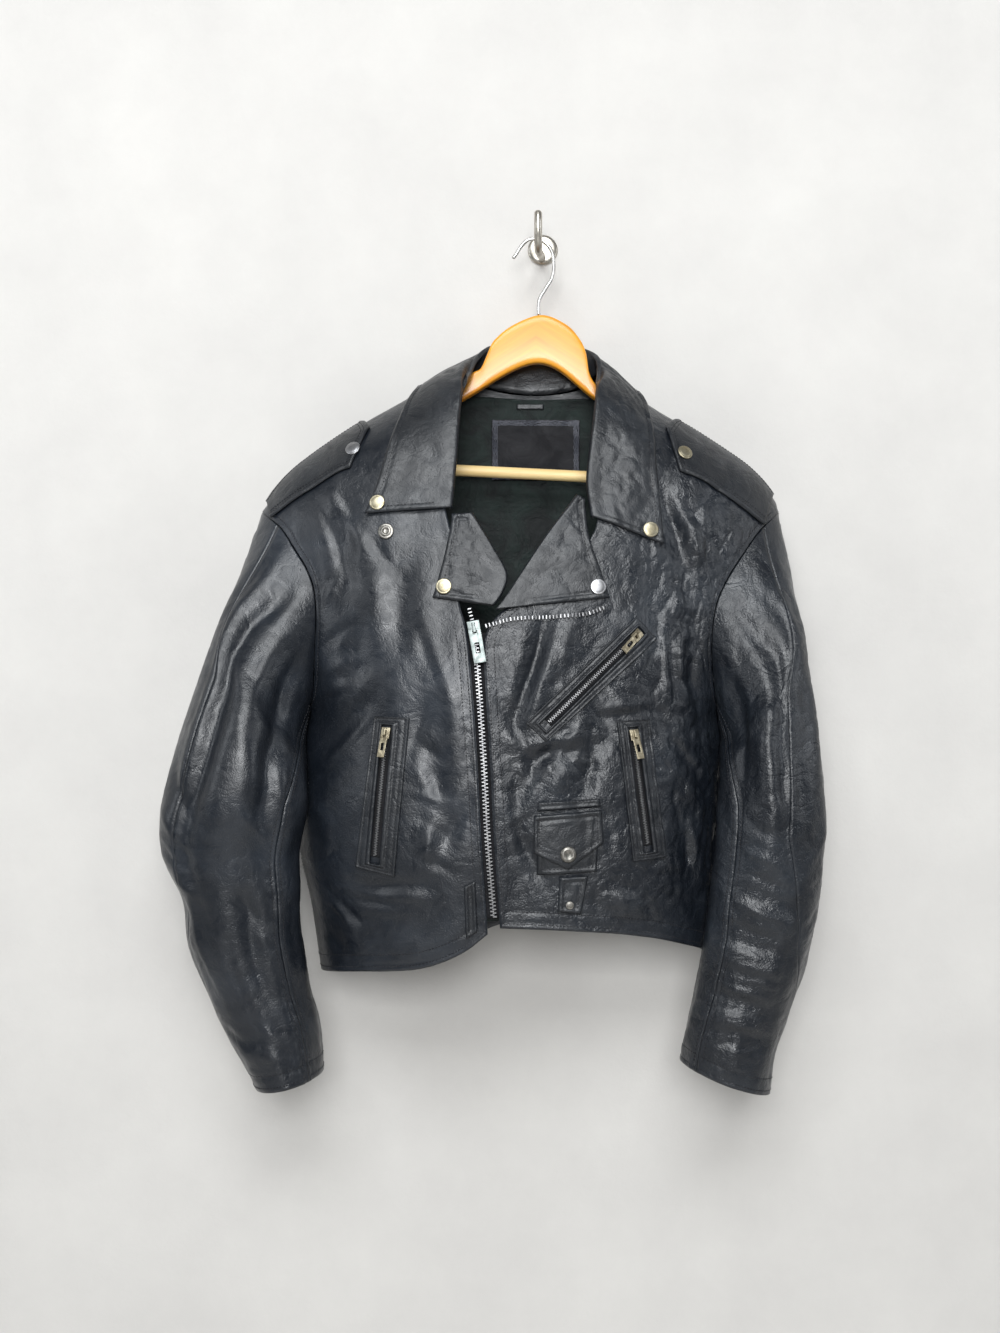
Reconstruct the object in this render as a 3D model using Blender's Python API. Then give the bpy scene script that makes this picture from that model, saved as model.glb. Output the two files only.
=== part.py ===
"""A black leather motorcycle jacket on a wooden hanger, which hangs on a wall hook.

Metres, +Z up. The front faces -Y and the wall is the plane y = 0. The origin is the centre of the wall
hook's plate, on the wall. Right and left are the wearer's, so the right side of the jacket is at -X.
The cloth is built as walls: each panel is a grid of points on the garment's form and a second grid,
one leather thickness inside it. What lies on a panel is laid on that panel's own faces.
"""

import math

import bpy
import numpy as np
from mathutils import Matrix, Vector
from mathutils.bvhtree import BVHTree

# Leather, cloth and gaps
LEATHER = 0.0020
TRIM_LEATHER = 0.0016
LINING = 0.0010
GAP = 0.0003
SEAM_INSET = 0.00025
ARMHOLE_INSET = 0.0011
ARMPIT_CLEAR = 0.0020
LAY_GAP = 0.0006

# The body of the jacket, by height z
MID_Y = [(-0.80, -0.076), (-0.60, -0.073), (-0.45, -0.067), (-0.30, -0.057), (-0.20, -0.052), (-0.08, -0.050)]
FRONT_DEPTH = [(-0.80, 0.104), (-0.65, 0.112), (-0.50, 0.110), (-0.35, 0.098), (-0.25, 0.080), (-0.10, 0.060)]
BACK_DEPTH = [(-0.80, 0.046), (-0.60, 0.050), (-0.45, 0.044), (-0.30, 0.036), (-0.18, 0.026), (-0.08, 0.020)]
RIGHT_EDGE = [(-0.80, -0.228), (-0.711, -0.241), (-0.69, -0.246), (-0.66, -0.253), (-0.60, -0.255),
              (-0.555, -0.248), (-0.514, -0.240), (-0.45, -0.262), (-0.40, -0.280), (-0.30, -0.312),
              (-0.10, -0.350)]
LEFT_EDGE = [(-0.80, 0.170), (-0.711, 0.183), (-0.66, 0.189), (-0.60, 0.190), (-0.555, 0.187),
             (-0.514, 0.180), (-0.45, 0.206), (-0.40, 0.226), (-0.30, 0.262), (-0.10, 0.300)]
BODY_ROUNDNESS = 2.4
SHOULDER_ROUND_FRONT = 0.095
SHOULDER_ROUND_BACK = 0.055
SHOULDER_ROUNDNESS = 2.2

# The shoulder line from one tip over the neck to the other: x, z
SHOULDERS = [(-0.320, -0.325), (-0.296, -0.302), (-0.279, -0.279), (-0.263, -0.261), (-0.243, -0.245),
             (-0.216, -0.226), (-0.186, -0.207), (-0.145, -0.184), (-0.088, -0.151), (-0.055, -0.136),
             (0.030, -0.138), (0.066, -0.155), (0.115, -0.190), (0.160, -0.217), (0.207, -0.248),
             (0.230, -0.268), (0.246, -0.289), (0.2515, -0.302), (0.275, -0.328)]
RIGHT_NECK_X, LEFT_NECK_X = -0.088, 0.066
RIGHT_TIP_X, LEFT_TIP_X = -0.296, 0.2515
NECK_DIP = 0.020

# Panel edges in the front view: x, z from the hem up
RIGHT_HEM = [(-0.0560, -0.727), (-0.076, -0.743), (-0.099, -0.755), (-0.124, -0.763), (-0.154, -0.767),
             (-0.183, -0.770), (-0.212, -0.775), (-0.2305, -0.780)]
LEFT_HEM = [(-0.0440, -0.721), (0.006, -0.723), (0.060, -0.727), (0.095, -0.732), (0.121, -0.738),
            (0.155, -0.750), (0.1745, -0.762)]
BACK_HEM = [(-0.2305, -0.780), (-0.1900, -0.789), (-0.1500, -0.792), (-0.1130, -0.781), (-0.0800, -0.762),
            (-0.0500, -0.746), (-0.0150, -0.740), (0.0300, -0.741), (0.0800, -0.745), (0.1250, -0.751),
            (0.1745, -0.762)]
RIGHT_FRONT_EDGE = [(-0.0560, -0.727), (-0.0620, -0.635), (-0.0660, -0.557), (-0.0720, -0.475),
                    (-0.0770, -0.430), (-0.0845, -0.400), (-0.0880, -0.350), (-0.0950, -0.322),
                    (-0.0985, -0.306), (-0.0965, -0.277), (-0.0935, -0.245), (-0.0910, -0.214),
                    (-0.0893, -0.185), (-0.0880, -0.151)]
LEFT_FRONT_EDGE = [(-0.0440, -0.721), (-0.0500, -0.635), (-0.0540, -0.557), (-0.0590, -0.475),
                   (-0.0600, -0.441), (-0.0500, -0.420), (-0.0330, -0.405), (-0.0050, -0.388),
                   (0.0250, -0.364), (0.0460, -0.338), (0.0535, -0.316), (0.0515, -0.283),
                   (0.0535, -0.250), (0.0570, -0.216), (0.0620, -0.180), (0.0660, -0.155)]
RIGHT_SIDE = [(-0.2305, -0.780), (-0.241, -0.711), (-0.253, -0.660), (-0.255, -0.600), (-0.248, -0.555),
              (-0.240, -0.514)]
LEFT_SIDE = [(0.1745, -0.762), (0.183, -0.711), (0.189, -0.660), (0.190, -0.600), (0.187, -0.555),
             (0.180, -0.514)]
RIGHT_ARMHOLE_FRONT = [(-0.240, -0.514), (-0.2345, -0.490), (-0.2325, -0.455), (-0.2300, -0.415),
                       (-0.2320, -0.388), (-0.2400, -0.366), (-0.2530, -0.346), (-0.2700, -0.322),
                       (-0.2960, -0.302)]
LEFT_ARMHOLE_FRONT = [(0.180, -0.514), (0.1740, -0.488), (0.1700, -0.445), (0.1740, -0.405),
                      (0.1870, -0.376), (0.2060, -0.348), (0.2250, -0.324), (0.2515, -0.302)]
RIGHT_ARMHOLE_BACK = [(-0.240, -0.514), (-0.2360, -0.480), (-0.2360, -0.430), (-0.2430, -0.385),
                      (-0.2570, -0.345), (-0.2760, -0.318), (-0.2960, -0.302)]
LEFT_ARMHOLE_BACK = [(0.180, -0.514), (0.1760, -0.480), (0.1760, -0.430), (0.1860, -0.385),
                     (0.2050, -0.345), (0.2290, -0.318), (0.2515, -0.302)]

# Grid sizes
FRONT_COLUMNS = {"right": 13, "left": 16}
FRONT_ROWS = 21
BACK_ROWS = 15
SHOULDER_COLUMNS, NECK_COLUMNS = 8, 4
ARMPIT_SHARE = 0.52

# Large folds of the fronts: x, z of both ends, half width, depth (below 0 is a trough)
RIGHT_FRONT_FOLDS = [
    ((-0.203, -0.285), (-0.198, -0.405), 0.014, -0.0050),
    ((-0.176, -0.330), (-0.180, -0.440), 0.017, 0.0040),
    ((-0.150, -0.365), (-0.135, -0.470), 0.018, -0.0030),
    ((-0.215, -0.500), (-0.172, -0.478), 0.012, 0.0035),
    ((-0.232, -0.560), (-0.185, -0.520), 0.011, -0.0030),
    ((-0.112, -0.560), (-0.094, -0.640), 0.014, -0.0040),
    ((-0.120, -0.660), (-0.100, -0.590), 0.012, 0.0030),
    ((-0.210, -0.700), (-0.150, -0.688), 0.014, -0.0040),
    ((-0.218, -0.735), (-0.198, -0.755), 0.010, -0.0030),
]
LEFT_FRONT_FOLDS = [
    ((0.001, -0.425), (-0.030, -0.522), 0.010, -0.0055),
    ((0.017, -0.425), (-0.014, -0.515), 0.011, 0.0045),
    ((-0.046, -0.490), (-0.022, -0.545), 0.009, -0.0045),
    ((-0.015, -0.560), (0.045, -0.545), 0.010, -0.0040),
    ((0.030, -0.600), (0.058, -0.535), 0.010, -0.0040),
    ((-0.006, -0.600), (0.030, -0.555), 0.009, 0.0035),
    ((0.118, -0.285), (0.150, -0.390), 0.011, -0.0060),
    ((0.150, -0.390), (0.158, -0.500), 0.011, -0.0045),
    ((0.138, -0.400), (0.128, -0.560), 0.011, 0.0040),
    ((0.108, -0.350), (0.112, -0.455), 0.012, -0.0035),
    ((0.165, -0.315), (0.150, -0.360), 0.010, 0.0045),
    ((-0.030, -0.625), (0.000, -0.685), 0.009, -0.0045),
    ((0.132, -0.590), (0.150, -0.690), 0.012, -0.0040),
    ((0.060, -0.690), (0.110, -0.700), 0.013, 0.0035),
]
BACK_FOLDS = [
    ((-0.170, -0.300), (-0.130, -0.430), 0.022, 0.0035),
    ((0.125, -0.300), (0.085, -0.430), 0.022, 0.0035),
    ((-0.120, -0.470), (-0.140, -0.640), 0.024, -0.0040),
    ((0.060, -0.480), (0.085, -0.650), 0.024, -0.0040),
    ((-0.030, -0.560), (-0.025, -0.740), 0.026, 0.0035),
]

# Sleeves: control rings from the armhole down, each with the outer and inner edge (x, z), the ring's
# middle y and its half depth
RIGHT_SLEEVE = [
    ((-0.3235, -0.395), (-0.2430, -0.538), -0.095, 0.060),
    ((-0.3435, -0.460), (-0.2400, -0.563), -0.116, 0.059),
    ((-0.3625, -0.521), (-0.2380, -0.588), -0.129, 0.058),
    ((-0.3810, -0.594), (-0.2410, -0.622), -0.135, 0.056),
    ((-0.3840, -0.650), (-0.2465, -0.656), -0.135, 0.052),
    ((-0.3655, -0.701), (-0.2450, -0.696), -0.135, 0.050),
    ((-0.3555, -0.749), (-0.2440, -0.737), -0.134, 0.049),
    ((-0.3325, -0.806), (-0.2370, -0.787), -0.132, 0.048),
    ((-0.3130, -0.844), (-0.2280, -0.823), -0.130, 0.049),
    ((-0.2900, -0.888), (-0.2225, -0.873), -0.130, 0.051),
]
LEFT_SLEEVE = [
    ((0.2625, -0.400), (0.1830, -0.538), -0.098, 0.060),
    ((0.2685, -0.460), (0.1790, -0.562), -0.118, 0.058),
    ((0.2740, -0.521), (0.1765, -0.590), -0.130, 0.056),
    ((0.2805, -0.590), (0.1740, -0.620), -0.138, 0.054),
    ((0.2805, -0.650), (0.1705, -0.657), -0.140, 0.051),
    ((0.2755, -0.703), (0.1655, -0.695), -0.140, 0.049),
    ((0.2640, -0.755), (0.1605, -0.745), -0.140, 0.048),
    ((0.2500, -0.800), (0.1525, -0.786), -0.138, 0.047),
    ((0.2340, -0.847), (0.1413, -0.835), -0.136, 0.046),
    ((0.2275, -0.893), (0.1375, -0.862), -0.135, 0.045),
]
SLEEVE_ROWS = 16
TOP_SLEEVE_COLUMNS, UNDER_SLEEVE_COLUMNS = 8, 11
# Where the two sleeve seams run: share of the way down, angle from the outer edge over the front
RIGHT_OUTER_SEAM = [(0.0, 22.0), (0.25, 48.0), (0.5, 46.0), (0.75, 20.0), (1.0, -25.0)]
LEFT_OUTER_SEAM = [(0.0, 22.0), (0.25, 70.0), (0.5, 80.0), (0.72, 50.0), (1.0, -25.0)]
INNER_SEAM = [(0.0, 172.0), (0.4, 140.0), (0.7, 135.0), (1.0, 138.0)]
# Sleeve folds: share down and angle of both ends, half widths (share, degrees), depth
RIGHT_SLEEVE_FOLDS = [
    ((0.10, 62.0), (0.52, 60.0), 0.05, 13.0, -0.0050),
    ((0.10, 118.0), (0.60, 128.0), 0.05, 11.0, -0.0050),
    ((0.18, 90.0), (0.55, 92.0), 0.06, 15.0, 0.0040),
    ((0.50, 108.0), (0.86, 104.0), 0.05, 12.0, -0.0050),
    ((0.42, 40.0), (0.60, 62.0), 0.04, 12.0, -0.0045),
    ((0.46, 20.0), (0.50, 58.0), 0.03, 10.0, 0.0040),
    ((0.62, 10.0), (0.66, 42.0), 0.03, 10.0, -0.0035),
    ((0.90, 40.0), (0.94, 96.0), 0.02, 14.0, 0.0030),
    ((0.15, 300.0), (0.75, 290.0), 0.06, 18.0, -0.0045),
]
LEFT_SLEEVE_FOLDS = [
    ((0.10, 100.0), (0.50, 92.0), 0.05, 12.0, 0.0045),
    ((0.10, 66.0), (0.55, 60.0), 0.05, 13.0, -0.0050),
    ((0.12, 135.0), (0.60, 138.0), 0.05, 10.0, -0.0040),
    ((0.22, 30.0), (0.55, 28.0), 0.05, 12.0, 0.0035),
    ((0.60, 120.0), (0.64, 60.0), 0.022, 12.0, -0.0035),
    ((0.70, 130.0), (0.73, 60.0), 0.020, 12.0, -0.0040),
    ((0.75, 122.0), (0.78, 66.0), 0.018, 12.0, 0.0030),
    ((0.82, 130.0), (0.84, 58.0), 0.018, 12.0, -0.0040),
    ((0.89, 120.0), (0.90, 52.0), 0.018, 12.0, -0.0035),
    ((0.15, 300.0), (0.75, 290.0), 0.06, 18.0, -0.0045),
]

# The collar: fold line and outer edge of the fall by column, from the right tip round the neck
COLLAR_FOLD_RIGHT = [(-0.0920, -0.308), (-0.0895, -0.277), (-0.0870, -0.245), (-0.0850, -0.214), (-0.0820, -0.185)]
COLLAR_EDGE_RIGHT = [(-0.1790, -0.313), (-0.1660, -0.280), (-0.1560, -0.245), (-0.1460, -0.213), (-0.1360, -0.188)]
COLLAR_FOLD_BACK = [(-0.0765, -0.0780, -0.1580), (-0.0700, -0.0500, -0.1375), (-0.0540, -0.0330, -0.1210),
                    (-0.0280, -0.0245, -0.1165), (0.0000, -0.0230, -0.1160), (0.0300, -0.0260, -0.1180),
                    (0.0500, -0.0360, -0.1260), (0.0600, -0.0540, -0.1380), (0.0605, -0.0740, -0.1600)]
COLLAR_MID_BACK = [(-0.1020, -0.0720, -0.1580), (-0.0960, -0.0480, -0.1450), (-0.0760, -0.0220, -0.1360),
                   (-0.0360, -0.0150, -0.1420), (0.0000, -0.0135, -0.1420), (0.0340, -0.0160, -0.1440),
                   (0.0640, -0.0260, -0.1430), (0.0790, -0.0500, -0.1490), (0.0810, -0.0780, -0.1680)]
COLLAR_EDGE_BACK = [(-0.1310, 0.024), (-0.1270, -0.004), (-0.1000, -0.045), (-0.0500, -0.070), (-0.0020, -0.075),
                    (0.0500, -0.070), (0.0800, -0.045), (0.1000, -0.004), (0.1030, 0.024)]
COLLAR_FOLD_LEFT = [(0.0550, -0.180), (0.0505, -0.216), (0.0460, -0.250), (0.0430, -0.283), (0.0470, -0.317)]
COLLAR_EDGE_LEFT = [(0.1050, -0.190), (0.1110, -0.220), (0.1130, -0.262), (0.1160, -0.303), (0.1190, -0.344)]
COLLAR_ROLL_RADIUS = 0.0024
COLLAR_CLEAR = 0.0045
COLLAR_SEAM_IN = 0.0066

# The lapels: roll line and outer edge, x, z from the top down, and how far the top layer stands off
RIGHT_LAPEL_ROLL = [(-0.0715, -0.3140), (-0.0640, -0.326), (-0.0500, -0.350), (-0.0375, -0.375), (-0.0420, -0.394),
                    (-0.0505, -0.406)]
RIGHT_LAPEL_EDGE = [(-0.0920, -0.3140), (-0.0930, -0.326), (-0.0975, -0.350), (-0.1035, -0.374), (-0.1085, -0.392),
                    (-0.1105, -0.398)]
LEFT_LAPEL_ROLL = [(0.0325, -0.295), (0.0230, -0.308), (0.0050, -0.332), (-0.0165, -0.364), (-0.0370, -0.396),
                   (-0.0475, -0.410)]
LEFT_LAPEL_EDGE = [(0.0405, -0.298), (0.0425, -0.325), (0.0475, -0.348), (0.0560, -0.372), (0.0615, -0.390),
                   (0.0640, -0.398)]
RIGHT_LAPEL_SEAM = [(-0.4100, -0.0814), (-0.4000, -0.0838), (-0.3500, -0.0873), (-0.3220, -0.0905), (-0.3100, -0.0905)]
LEFT_LAPEL_SEAM = [(-0.4120, -0.0410), (-0.3960, -0.0210), (-0.3640, 0.0200), (-0.3380, 0.0395), (-0.3220, 0.0425),
                   (-0.2900, 0.0415)]
LAPEL_LIFT = 0.0030
LAPEL_ROLL_RADIUS = 0.0026

# Straps, pockets and loops in the front view: x, z
RIGHT_STRAP_LOW = [(-0.2800, -0.3120), (-0.2460, -0.2900), (-0.2120, -0.2700), (-0.1960, -0.2640)]
RIGHT_STRAP_ENDS = (-0.2885, -0.1890)
LEFT_STRAP_LOW = [(0.2270, -0.3200), (0.1930, -0.2970), (0.1620, -0.2780), (0.1380, -0.2680)]
LEFT_STRAP_ENDS = (0.2430, 0.1440)
STRAP_TOP_RUN = 0.007
STRAP_POINT = 0.014
CHEST_POCKET = [(0.0910, -0.416), (0.1130, -0.438), (0.0010, -0.539), (-0.0190, -0.521)]
RIGHT_HAND_POCKET = [(-0.1680, -0.515), (-0.1330, -0.516), (-0.1470, -0.672), (-0.1870, -0.664)]
LEFT_HAND_POCKET = [(0.0710, -0.519), (0.1040, -0.518), (0.1210, -0.654), (0.0860, -0.657)]
CHEST_ZIP = [(0.0960, -0.4300), (-0.0020, -0.5255)]
RIGHT_HAND_ZIP = [(-0.1550, -0.5240), (-0.1670, -0.6600)]
LEFT_HAND_ZIP = [(0.0865, -0.5260), (0.1015, -0.6480)]
MAIN_ZIP = [(-0.0500, -0.7120), (-0.0560, -0.6350), (-0.0600, -0.5570), (-0.0655, -0.4750), (-0.0690, -0.4330)]
UPPER_ZIP_RIGHT = [(-0.0712, -0.4250), (-0.0760, -0.4070)]
UPPER_ZIP_LEFT = [(-0.0600, -0.4258), (-0.0520, -0.4235), (-0.0290, -0.4180), (0.0180, -0.4155), (0.0410, -0.4130),
                  (0.0600, -0.4060)]
COIN_POUCH = [(-0.0080, -0.6120), (0.0530, -0.6060), (0.0500, -0.6660), (-0.0080, -0.6690)]
COIN_BAND = [(-0.0070, -0.5980), (0.0530, -0.5950), (0.0540, -0.6030), (-0.0080, -0.6070)]
COIN_FLAP = [(-0.0110, -0.6110), (0.0545, -0.6060), (0.0560, -0.6380), (0.0230, -0.6630), (-0.0115, -0.6470)]
LEFT_LOOP = [(0.0140, -0.6715), (0.0420, -0.6700), (0.0350, -0.7070), (0.0120, -0.7050)]
RIGHT_LOOP = [(-0.0790, -0.6800), (-0.0680, -0.6740), (-0.0660, -0.7240), (-0.0770, -0.7320)]
SNAP_RADIUS = 0.0072

# The hanger, its wire and the wall hook
HANGER_TOP = [(-0.2300, -0.2435), (-0.1900, -0.2148), (-0.1450, -0.1898), (-0.1100, -0.1712), (-0.0860, -0.1610),
              (-0.0720, -0.1545), (-0.0640, -0.1500), (-0.0570, -0.1340), (-0.0500, -0.1205), (-0.0300, -0.1045),
              (0.0000, -0.0940), (0.0260, -0.1040), (0.0400, -0.1190), (0.0470, -0.1340), (0.0505, -0.1560),
              (0.0600, -0.1705), (0.0720, -0.1730), (0.1150, -0.1959), (0.1600, -0.2228), (0.1900, -0.2416)]
HANGER_BOTTOM = [(-0.2300, -0.2830), (-0.1900, -0.2520), (-0.1450, -0.2220), (-0.0810, -0.1830), (-0.0040, -0.1450),
                 (0.0550, -0.1820), (0.1150, -0.2250), (0.1600, -0.2560), (0.1900, -0.2830)]
HANGER_THICK = 0.0160
HANGER_Y = -0.0575
BAR_ENDS = [(-0.2080, -0.2520), (0.1780, -0.2710)]
BAR_RADIUS = 0.0060
WIRE = [(-0.0030, -0.0942), (-0.0025, -0.0780), (0.0040, -0.0660), (0.0110, -0.0540), (0.0130, -0.0400),
        (0.0110, -0.0260), (0.0040, -0.0165), (-0.0060, -0.0125), (-0.0150, -0.0140), (-0.0220, -0.0210),
        (-0.0270, -0.0290), (-0.0305, -0.0335)]
WIRE_RADIUS = 0.0019
LABEL = [(-0.0530, -0.2000), (0.0420, -0.2000), (0.0420, -0.2650), (-0.0530, -0.2650)]


def clear_scene():
    for thing in list(bpy.data.objects):
        bpy.data.objects.remove(thing, do_unlink=True)


def make_material(name, colour, roughness, metallic=0.0):
    made = bpy.data.materials.new(name)
    made.use_nodes = True
    shader = made.node_tree.nodes["Principled BSDF"]
    shader.inputs["Base Color"].default_value = (*colour, 1.0)
    shader.inputs["Roughness"].default_value = roughness
    shader.inputs["Metallic"].default_value = metallic
    return made


def unit(v):
    v = np.asarray(v, float)
    length = np.linalg.norm(v, axis=-1, keepdims=True)
    return v / np.maximum(length, 1e-12)


def read(rows, at):
    """A dimension read from a table of (z, size) rows, smoothed over 20 mm."""
    rows = sorted(rows)
    keys = np.array([row[0] for row in rows])
    sizes = np.array([row[1] for row in rows])
    at = np.asarray(at, float)
    shifts = (-0.010, -0.005, 0.0, 0.005, 0.010)
    return sum(np.interp(at + shift, keys, sizes) for shift in shifts) / len(shifts)


def spline(points, steps=16):
    """A smooth line through the points."""
    p = np.array(points, float)
    padded = np.vstack([2 * p[0] - p[1], p, 2 * p[-1] - p[-2]])
    line = []
    for i in range(len(p) - 1):
        a, b, c, d = padded[i : i + 4]
        for t in np.linspace(0, 1, steps, endpoint=False):
            cubic = (2 * a - 5 * b + 4 * c - d) * t * t + (3 * b - a - 3 * c + d) * t**3
            line.append(0.5 * (2 * b + (c - a) * t + cubic))
    line.append(p[-1])
    return np.array(line)


def along(line, shares):
    """Points of a line at shares of its length."""
    steps = np.linalg.norm(np.diff(line, axis=0), axis=1)
    run = np.concatenate([[0.0], np.cumsum(steps)]) / steps.sum()
    return np.stack([np.interp(shares, run, line[:, k]) for k in range(line.shape[1])], axis=-1)


SHOULDER_LINE = spline(SHOULDERS)


def shoulder_z(x):
    return np.interp(x, SHOULDER_LINE[:, 0], SHOULDER_LINE[:, 1])


def body_y(x, z, face):
    """Depth of the body's outer face: face -1 is the front, +1 the back."""
    x, z = np.asarray(x, float), np.asarray(z, float)
    right, left = read(RIGHT_EDGE, z), read(LEFT_EDGE, z)
    across = np.clip(np.abs(x - (right + left) / 2) / ((left - right) / 2), 0.0, 1.0)
    bulge = np.sqrt(np.clip(1.0 - across**BODY_ROUNDNESS, 0.0, 1.0))
    depth = read(FRONT_DEPTH if face < 0 else BACK_DEPTH, z)
    reach = SHOULDER_ROUND_FRONT if face < 0 else SHOULDER_ROUND_BACK
    below = np.clip((shoulder_z(x) - z) / reach, 0.0, 1.0)
    top = (1.0 - (1.0 - below) ** SHOULDER_ROUNDNESS) ** (1.0 / SHOULDER_ROUNDNESS)
    return read(MID_Y, z) + face * depth * bulge * top


def body_normal(x, z, face):
    step = 0.0015
    slope_x = (body_y(x + step, z, face) - body_y(x - step, z, face)) / (2 * step)
    slope_z = (body_y(x, z + step, face) - body_y(x, z - step, face)) / (2 * step)
    flat = np.broadcast_to(float(face), np.shape(slope_x))
    return unit(np.stack([-face * slope_x, flat, -face * slope_z], axis=-1))


def fold_height(x, z, folds):
    """Sum of soft ridges and troughs, each about a straight line."""
    x, z = np.asarray(x, float), np.asarray(z, float)
    total = np.zeros(np.broadcast(x, z).shape)
    for (x0, z0), (x1, z1), width, height in folds:
        length2 = (x1 - x0) ** 2 + (z1 - z0) ** 2
        t = ((x - x0) * (x1 - x0) + (z - z0) * (z1 - z0)) / length2
        inside = np.clip(t, 0.0, 1.0)
        away2 = (x - x0 - inside * (x1 - x0)) ** 2 + (z - z0 - inside * (z1 - z0)) ** 2
        fade = 0.35 + 0.65 * np.sin(np.pi * inside)
        total += height * fade * np.exp(-away2 / (width * width))
    return total


def link(name, vertices, faces, material):
    """A mesh object whose faces point out."""
    vertices = np.asarray(vertices, float)
    corners = vertices[np.array(faces)]
    volume = np.einsum("ij,ij->i", corners[:, 0], np.cross(corners[:, 1], corners[:, 2])).sum()
    if volume < 0:
        faces = [face[::-1] for face in faces]
    mesh = bpy.data.meshes.new(name)
    mesh.from_pydata([tuple(v) for v in vertices], [], [tuple(int(i) for i in face) for face in faces])
    mesh.materials.append(material)
    mesh.update()
    made = bpy.data.objects.new(name, mesh)
    bpy.context.scene.collection.objects.link(made)
    return made


def split(a, b, c, d, vertices):
    """Two triangles of a quad, cut along its shorter diagonal."""
    if np.sum((vertices[a] - vertices[c]) ** 2) <= np.sum((vertices[b] - vertices[d]) ** 2):
        return [(a, b, c), (a, c, d)]
    return [(a, b, d), (b, c, d)]


def wall(name, outer, inner, material, ring=False):
    """A wall between two grids of points. With ring the columns close on themselves."""
    rows, columns = outer.shape[:2]
    vertices = np.concatenate([outer.reshape(-1, 3), inner.reshape(-1, 3)])
    count = rows * columns
    faces = []
    spans = columns if ring else columns - 1
    for r in range(rows - 1):
        for c in range(spans):
            n = (c + 1) % columns
            a, b, d, e = r * columns + c, r * columns + n, (r + 1) * columns + n, (r + 1) * columns + c
            cut = split(a, b, d, e, vertices)
            faces += cut
            faces += [tuple(i + count for i in face[::-1]) for face in cut]
    rim = [[(r * columns + c, r * columns + (c + 1) % columns) for c in range(spans)] for r in (0, rows - 1)]
    edges = list(rim[0]) + [(b, a) for a, b in rim[1]]
    if not ring:
        edges += [((r + 1) * columns, r * columns) for r in range(rows - 1)]
        edges += [((r + 1) * columns - 1, (r + 2) * columns - 1) for r in range(rows - 1)]
    for a, b in edges:
        faces += split(b, a, a + count, b + count, vertices)
    return link(name, vertices, faces, material)


def pull_in(grid, sides, inset=SEAM_INSET):
    """Moves the named edges of a grid in by the seam inset."""
    grid = grid.copy()
    if "first" in sides:
        grid[:, 0] += inset * unit(grid[:, 1] - grid[:, 0])
    if "last" in sides:
        grid[:, -1] += inset * unit(grid[:, -2] - grid[:, -1])
    if "bottom" in sides:
        grid[0] += inset * unit(grid[1] - grid[0])
    if "top" in sides:
        grid[-1] += inset * unit(grid[-2] - grid[-1])
    return grid


def grid_normals(grid, like=None):
    """Normals of a grid of points, turned to the same side as like."""
    normal = unit(np.cross(np.gradient(grid, axis=1), np.gradient(grid, axis=0)))
    if like is not None:
        turn = np.sign(np.sum(normal * like, axis=-1, keepdims=True))
        normal = normal * np.where(turn == 0, 1, turn)
    return normal


# The seams that panels and sleeves share


def armhole(side, share, face):
    """Points and body normals of an armhole: share 0 is the armpit and 1 the shoulder tip."""
    lines = {
        ("right", -1): RIGHT_ARMHOLE_FRONT,
        ("left", -1): LEFT_ARMHOLE_FRONT,
        ("right", 1): RIGHT_ARMHOLE_BACK,
        ("left", 1): LEFT_ARMHOLE_BACK,
    }
    flat = along(spline(lines[side, face]), share)
    x, z = flat[..., 0], flat[..., 1]
    middle = read(MID_Y, z)
    meet = np.sqrt(np.clip(np.asarray(share) / 0.05, 0.0, 1.0))
    points = np.stack([x, middle + (body_y(x, z, face) - middle) * meet, z], axis=-1)
    near_tip = np.clip((np.asarray(share) - 0.9) / 0.1, 0.0, 1.0)[..., None]
    near_pit = np.clip((0.1 - np.asarray(share)) / 0.1, 0.0, 1.0)[..., None]
    out = np.array([-1.0 if side == "right" else 1.0, 0.0, 0.0])
    normals = unit(body_normal(x, z, face) * (1 - near_tip) + near_tip * np.array([0.35 * out[0], 0.0, 1.0]))
    normals = unit(normals * (1 - near_pit) + near_pit * out)
    return points, normals


def sleeve_rings(side):
    """Control points of a sleeve: one row per ring, one column per 5 degrees from the outer edge over the front."""
    angles = np.arange(0.0, 360.0, 5.0)
    front = angles <= 180
    share = np.where(front, 1 - angles / 180, (angles - 180) / 180)
    first = np.zeros((len(angles), 3))
    first[front] = armhole(side, share[front], -1)[0]
    first[~front] = armhole(side, share[~front], 1)[0]
    rings = [first]
    for outer, inner, mid_y, half_depth in RIGHT_SLEEVE if side == "right" else LEFT_SLEEVE:
        outer, inner = np.array([outer[0], mid_y, outer[1]]), np.array([inner[0], mid_y, inner[1]])
        turn = np.radians(angles)[:, None]
        ring = (outer + inner) / 2 + (outer - inner) / 2 * np.cos(turn)
        rings.append(ring - np.array([0.0, half_depth, 0.0]) * np.sin(turn))
    return np.array(rings)


def body_side(y, z, side, gap):
    """How near to the middle a sleeve may come at this depth and height."""
    right, left = read(RIGHT_EDGE, z), read(LEFT_EDGE, z)
    middle, half = (right + left) / 2, (left - right) / 2
    off = y - read(MID_Y, z)
    depth = np.where(off < 0, read(FRONT_DEPTH, z), read(BACK_DEPTH, z)) + gap
    bulge = np.clip(1 - (off / depth) ** 2, 0.0, 1.0) ** (1 / BODY_ROUNDNESS)
    return middle + (-1 if side == "right" else 1) * (half * bulge + gap)


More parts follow.
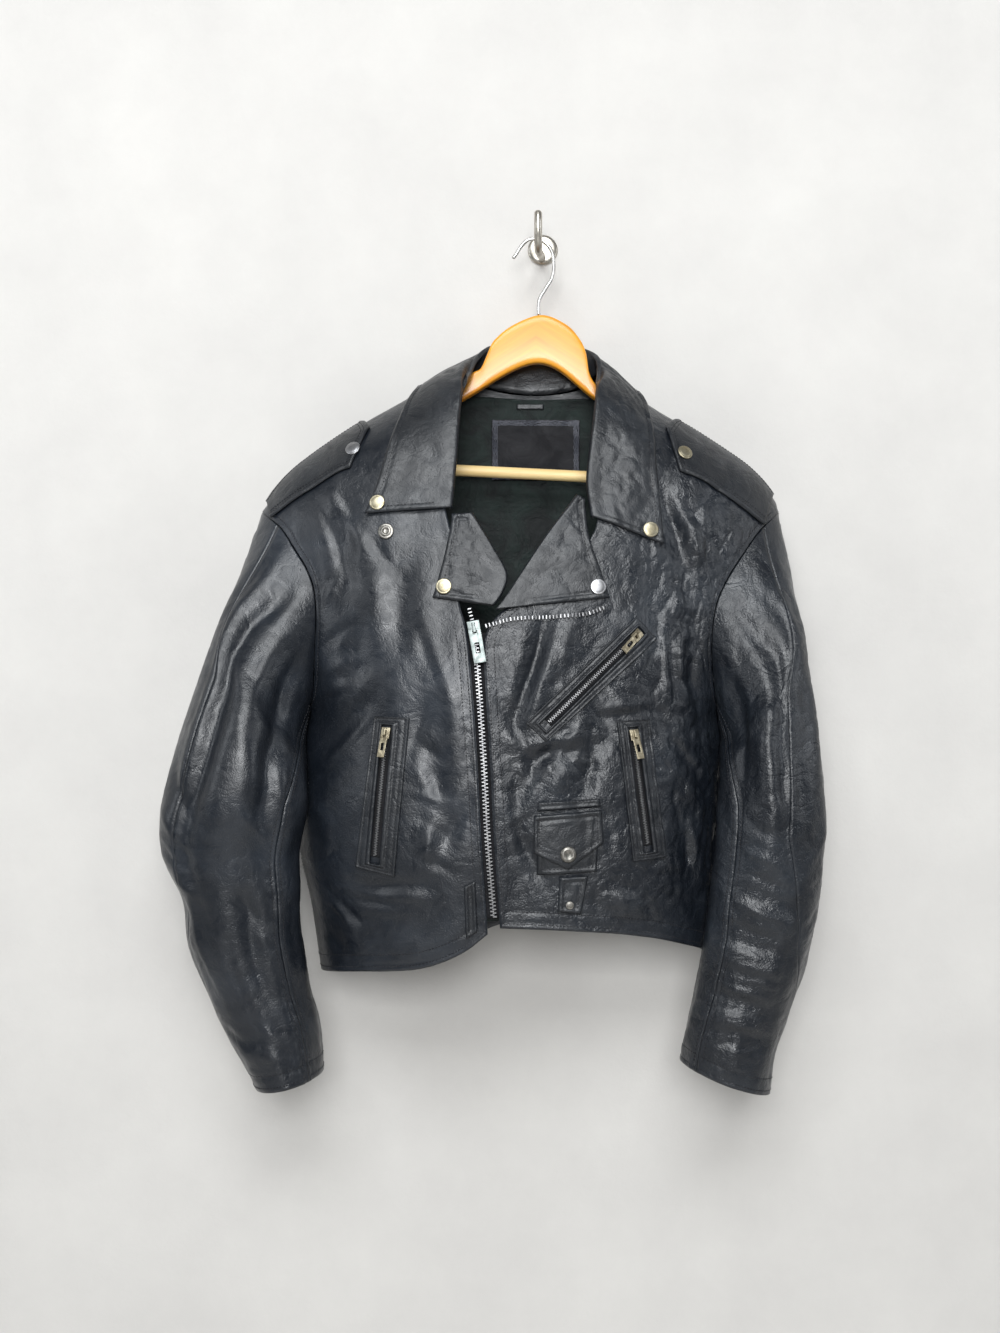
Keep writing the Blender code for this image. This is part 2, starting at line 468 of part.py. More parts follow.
class Sleeve:
    """The outer face of one sleeve, read by share of the way down and angle."""

    def __init__(self, side):
        self.side = side
        rings = sleeve_rings(side)
        rings = np.concatenate([rings, rings[:, :1]], axis=1)
        rows = np.array([spline(rings[:, k]) for k in range(rings.shape[1])])
        self.grid = np.swapaxes(rows, 0, 1)
        middle = self.grid[:, :-1].mean(axis=1)
        steps = np.linalg.norm(np.diff(middle, axis=0), axis=1)
        self.run = np.concatenate([[0.0], np.cumsum(steps)]) / steps.sum()
        self.folds = RIGHT_SLEEVE_FOLDS if side == "right" else LEFT_SLEEVE_FOLDS

    def raw(self, share, angle):
        share, angle = np.broadcast_arrays(np.asarray(share, float), np.asarray(angle, float))
        row = np.interp(share, self.run, np.arange(len(self.run)))
        column = (angle % 360.0) / 5.0
        r, c = np.minimum(row.astype(int), len(self.run) - 2), np.minimum(column.astype(int), 71)
        fr, fc = (row - r)[..., None], (column - c)[..., None]
        g = self.grid
        near = g[r, c] * (1 - fc) + g[r, c + 1] * fc
        far = g[r + 1, c] * (1 - fc) + g[r + 1, c + 1] * fc
        return near * (1 - fr) + far * fr

    def rise(self, share, angle):
        total = np.zeros(np.broadcast(share, angle).shape)
        for (s0, a0), (s1, a1), half_share, half_angle, height in self.folds:
            du, dv = (s1 - s0) / half_share, (a1 - a0) / half_angle
            turn = (np.asarray(angle) - a0 + 180) % 360 - 180
            pu, pv = (np.asarray(share) - s0) / half_share, turn / half_angle
            t = np.clip((pu * du + pv * dv) / (du * du + dv * dv), 0.0, 1.0)
            away2 = (pu - t * du) ** 2 + (pv - t * dv) ** 2
            total += height * (0.35 + 0.65 * np.sin(np.pi * t)) * np.exp(-away2)
        fade = np.clip(np.asarray(share) / 0.06, 0.0, 1.0)
        return total * fade * fade * (3 - 2 * fade)

    def normal(self, share, angle):
        share, angle = np.asarray(share, float), np.asarray(angle, float)
        up, down = np.clip(share - 0.012, 0, 1), np.clip(share + 0.012, 0, 1)
        length = self.raw(down, angle) - self.raw(up, angle)
        round_ = self.raw(share, angle + 4) - self.raw(share, angle - 4)
        turn = 1.0 if self.side == "right" else -1.0
        return unit(np.cross(length, round_)) * turn

    def at(self, share, angle, lift=0.0):
        """A point of the outer face, lifted along its normal, kept clear of the body's side."""
        share, angle = np.broadcast_arrays(np.asarray(share, float), np.asarray(angle, float))
        points = self.raw(share, angle)
        points = points + self.normal(share, angle) * self.rise(share, angle)[..., None]
        blend = np.clip((share - 0.02) / 0.08, 0.0, 1.0)
        limit = body_side(points[..., 1], points[..., 2], self.side, 0.0038)
        beyond = points[..., 0] - limit if self.side == "right" else limit - points[..., 0]
        pit = np.exp(-(((angle % 360.0) - 190.0) / 30.0) ** 2 - (share / 0.12) ** 2)
        points[..., 0] += (-1.0 if self.side == "right" else 1.0) * ARMPIT_CLEAR * pit
        low = (points[..., 2] < -0.50) & (points[..., 2] > -0.80) & (beyond > 0)
        sign = -1.0 if self.side == "right" else 1.0
        points[..., 0] += sign * np.where(low, beyond * blend, 0.0)
        return points + self.normal(share, angle) * lift


SLEEVES = {"right": Sleeve("right"), "left": Sleeve("left")}


def armhole_mitre(side, share, face):
    """The direction from an armhole seam's outside to its inside, shared by the panel and the sleeve."""
    points, body = armhole(side, share, face)
    angle = 180 * (1 - np.asarray(share)) if face < 0 else 180 + 180 * np.asarray(share)
    sleeve = SLEEVES[side].normal(np.full(np.shape(share), 0.012), angle)
    return unit(body + sleeve + np.array([0.0, 0.0, -0.05]) * (1 - np.asarray(share))[..., None])


def shoulder_normal(x):
    """Square to the shoulder line, upwards."""
    slope = (shoulder_z(x + 0.004) - shoulder_z(x - 0.004)) / 0.008
    return unit(np.stack([-slope, 0.0 * x, 1.0 + 0.0 * x], axis=-1))


def rows_up(count):
    """Row heights of a panel as shares, closer together towards the shoulder."""
    return 1 - (1 - np.linspace(0.0, 1.0, count + 1)) ** 1.45


def edge_split(side_line, arm_line, rows):
    """An outer edge that runs up the side seam and then up the armhole."""
    below = rows[rows <= ARMPIT_SHARE]
    above = rows[rows > ARMPIT_SHARE]
    lower = along(spline(side_line), below / ARMPIT_SHARE)
    upper_share = (above - ARMPIT_SHARE) / (1 - ARMPIT_SHARE)
    return lower, along(spline(arm_line), upper_share), upper_share


def front_surface(side, columns, rows):
    """Outer grid, inner directions and the u, v shares of one front."""
    right = side == "right"
    edge = RIGHT_FRONT_EDGE if right else LEFT_FRONT_EDGE
    v = rows
    u = 1 - (1 - np.linspace(0.0, 1.0, columns + 1)) ** 1.6
    side_line = RIGHT_SIDE if right else LEFT_SIDE
    arm_line = RIGHT_ARMHOLE_FRONT if right else LEFT_ARMHOLE_FRONT
    lower, upper, upper_share = edge_split(side_line, arm_line, v)
    last = np.concatenate([lower, upper])
    first = along(spline(edge), np.interp(v, [0.0, ARMPIT_SHARE, 1.0], [0.0, 0.40, 1.0]))
    bottom = along(spline(RIGHT_HEM if right else LEFT_HEM), u)
    neck_x, tip_x = (RIGHT_NECK_X, RIGHT_TIP_X) if right else (LEFT_NECK_X, LEFT_TIP_X)
    top_x = neck_x + (tip_x - neck_x) * u
    top = np.stack([top_x, shoulder_z(top_x)], axis=-1)
    uu, vv = np.meshgrid(u, v)
    flat = coons_at(bottom, top, first, last, u, v)
    x, z = flat[..., 0], flat[..., 1]
    y = body_y(x, z, -1)
    fade = np.clip((1 - uu) / 0.10, 0, 1) * np.clip(uu / 0.16, 0, 1)
    fade = fade * np.clip(vv / 0.03, 0, 1) * np.clip((1 - vv) / 0.10, 0, 1)
    lift = fold_height(x, z, RIGHT_FRONT_FOLDS if right else LEFT_FRONT_FOLDS) * fade
    normals = body_normal(x, z, -1)
    outer = np.stack([x, y, z], axis=-1)
    side_rows = len(lower)
    outer[:side_rows, -1, 1] = read(MID_Y, outer[:side_rows, -1, 2])
    outer[side_rows:, -1] = armhole(side, upper_share, -1)[0]
    outer[-1, :, 1] = read(MID_Y, outer[-1, :, 2])
    outer = outer + normals * lift[..., None]
    outward = np.array([-1.0 if right else 1.0, 0.0, 0.0])
    normals[: side_rows - 1, -1] = outward
    normals[-1, :] = shoulder_normal(x[-1])
    normals[side_rows:, -1] = armhole_mitre(side, upper_share, -1)
    pit = armhole_mitre(side, np.array([0.0]), -1)[0]
    normals[side_rows - 1, -1] = unit(outward + pit)
    return outer, normals


def coons_at(bottom, top, first, last, u, v):
    """A grid between four edges whose shares along are u and v."""
    vv, uu = v[:, None, None], u[None, :, None]
    ruled = (1 - vv) * bottom[None] + vv * top[None] + (1 - uu) * first[:, None] + uu * last[:, None]
    corners = (1 - vv) * ((1 - uu) * bottom[0] + uu * bottom[-1]) + vv * ((1 - uu) * top[0] + uu * top[-1])
    return ruled - corners


def back_surface(rows, shoulder_columns, neck_columns):
    """Outer grid and inner directions of the back, from the right side to the left."""
    v = rows
    right_lower, right_upper, upper_share = edge_split(RIGHT_SIDE, RIGHT_ARMHOLE_BACK, v)
    left_lower, left_upper, _ = edge_split(LEFT_SIDE, LEFT_ARMHOLE_BACK, v)
    first, last = np.concatenate([right_lower, right_upper]), np.concatenate([left_lower, left_upper])
    s = np.linspace(0.0, 1.0, shoulder_columns + 1)
    n = np.linspace(0.0, 1.0, neck_columns + 1)
    right_x = RIGHT_TIP_X + (RIGHT_NECK_X - RIGHT_TIP_X) * s**0.75
    left_x = LEFT_NECK_X + (LEFT_TIP_X - LEFT_NECK_X) * (1 - (1 - s) ** 0.75)
    neck_x = RIGHT_NECK_X + (LEFT_NECK_X - RIGHT_NECK_X) * n
    top_x = np.concatenate([right_x, neck_x[1:-1], left_x])
    ends = shoulder_z(RIGHT_NECK_X) + (shoulder_z(LEFT_NECK_X) - shoulder_z(RIGHT_NECK_X)) * n
    neck_z = ends - NECK_DIP * np.sin(np.pi * n) ** 0.6
    top_z = np.concatenate([shoulder_z(right_x), neck_z[1:-1], shoulder_z(left_x)])
    top = np.stack([top_x, top_z], axis=-1)
    u = (top_x - RIGHT_TIP_X) / (LEFT_TIP_X - RIGHT_TIP_X)
    u = 0.5 - 0.5 * np.sign(0.5 - u) * np.abs(1 - 2 * u) ** 0.9
    bottom = along(spline(BACK_HEM), u)
    flat = coons_at(bottom, top, first, last, u, v)
    x, z = flat[..., 0], flat[..., 1]
    uu, vv = np.meshgrid(u, v)
    fade = np.clip((1 - uu) / 0.08, 0, 1) * np.clip(uu / 0.08, 0, 1)
    fade = fade * np.clip(vv / 0.03, 0, 1) * np.clip((1 - vv) / 0.10, 0, 1)
    normals = body_normal(x, z, 1)
    outer = np.stack([x, body_y(x, z, 1), z], axis=-1)
    side_rows = len(right_lower)
    for column, hole in ((0, "right"), (-1, "left")):
        outer[:side_rows, column, 1] = read(MID_Y, outer[:side_rows, column, 2])
        outer[side_rows:, column] = armhole(hole, upper_share, 1)[0]
        outward = np.array([-1.0 if hole == "right" else 1.0, 0.0, 0.0])
        normals[: side_rows - 1, column] = outward
        normals[side_rows:, column] = armhole_mitre(hole, upper_share, 1)
        pit = armhole_mitre(hole, np.array([0.0]), 1)[0]
        normals[side_rows - 1, column] = unit(outward + pit)
    outer = outer + normals * (fold_height(x, z, BACK_FOLDS) * fade)[..., None]
    on_shoulder = np.r_[0 : shoulder_columns + 1, len(top_x) - shoulder_columns - 1 : len(top_x)]
    outer[-1, on_shoulder, 1] = read(MID_Y, outer[-1, on_shoulder, 2])
    normals[-1, on_shoulder] = shoulder_normal(top_x[on_shoulder])
    return outer, normals


def make_panel(name, outer, normals, thickness, material, sides):
    outer = pull_in(outer, sides)
    return wall(name, outer, outer - normals * thickness, material)


def make_sleeve(side, part, columns, material):
    """The top sleeve runs from the outer seam over the front to the inner seam, the under sleeve the other way."""
    sleeve = SLEEVES[side]
    share = np.linspace(0.0, 1.0, SLEEVE_ROWS + 1) ** 1.12
    outer_seam = read_plain(RIGHT_OUTER_SEAM if side == "right" else LEFT_OUTER_SEAM, share)
    inner_seam = read_plain(INNER_SEAM, share)
    start, end = (outer_seam, inner_seam) if part == "top" else (inner_seam, outer_seam + 360)
    across = np.linspace(0.0, 1.0, columns + 1)
    angle = start[:, None] + (end - start)[:, None] * across[None]
    shares = np.repeat(share[:, None], columns + 1, axis=1)
    outer = sleeve.at(shares, angle)
    normals = sleeve.normal(shares, angle)
    turned = angle[0] % 360.0
    front = turned <= 180
    hole_share = np.where(front, 1 - turned / 180, (turned - 180) / 180)
    first = np.zeros((columns + 1, 3))
    first[front] = armhole_mitre(side, hole_share[front], -1)
    first[~front] = armhole_mitre(side, hole_share[~front], 1)
    normals[0] = first
    outer[0] += ARMHOLE_INSET * unit(outer[1] - outer[0])
    return make_panel(f"{side}_{part}_sleeve", outer, normals, LEATHER, material, ("first", "last", "bottom"))


def read_plain(rows, at):
    keys = np.array([row[0] for row in rows])
    sizes = np.array([row[1] for row in rows])
    return np.interp(at, keys, sizes)


clear_scene()
black_leather = make_material("black leather", (0.018, 0.018, 0.020), 0.42)
trim_leather = make_material("black trim leather", (0.020, 0.020, 0.022), 0.40)
lining_cloth = make_material("dark lining", (0.030, 0.040, 0.036), 0.62)
label_cloth = make_material("label cloth", (0.06, 0.06, 0.062), 0.75)
zip_cloth = make_material("zip tape", (0.012, 0.012, 0.013), 0.85)
zip_metal = make_material("zip metal", (0.62, 0.58, 0.50), 0.32, 1.0)
snap_metal = make_material("snap metal", (0.66, 0.62, 0.54), 0.30, 1.0)
hanger_wood = make_material("honey varnished wood", (0.72, 0.34, 0.05), 0.35)
bar_wood = make_material("pale wood", (0.80, 0.66, 0.42), 0.50)
wire_steel = make_material("hook wire", (0.55, 0.55, 0.54), 0.30, 1.0)
hook_nickel = make_material("wall hook nickel", (0.56, 0.53, 0.47), 0.34, 1.0)

ROWS_FRONT, ROWS_BACK = rows_up(FRONT_ROWS), rows_up(BACK_ROWS)
panels = {}
for wearer_side in ("right", "left"):
    grid, into = front_surface(wearer_side, FRONT_COLUMNS[wearer_side], ROWS_FRONT)
    panels[wearer_side] = make_panel(f"{wearer_side}_front", grid, into, LEATHER, black_leather, ("last", "top"))
grid, into = back_surface(ROWS_BACK, SHOULDER_COLUMNS, NECK_COLUMNS)
panels["back"] = make_panel("back", grid, into, LEATHER, black_leather, ("first", "last", "top"))
for wearer_side in ("right", "left"):
    for part, columns in (("top", TOP_SLEEVE_COLUMNS), ("under", UNDER_SLEEVE_COLUMNS)):
        panels[wearer_side, part] = make_sleeve(wearer_side, part, columns, black_leather)


# What lies on the panels


class Under:
    """The faces of finished pieces, for laying the next piece on them."""

    def __init__(self, objects):
        vertices, faces = [], []
        for made in objects:
            base = len(vertices)
            vertices += [tuple(v.co) for v in made.data.vertices]
            faces += [tuple(base + i for i in face.vertices) for face in made.data.polygons]
        self.tree = BVHTree.FromPolygons(vertices, faces)

    def height(self, point, normal, reach=0.030):
        """Height of the highest face along the normal, from the point."""
        start = Vector(point) + Vector(normal) * reach
        hit = self.tree.ray_cast(start, -Vector(normal), 2 * reach)
        return None if hit[0] is None else reach - hit[3]

    def lay(self, points, normals, lift, spread=0.003):
        """Points moved along their normals to stand clear of the faces by lift."""
        points, normals = np.asarray(points, float), np.asarray(normals, float)
        flat, turn = points.reshape(-1, 3), normals.reshape(-1, 3)
        laid = np.empty_like(flat)
        for i, (point, normal) in enumerate(zip(flat, turn)):
            side = unit(np.cross(normal, [0.0, 0.0, 1.0]))
            up = np.cross(side, normal)
            shifts = [0 * side, side * spread, -side * spread, up * spread, -up * spread]
            found = [self.height(point + shift, normal) for shift in shifts]
            found = [height for height in found if height is not None]
            laid[i] = point + normal * ((max(found) if found else 0.0) + lift)
        return laid.reshape(points.shape)


def on_front(flat):
    """Points and normals of the body's front at x, z."""
    flat = np.asarray(flat, float)
    x, z = flat[..., 0], flat[..., 1]
    return np.stack([x, body_y(x, z, -1), z], axis=-1), body_normal(x, z, -1)


def over_shoulder(x, run):
    """Point and normal at a distance from the shoulder line, measured over the cloth; run below 0 is behind."""
    x, run = np.broadcast_arrays(np.asarray(x, float), np.asarray(run, float))
    points, normals = np.zeros(x.shape + (3,)), np.zeros(x.shape + (3,))
    steps = np.linspace(0.0, 1.0, 260) ** 2.2 * 0.25
    for index in np.ndindex(x.shape):
        face = -1 if run[index] >= 0 else 1
        z = shoulder_z(x[index]) - steps
        y = body_y(np.full(z.shape, x[index]), z, face)
        length = np.concatenate([[0.0], np.cumsum(np.hypot(np.diff(y), np.diff(z)))])
        at_z = float(np.interp(abs(run[index]), length, z))
        points[index] = [x[index], float(body_y(x[index], at_z, face)), at_z]
        near = np.clip(abs(run[index]) / 0.012, 0.0, 1.0)
        crest = shoulder_normal(np.array(x[index]))
        normals[index] = unit(body_normal(x[index], at_z, face) * near + crest * (1 - near))
    return points, normals


def smooth_grid(points, normals, rounds=1):
    """Evens out how far a laid grid stands off, without letting any point sink."""
    for _ in range(rounds):
        padded = np.pad(points, ((1, 1), (1, 1), (0, 0)), mode="edge")
        mean = (padded[:-2, 1:-1] + padded[2:, 1:-1] + padded[1:-1, :-2] + padded[1:-1, 2:]) / 4
        rise = np.clip(np.sum((mean - points) * normals, axis=-1, keepdims=True), 0.0, None)
        points = points + normals * rise
    return points


def four_sided(corners, columns, rows):
    """A grid in the front view between four corners, given round the shape."""
    a, b, c, d = (np.array(corner) for corner in corners)
    u, v = np.linspace(0, 1, columns + 1)[None, :, None], np.linspace(0, 1, rows + 1)[:, None, None]
    return (1 - v) * ((1 - u) * a + u * b) + v * ((1 - u) * d + u * c)


def ribbon(path, width, columns, rows):
    """A grid along a line in the front view."""
    line = along(spline(path) if len(path) > 2 else np.array(path, float), np.linspace(0, 1, rows + 1))
    forward = unit(np.gradient(line, axis=0))
    across = np.stack([forward[:, 1], -forward[:, 0]], axis=-1)
    shift = np.linspace(-0.5, 0.5, columns + 1) * width
    return line[:, None] + across[:, None] * shift[None, :, None]


def laid_sheet(name, flat, under, thickness, material, lift=LAY_GAP, rounds=1, spread=0.003):
    points, normals = on_front(flat)
    points = smooth_grid(under.lay(points, normals, lift, spread), normals, rounds)
    return wall(name, points + normals * thickness, points, material)


def laid_frame(name, corners, slot, under, thickness, material, lift=LAY_GAP):
    """A welt: a four-sided band of leather round a slot."""
    a, b, c, d = (np.array(corner) for corner in corners)
    (x0, z0), (x1, z1) = slot["ends"]
    start, end = np.array([x0, z0]), np.array([x1, z1])
    forward = unit(end - start)
    across = np.array([forward[1], -forward[0]])
    if np.dot(b - a, across) < 0:
        across = -across
    half = slot["width"] / 2
    inner = [start - across * half, start + across * half, end + across * half, end - across * half]
    counts = (2, 10, 2, 10)
    outer_loop, inner_loop = [], []
    for side, count in enumerate(counts):
        for step in range(count):
            t = step / count
            outer_loop.append((1 - t) * [a, b, c, d][side] + t * [b, c, d, a][side])
            inner_loop.append((1 - t) * inner[side] + t * inner[(side + 1) % 4])
    outer_loop, inner_loop = np.array(outer_loop), np.array(inner_loop)
    flat = np.stack([outer_loop, 0.5 * (outer_loop + inner_loop), inner_loop])
    points, normals = on_front(flat)
    points = under.lay(points, normals, lift)
    return wall(name, points + normals * thickness, points, material, ring=True)


def tube(name, path, radius, sides, material, steps=8):
    """A round rod along a smooth path."""
    line = spline(path, steps)
    forward = unit(np.gradient(line, axis=0))
    side = unit(np.cross(forward[0], [0.0, 1.0, 0.02]))
    rings = []
    for point, ahead in zip(line, forward):
        side = unit(side - ahead * np.dot(side, ahead))
        other = np.cross(ahead, side)
        turn = np.linspace(0, 2 * np.pi, sides, endpoint=False)
        rings.append(point + radius * (np.cos(turn)[:, None] * side + np.sin(turn)[:, None] * other))
    rings = np.array(rings)
    count = len(line)
    vertices = np.concatenate([rings.reshape(-1, 3), line[:1], line[-1:]])
    faces = []
    for r in range(count - 1):
        for c in range(sides):
            n = (c + 1) % sides
            faces += split(r * sides + c, r * sides + n, (r + 1) * sides + n, (r + 1) * sides + c, vertices)
    faces += [(count * sides, (c + 1) % sides, c) for c in range(sides)]
    last = (count - 1) * sides
    faces += [(count * sides + 1, last + c, last + (c + 1) % sides) for c in range(sides)]
    return link(name, vertices, faces, material)


def turned(name, profile, sides, place, material):
    """A shape turned about its local Z: profile is radius, height from the top axis point to the bottom one."""
    vertices, faces = [(0.0, 0.0, profile[0][1])], []
    middle = profile[1:-1]
    for radius, height in middle:
        turn = np.linspace(0, 2 * np.pi, sides, endpoint=False)
        vertices += [(radius * math.cos(a), radius * math.sin(a), height) for a in turn]
    vertices.append((0.0, 0.0, profile[-1][1]))
    for c in range(sides):
        n = (c + 1) % sides
        faces.append((0, 1 + c, 1 + n))
        for r in range(len(middle) - 1):
            a, b = 1 + r * sides, 1 + (r + 1) * sides
            faces += [(a + c, b + c, b + n), (a + c, b + n, a + n)]
        last = 1 + (len(middle) - 1) * sides
        faces.append((last + c, len(vertices) - 1, last + n))
    points = np.array([place @ Vector(v) for v in vertices])
    return link(name, points, faces, material)


def frame_at(origin, up, out):
    """A placement whose local Y runs along up and local Z along out."""
    out = unit(out)
    up = unit(np.asarray(up) - out * np.dot(up, out))
    across = np.cross(up, out)
    rows = np.column_stack([across, up, out, origin])
    return Matrix([list(row) for row in rows] + [[0.0, 0.0, 0.0, 1.0]])


on_panels = Under([panels["right"], panels["left"], panels["back"]])
pieces = {}
POCKETS = {
    "chest": (CHEST_POCKET, CHEST_ZIP),
    "right_hand": (RIGHT_HAND_POCKET, RIGHT_HAND_ZIP),
    "left_hand": (LEFT_HAND_POCKET, LEFT_HAND_ZIP),
}
for name, (corners, line) in POCKETS.items():
    slot = {"ends": line, "width": 0.0115}
    pieces[name, "welt"] = laid_frame(f"{name}_pocket_welt", corners, slot, on_panels, TRIM_LEATHER, trim_leather)
    cloth = ribbon(line, 0.0100, 2, 12)
    pieces[name, "chain"] = laid_sheet(f"{name}_zip_chain", cloth[1:-1], on_panels, 0.0018, zip_metal)


def run_of(x, z):
    """Distance over the cloth from the shoulder line down the front to a height."""
    steps = np.linspace(0.0, 1.0, 260) ** 2.2 * 0.25
    heights = shoulder_z(x) - steps
    y = body_y(np.full(heights.shape, x), heights, -1)
    length = np.concatenate([[0.0], np.cumsum(np.hypot(np.diff(y), np.diff(heights)))])
    return float(np.interp(shoulder_z(x) - z, steps, length))


def make_strap(side, low, ends, under):
    """A shoulder strap, sewn in at the armhole, with a pointed end that is snapped down."""
    columns, rows = 10, 4
    t = np.linspace(0.0, 1.0, columns + 1)
    low_line = along(spline(low), t)
    grid_x, grid_run = np.zeros((rows + 1, columns + 1)), np.zeros((rows + 1, columns + 1))
    toward = 1.0 if side == "right" else -1.0
    for c in range(columns + 1):
        top_x = ends[0] + (ends[1] - ends[0]) * t[c]
        low_run = run_of(low_line[c, 0], low_line[c, 1])
        for r in range(rows + 1):
            v = r / rows
            point = toward * STRAP_POINT * (1 - abs(2 * v - 1)) * max(0.0, (t[c] - 0.85) / 0.15)
            grid_x[r, c] = top_x * (1 - v) + low_line[c, 0] * v + point
            grid_run[r, c] = STRAP_TOP_RUN * (1 - v) + low_run * v
    points, normals = over_shoulder(grid_x, grid_run)
    points = smooth_grid(under.lay(points, normals, 0.0015), normals)
    return wall(f"{side}_shoulder_strap", points + normals * TRIM_LEATHER, points, trim_leather)


def make_lapel(side):
    """The turned-back edge of a front: under layer, roll and top layer as one sheet."""
    right = side == "right"
    rows = 12
    roll = along(spline(RIGHT_LAPEL_ROLL if right else LEFT_LAPEL_ROLL), np.linspace(0, 1, rows + 1))
    edge = along(spline(RIGHT_LAPEL_EDGE if right else LEFT_LAPEL_EDGE), np.linspace(0, 1, rows + 1))
    seam = RIGHT_LAPEL_SEAM if right else LEFT_LAPEL_SEAM
    sheet = []
    for (x0, z0), (x1, z1) in zip(roll, edge):
        width = math.hypot(x1 - x0, z1 - z0)
        d = np.array([(x1 - x0) / width, (z1 - z0) / width])
        r = LAPEL_ROLL_RADIUS
        middle = min(r, 0.4 * width)
        under_width = max(abs(float(read_plain(seam, z0)) - x0), middle + 0.001)
        line = [(under_width, -0.0011), ((under_width + middle) / 2, -0.0011)]
        turn = np.radians([-90, -135, -180, -225, -270])
        line += [(middle + r * math.cos(a), r - 0.0011 + r * math.sin(a)) for a in turn]
        top = 2 * r - 0.0011
        for share in (0.25, 0.5, 0.75, 1.0):
            height = top + (LAPEL_LIFT - top) * share**0.8
            line.append((middle + (width - middle) * share, height))
        flat = np.array([[x0 + d[0] * a, z0 + d[1] * a] for a, _ in line])
        points, normals = on_front(flat)
        sheet.append(points + normals * np.array([h for _, h in line])[:, None])
    sheet = np.array(sheet)
    normals = grid_normals(sheet)
    half = TRIM_LEATHER / 2
    return wall(f"{side}_lapel", sheet + normals * half, sheet - normals * half, trim_leather)


def collar_columns():
    """Base, fold, middle and edge of the fall, the way through the fold and the way out of it, round the neck."""
    columns = []
    for fold, edge in zip(COLLAR_FOLD_RIGHT, COLLAR_EDGE_RIGHT):
        columns.append(collar_front_column(fold, edge))
    for k, (fold, middle, (edge_x, run)) in enumerate(zip(COLLAR_FOLD_BACK, COLLAR_MID_BACK, COLLAR_EDGE_BACK)):
        fold, middle = np.array(fold), np.array(middle)
        edge, normal = over_shoulder(edge_x, run)
        share = (k - 1) / (len(COLLAR_FOLD_BACK) - 3)
        across = unit(np.array([middle[0] - fold[0], middle[1] - fold[1], 0.0]))
        if 0 <= share <= 1:
            neck_x = RIGHT_NECK_X + (LEFT_NECK_X - RIGHT_NECK_X) * share
            neck_z = shoulder_z(RIGHT_NECK_X) * (1 - share) + shoulder_z(LEFT_NECK_X) * share
            neck_z = neck_z - NECK_DIP * math.sin(math.pi * share) ** 0.6
            base = np.array([neck_x, float(body_y(neck_x, neck_z, 1)), neck_z])
            base = base - across * COLLAR_SEAM_IN
        else:
            flat = (RIGHT_NECK_X + 0.0092, -0.168) if share < 0 else (LEFT_NECK_X - 0.0100, -0.172)
            point, out = on_front(flat)
            base = point - out * 0.0012
        columns.append((base, fold, middle, edge + normal * 0.0042, across, np.array([0.0, 0.0, 1.0])))
    for fold, edge in zip(COLLAR_FOLD_LEFT, COLLAR_EDGE_LEFT):
        columns.append(collar_front_column(fold, edge))
    return columns


def collar_front_column(fold, edge):
    fold, edge = np.array(fold), np.array(edge)
    d = unit(edge - fold)
    (fold3, n0), (edge3, n1) = on_front(fold), on_front(edge)
    (base3, nb), (middle3, nm) = on_front(fold + d * 0.0004), on_front((fold + edge) / 2)
    out = np.array([-d[0], 0.0, -d[1]])
    return base3 - nb * 0.0012, fold3 + n0 * 0.0013, middle3 + nm * 0.0050, edge3 + n1 * 0.0040, n0, out


def make_collar(under):
    columns = collar_columns()
    base, fold, middle, edge, through, out = (np.array([column[k] for column in columns]) for k in range(6))
    count = 31
    shares = np.linspace(0.0, 1.0, count + 1)
    keys = np.linspace(0.0, 1.0, len(columns))
    place = np.interp(shares, keys, np.arange(len(columns)) * 10.0)
    pick = np.arange((len(columns) - 1) * 10 + 1)

    def thread(line):
        dense = spline(line, 10)
        return np.stack([np.interp(place, pick, dense[:, k]) for k in range(3)], axis=-1)

    base, fold, middle, edge = thread(base), thread(fold), thread(middle), thread(edge)
    through, out = unit(thread(through)), unit(thread(out))
    r = COLLAR_ROLL_RADIUS
    start = fold - through * r - out * r
    end = fold + through * r - out * r
    centre = fold - out * r
    bend = [centre + r * (np.cos(a) * -through + np.sin(a) * out) for a in np.radians([45, 90, 135])]
    rows = [base, base * 0.5 + start * 0.5, start, *bend, end]
    for share in (0.33, 0.66, 1.0, 1.33, 1.66, 2.0):
        if share <= 1:
            rows.append(end * (1 - share) + middle * share)
        else:
            rows.append(middle * (2 - share) + edge * (share - 1))
    rows = np.array(rows)
    for _ in range(2):
        rows[8:-1] = (rows[7:-2] + 2 * rows[8:-1] + rows[9:]) / 4
    for index in np.ndindex(rows[6:].shape[:2]):
        point = rows[6 + index[0], index[1]]
        near = under.tree.find_nearest(Vector(point))[0]
        near = np.array(near)
        face = -1 if near[1] < float(read(MID_Y, near[2])) else 1
        below = shoulder_z(near[0]) - near[2]
        blend = np.clip(below / 0.010, 0.0, 1.0)
        away = body_normal(near[0], min(near[2], shoulder_z(near[0]) - 0.001), face) * blend
        away = unit(away + shoulder_normal(near[0]) * (1 - blend))
        short = COLLAR_CLEAR - np.dot(point - near, away)
        if short > 0 and np.linalg.norm(point - near) < 0.02:
            rows[6 + index[0], index[1]] = point + away * short
    normals = grid_normals(rows)
    half = TRIM_LEATHER / 2
    return wall("collar", rows + normals * half, rows - normals * half, trim_leather)


pieces["right strap"] = make_strap("right", RIGHT_STRAP_LOW, RIGHT_STRAP_ENDS, on_panels)
pieces["left strap"] = make_strap("left", LEFT_STRAP_LOW, LEFT_STRAP_ENDS, on_panels)
pieces["right lapel"] = make_lapel("right")
pieces["left lapel"] = make_lapel("left")
pieces["collar"] = make_collar(on_panels)

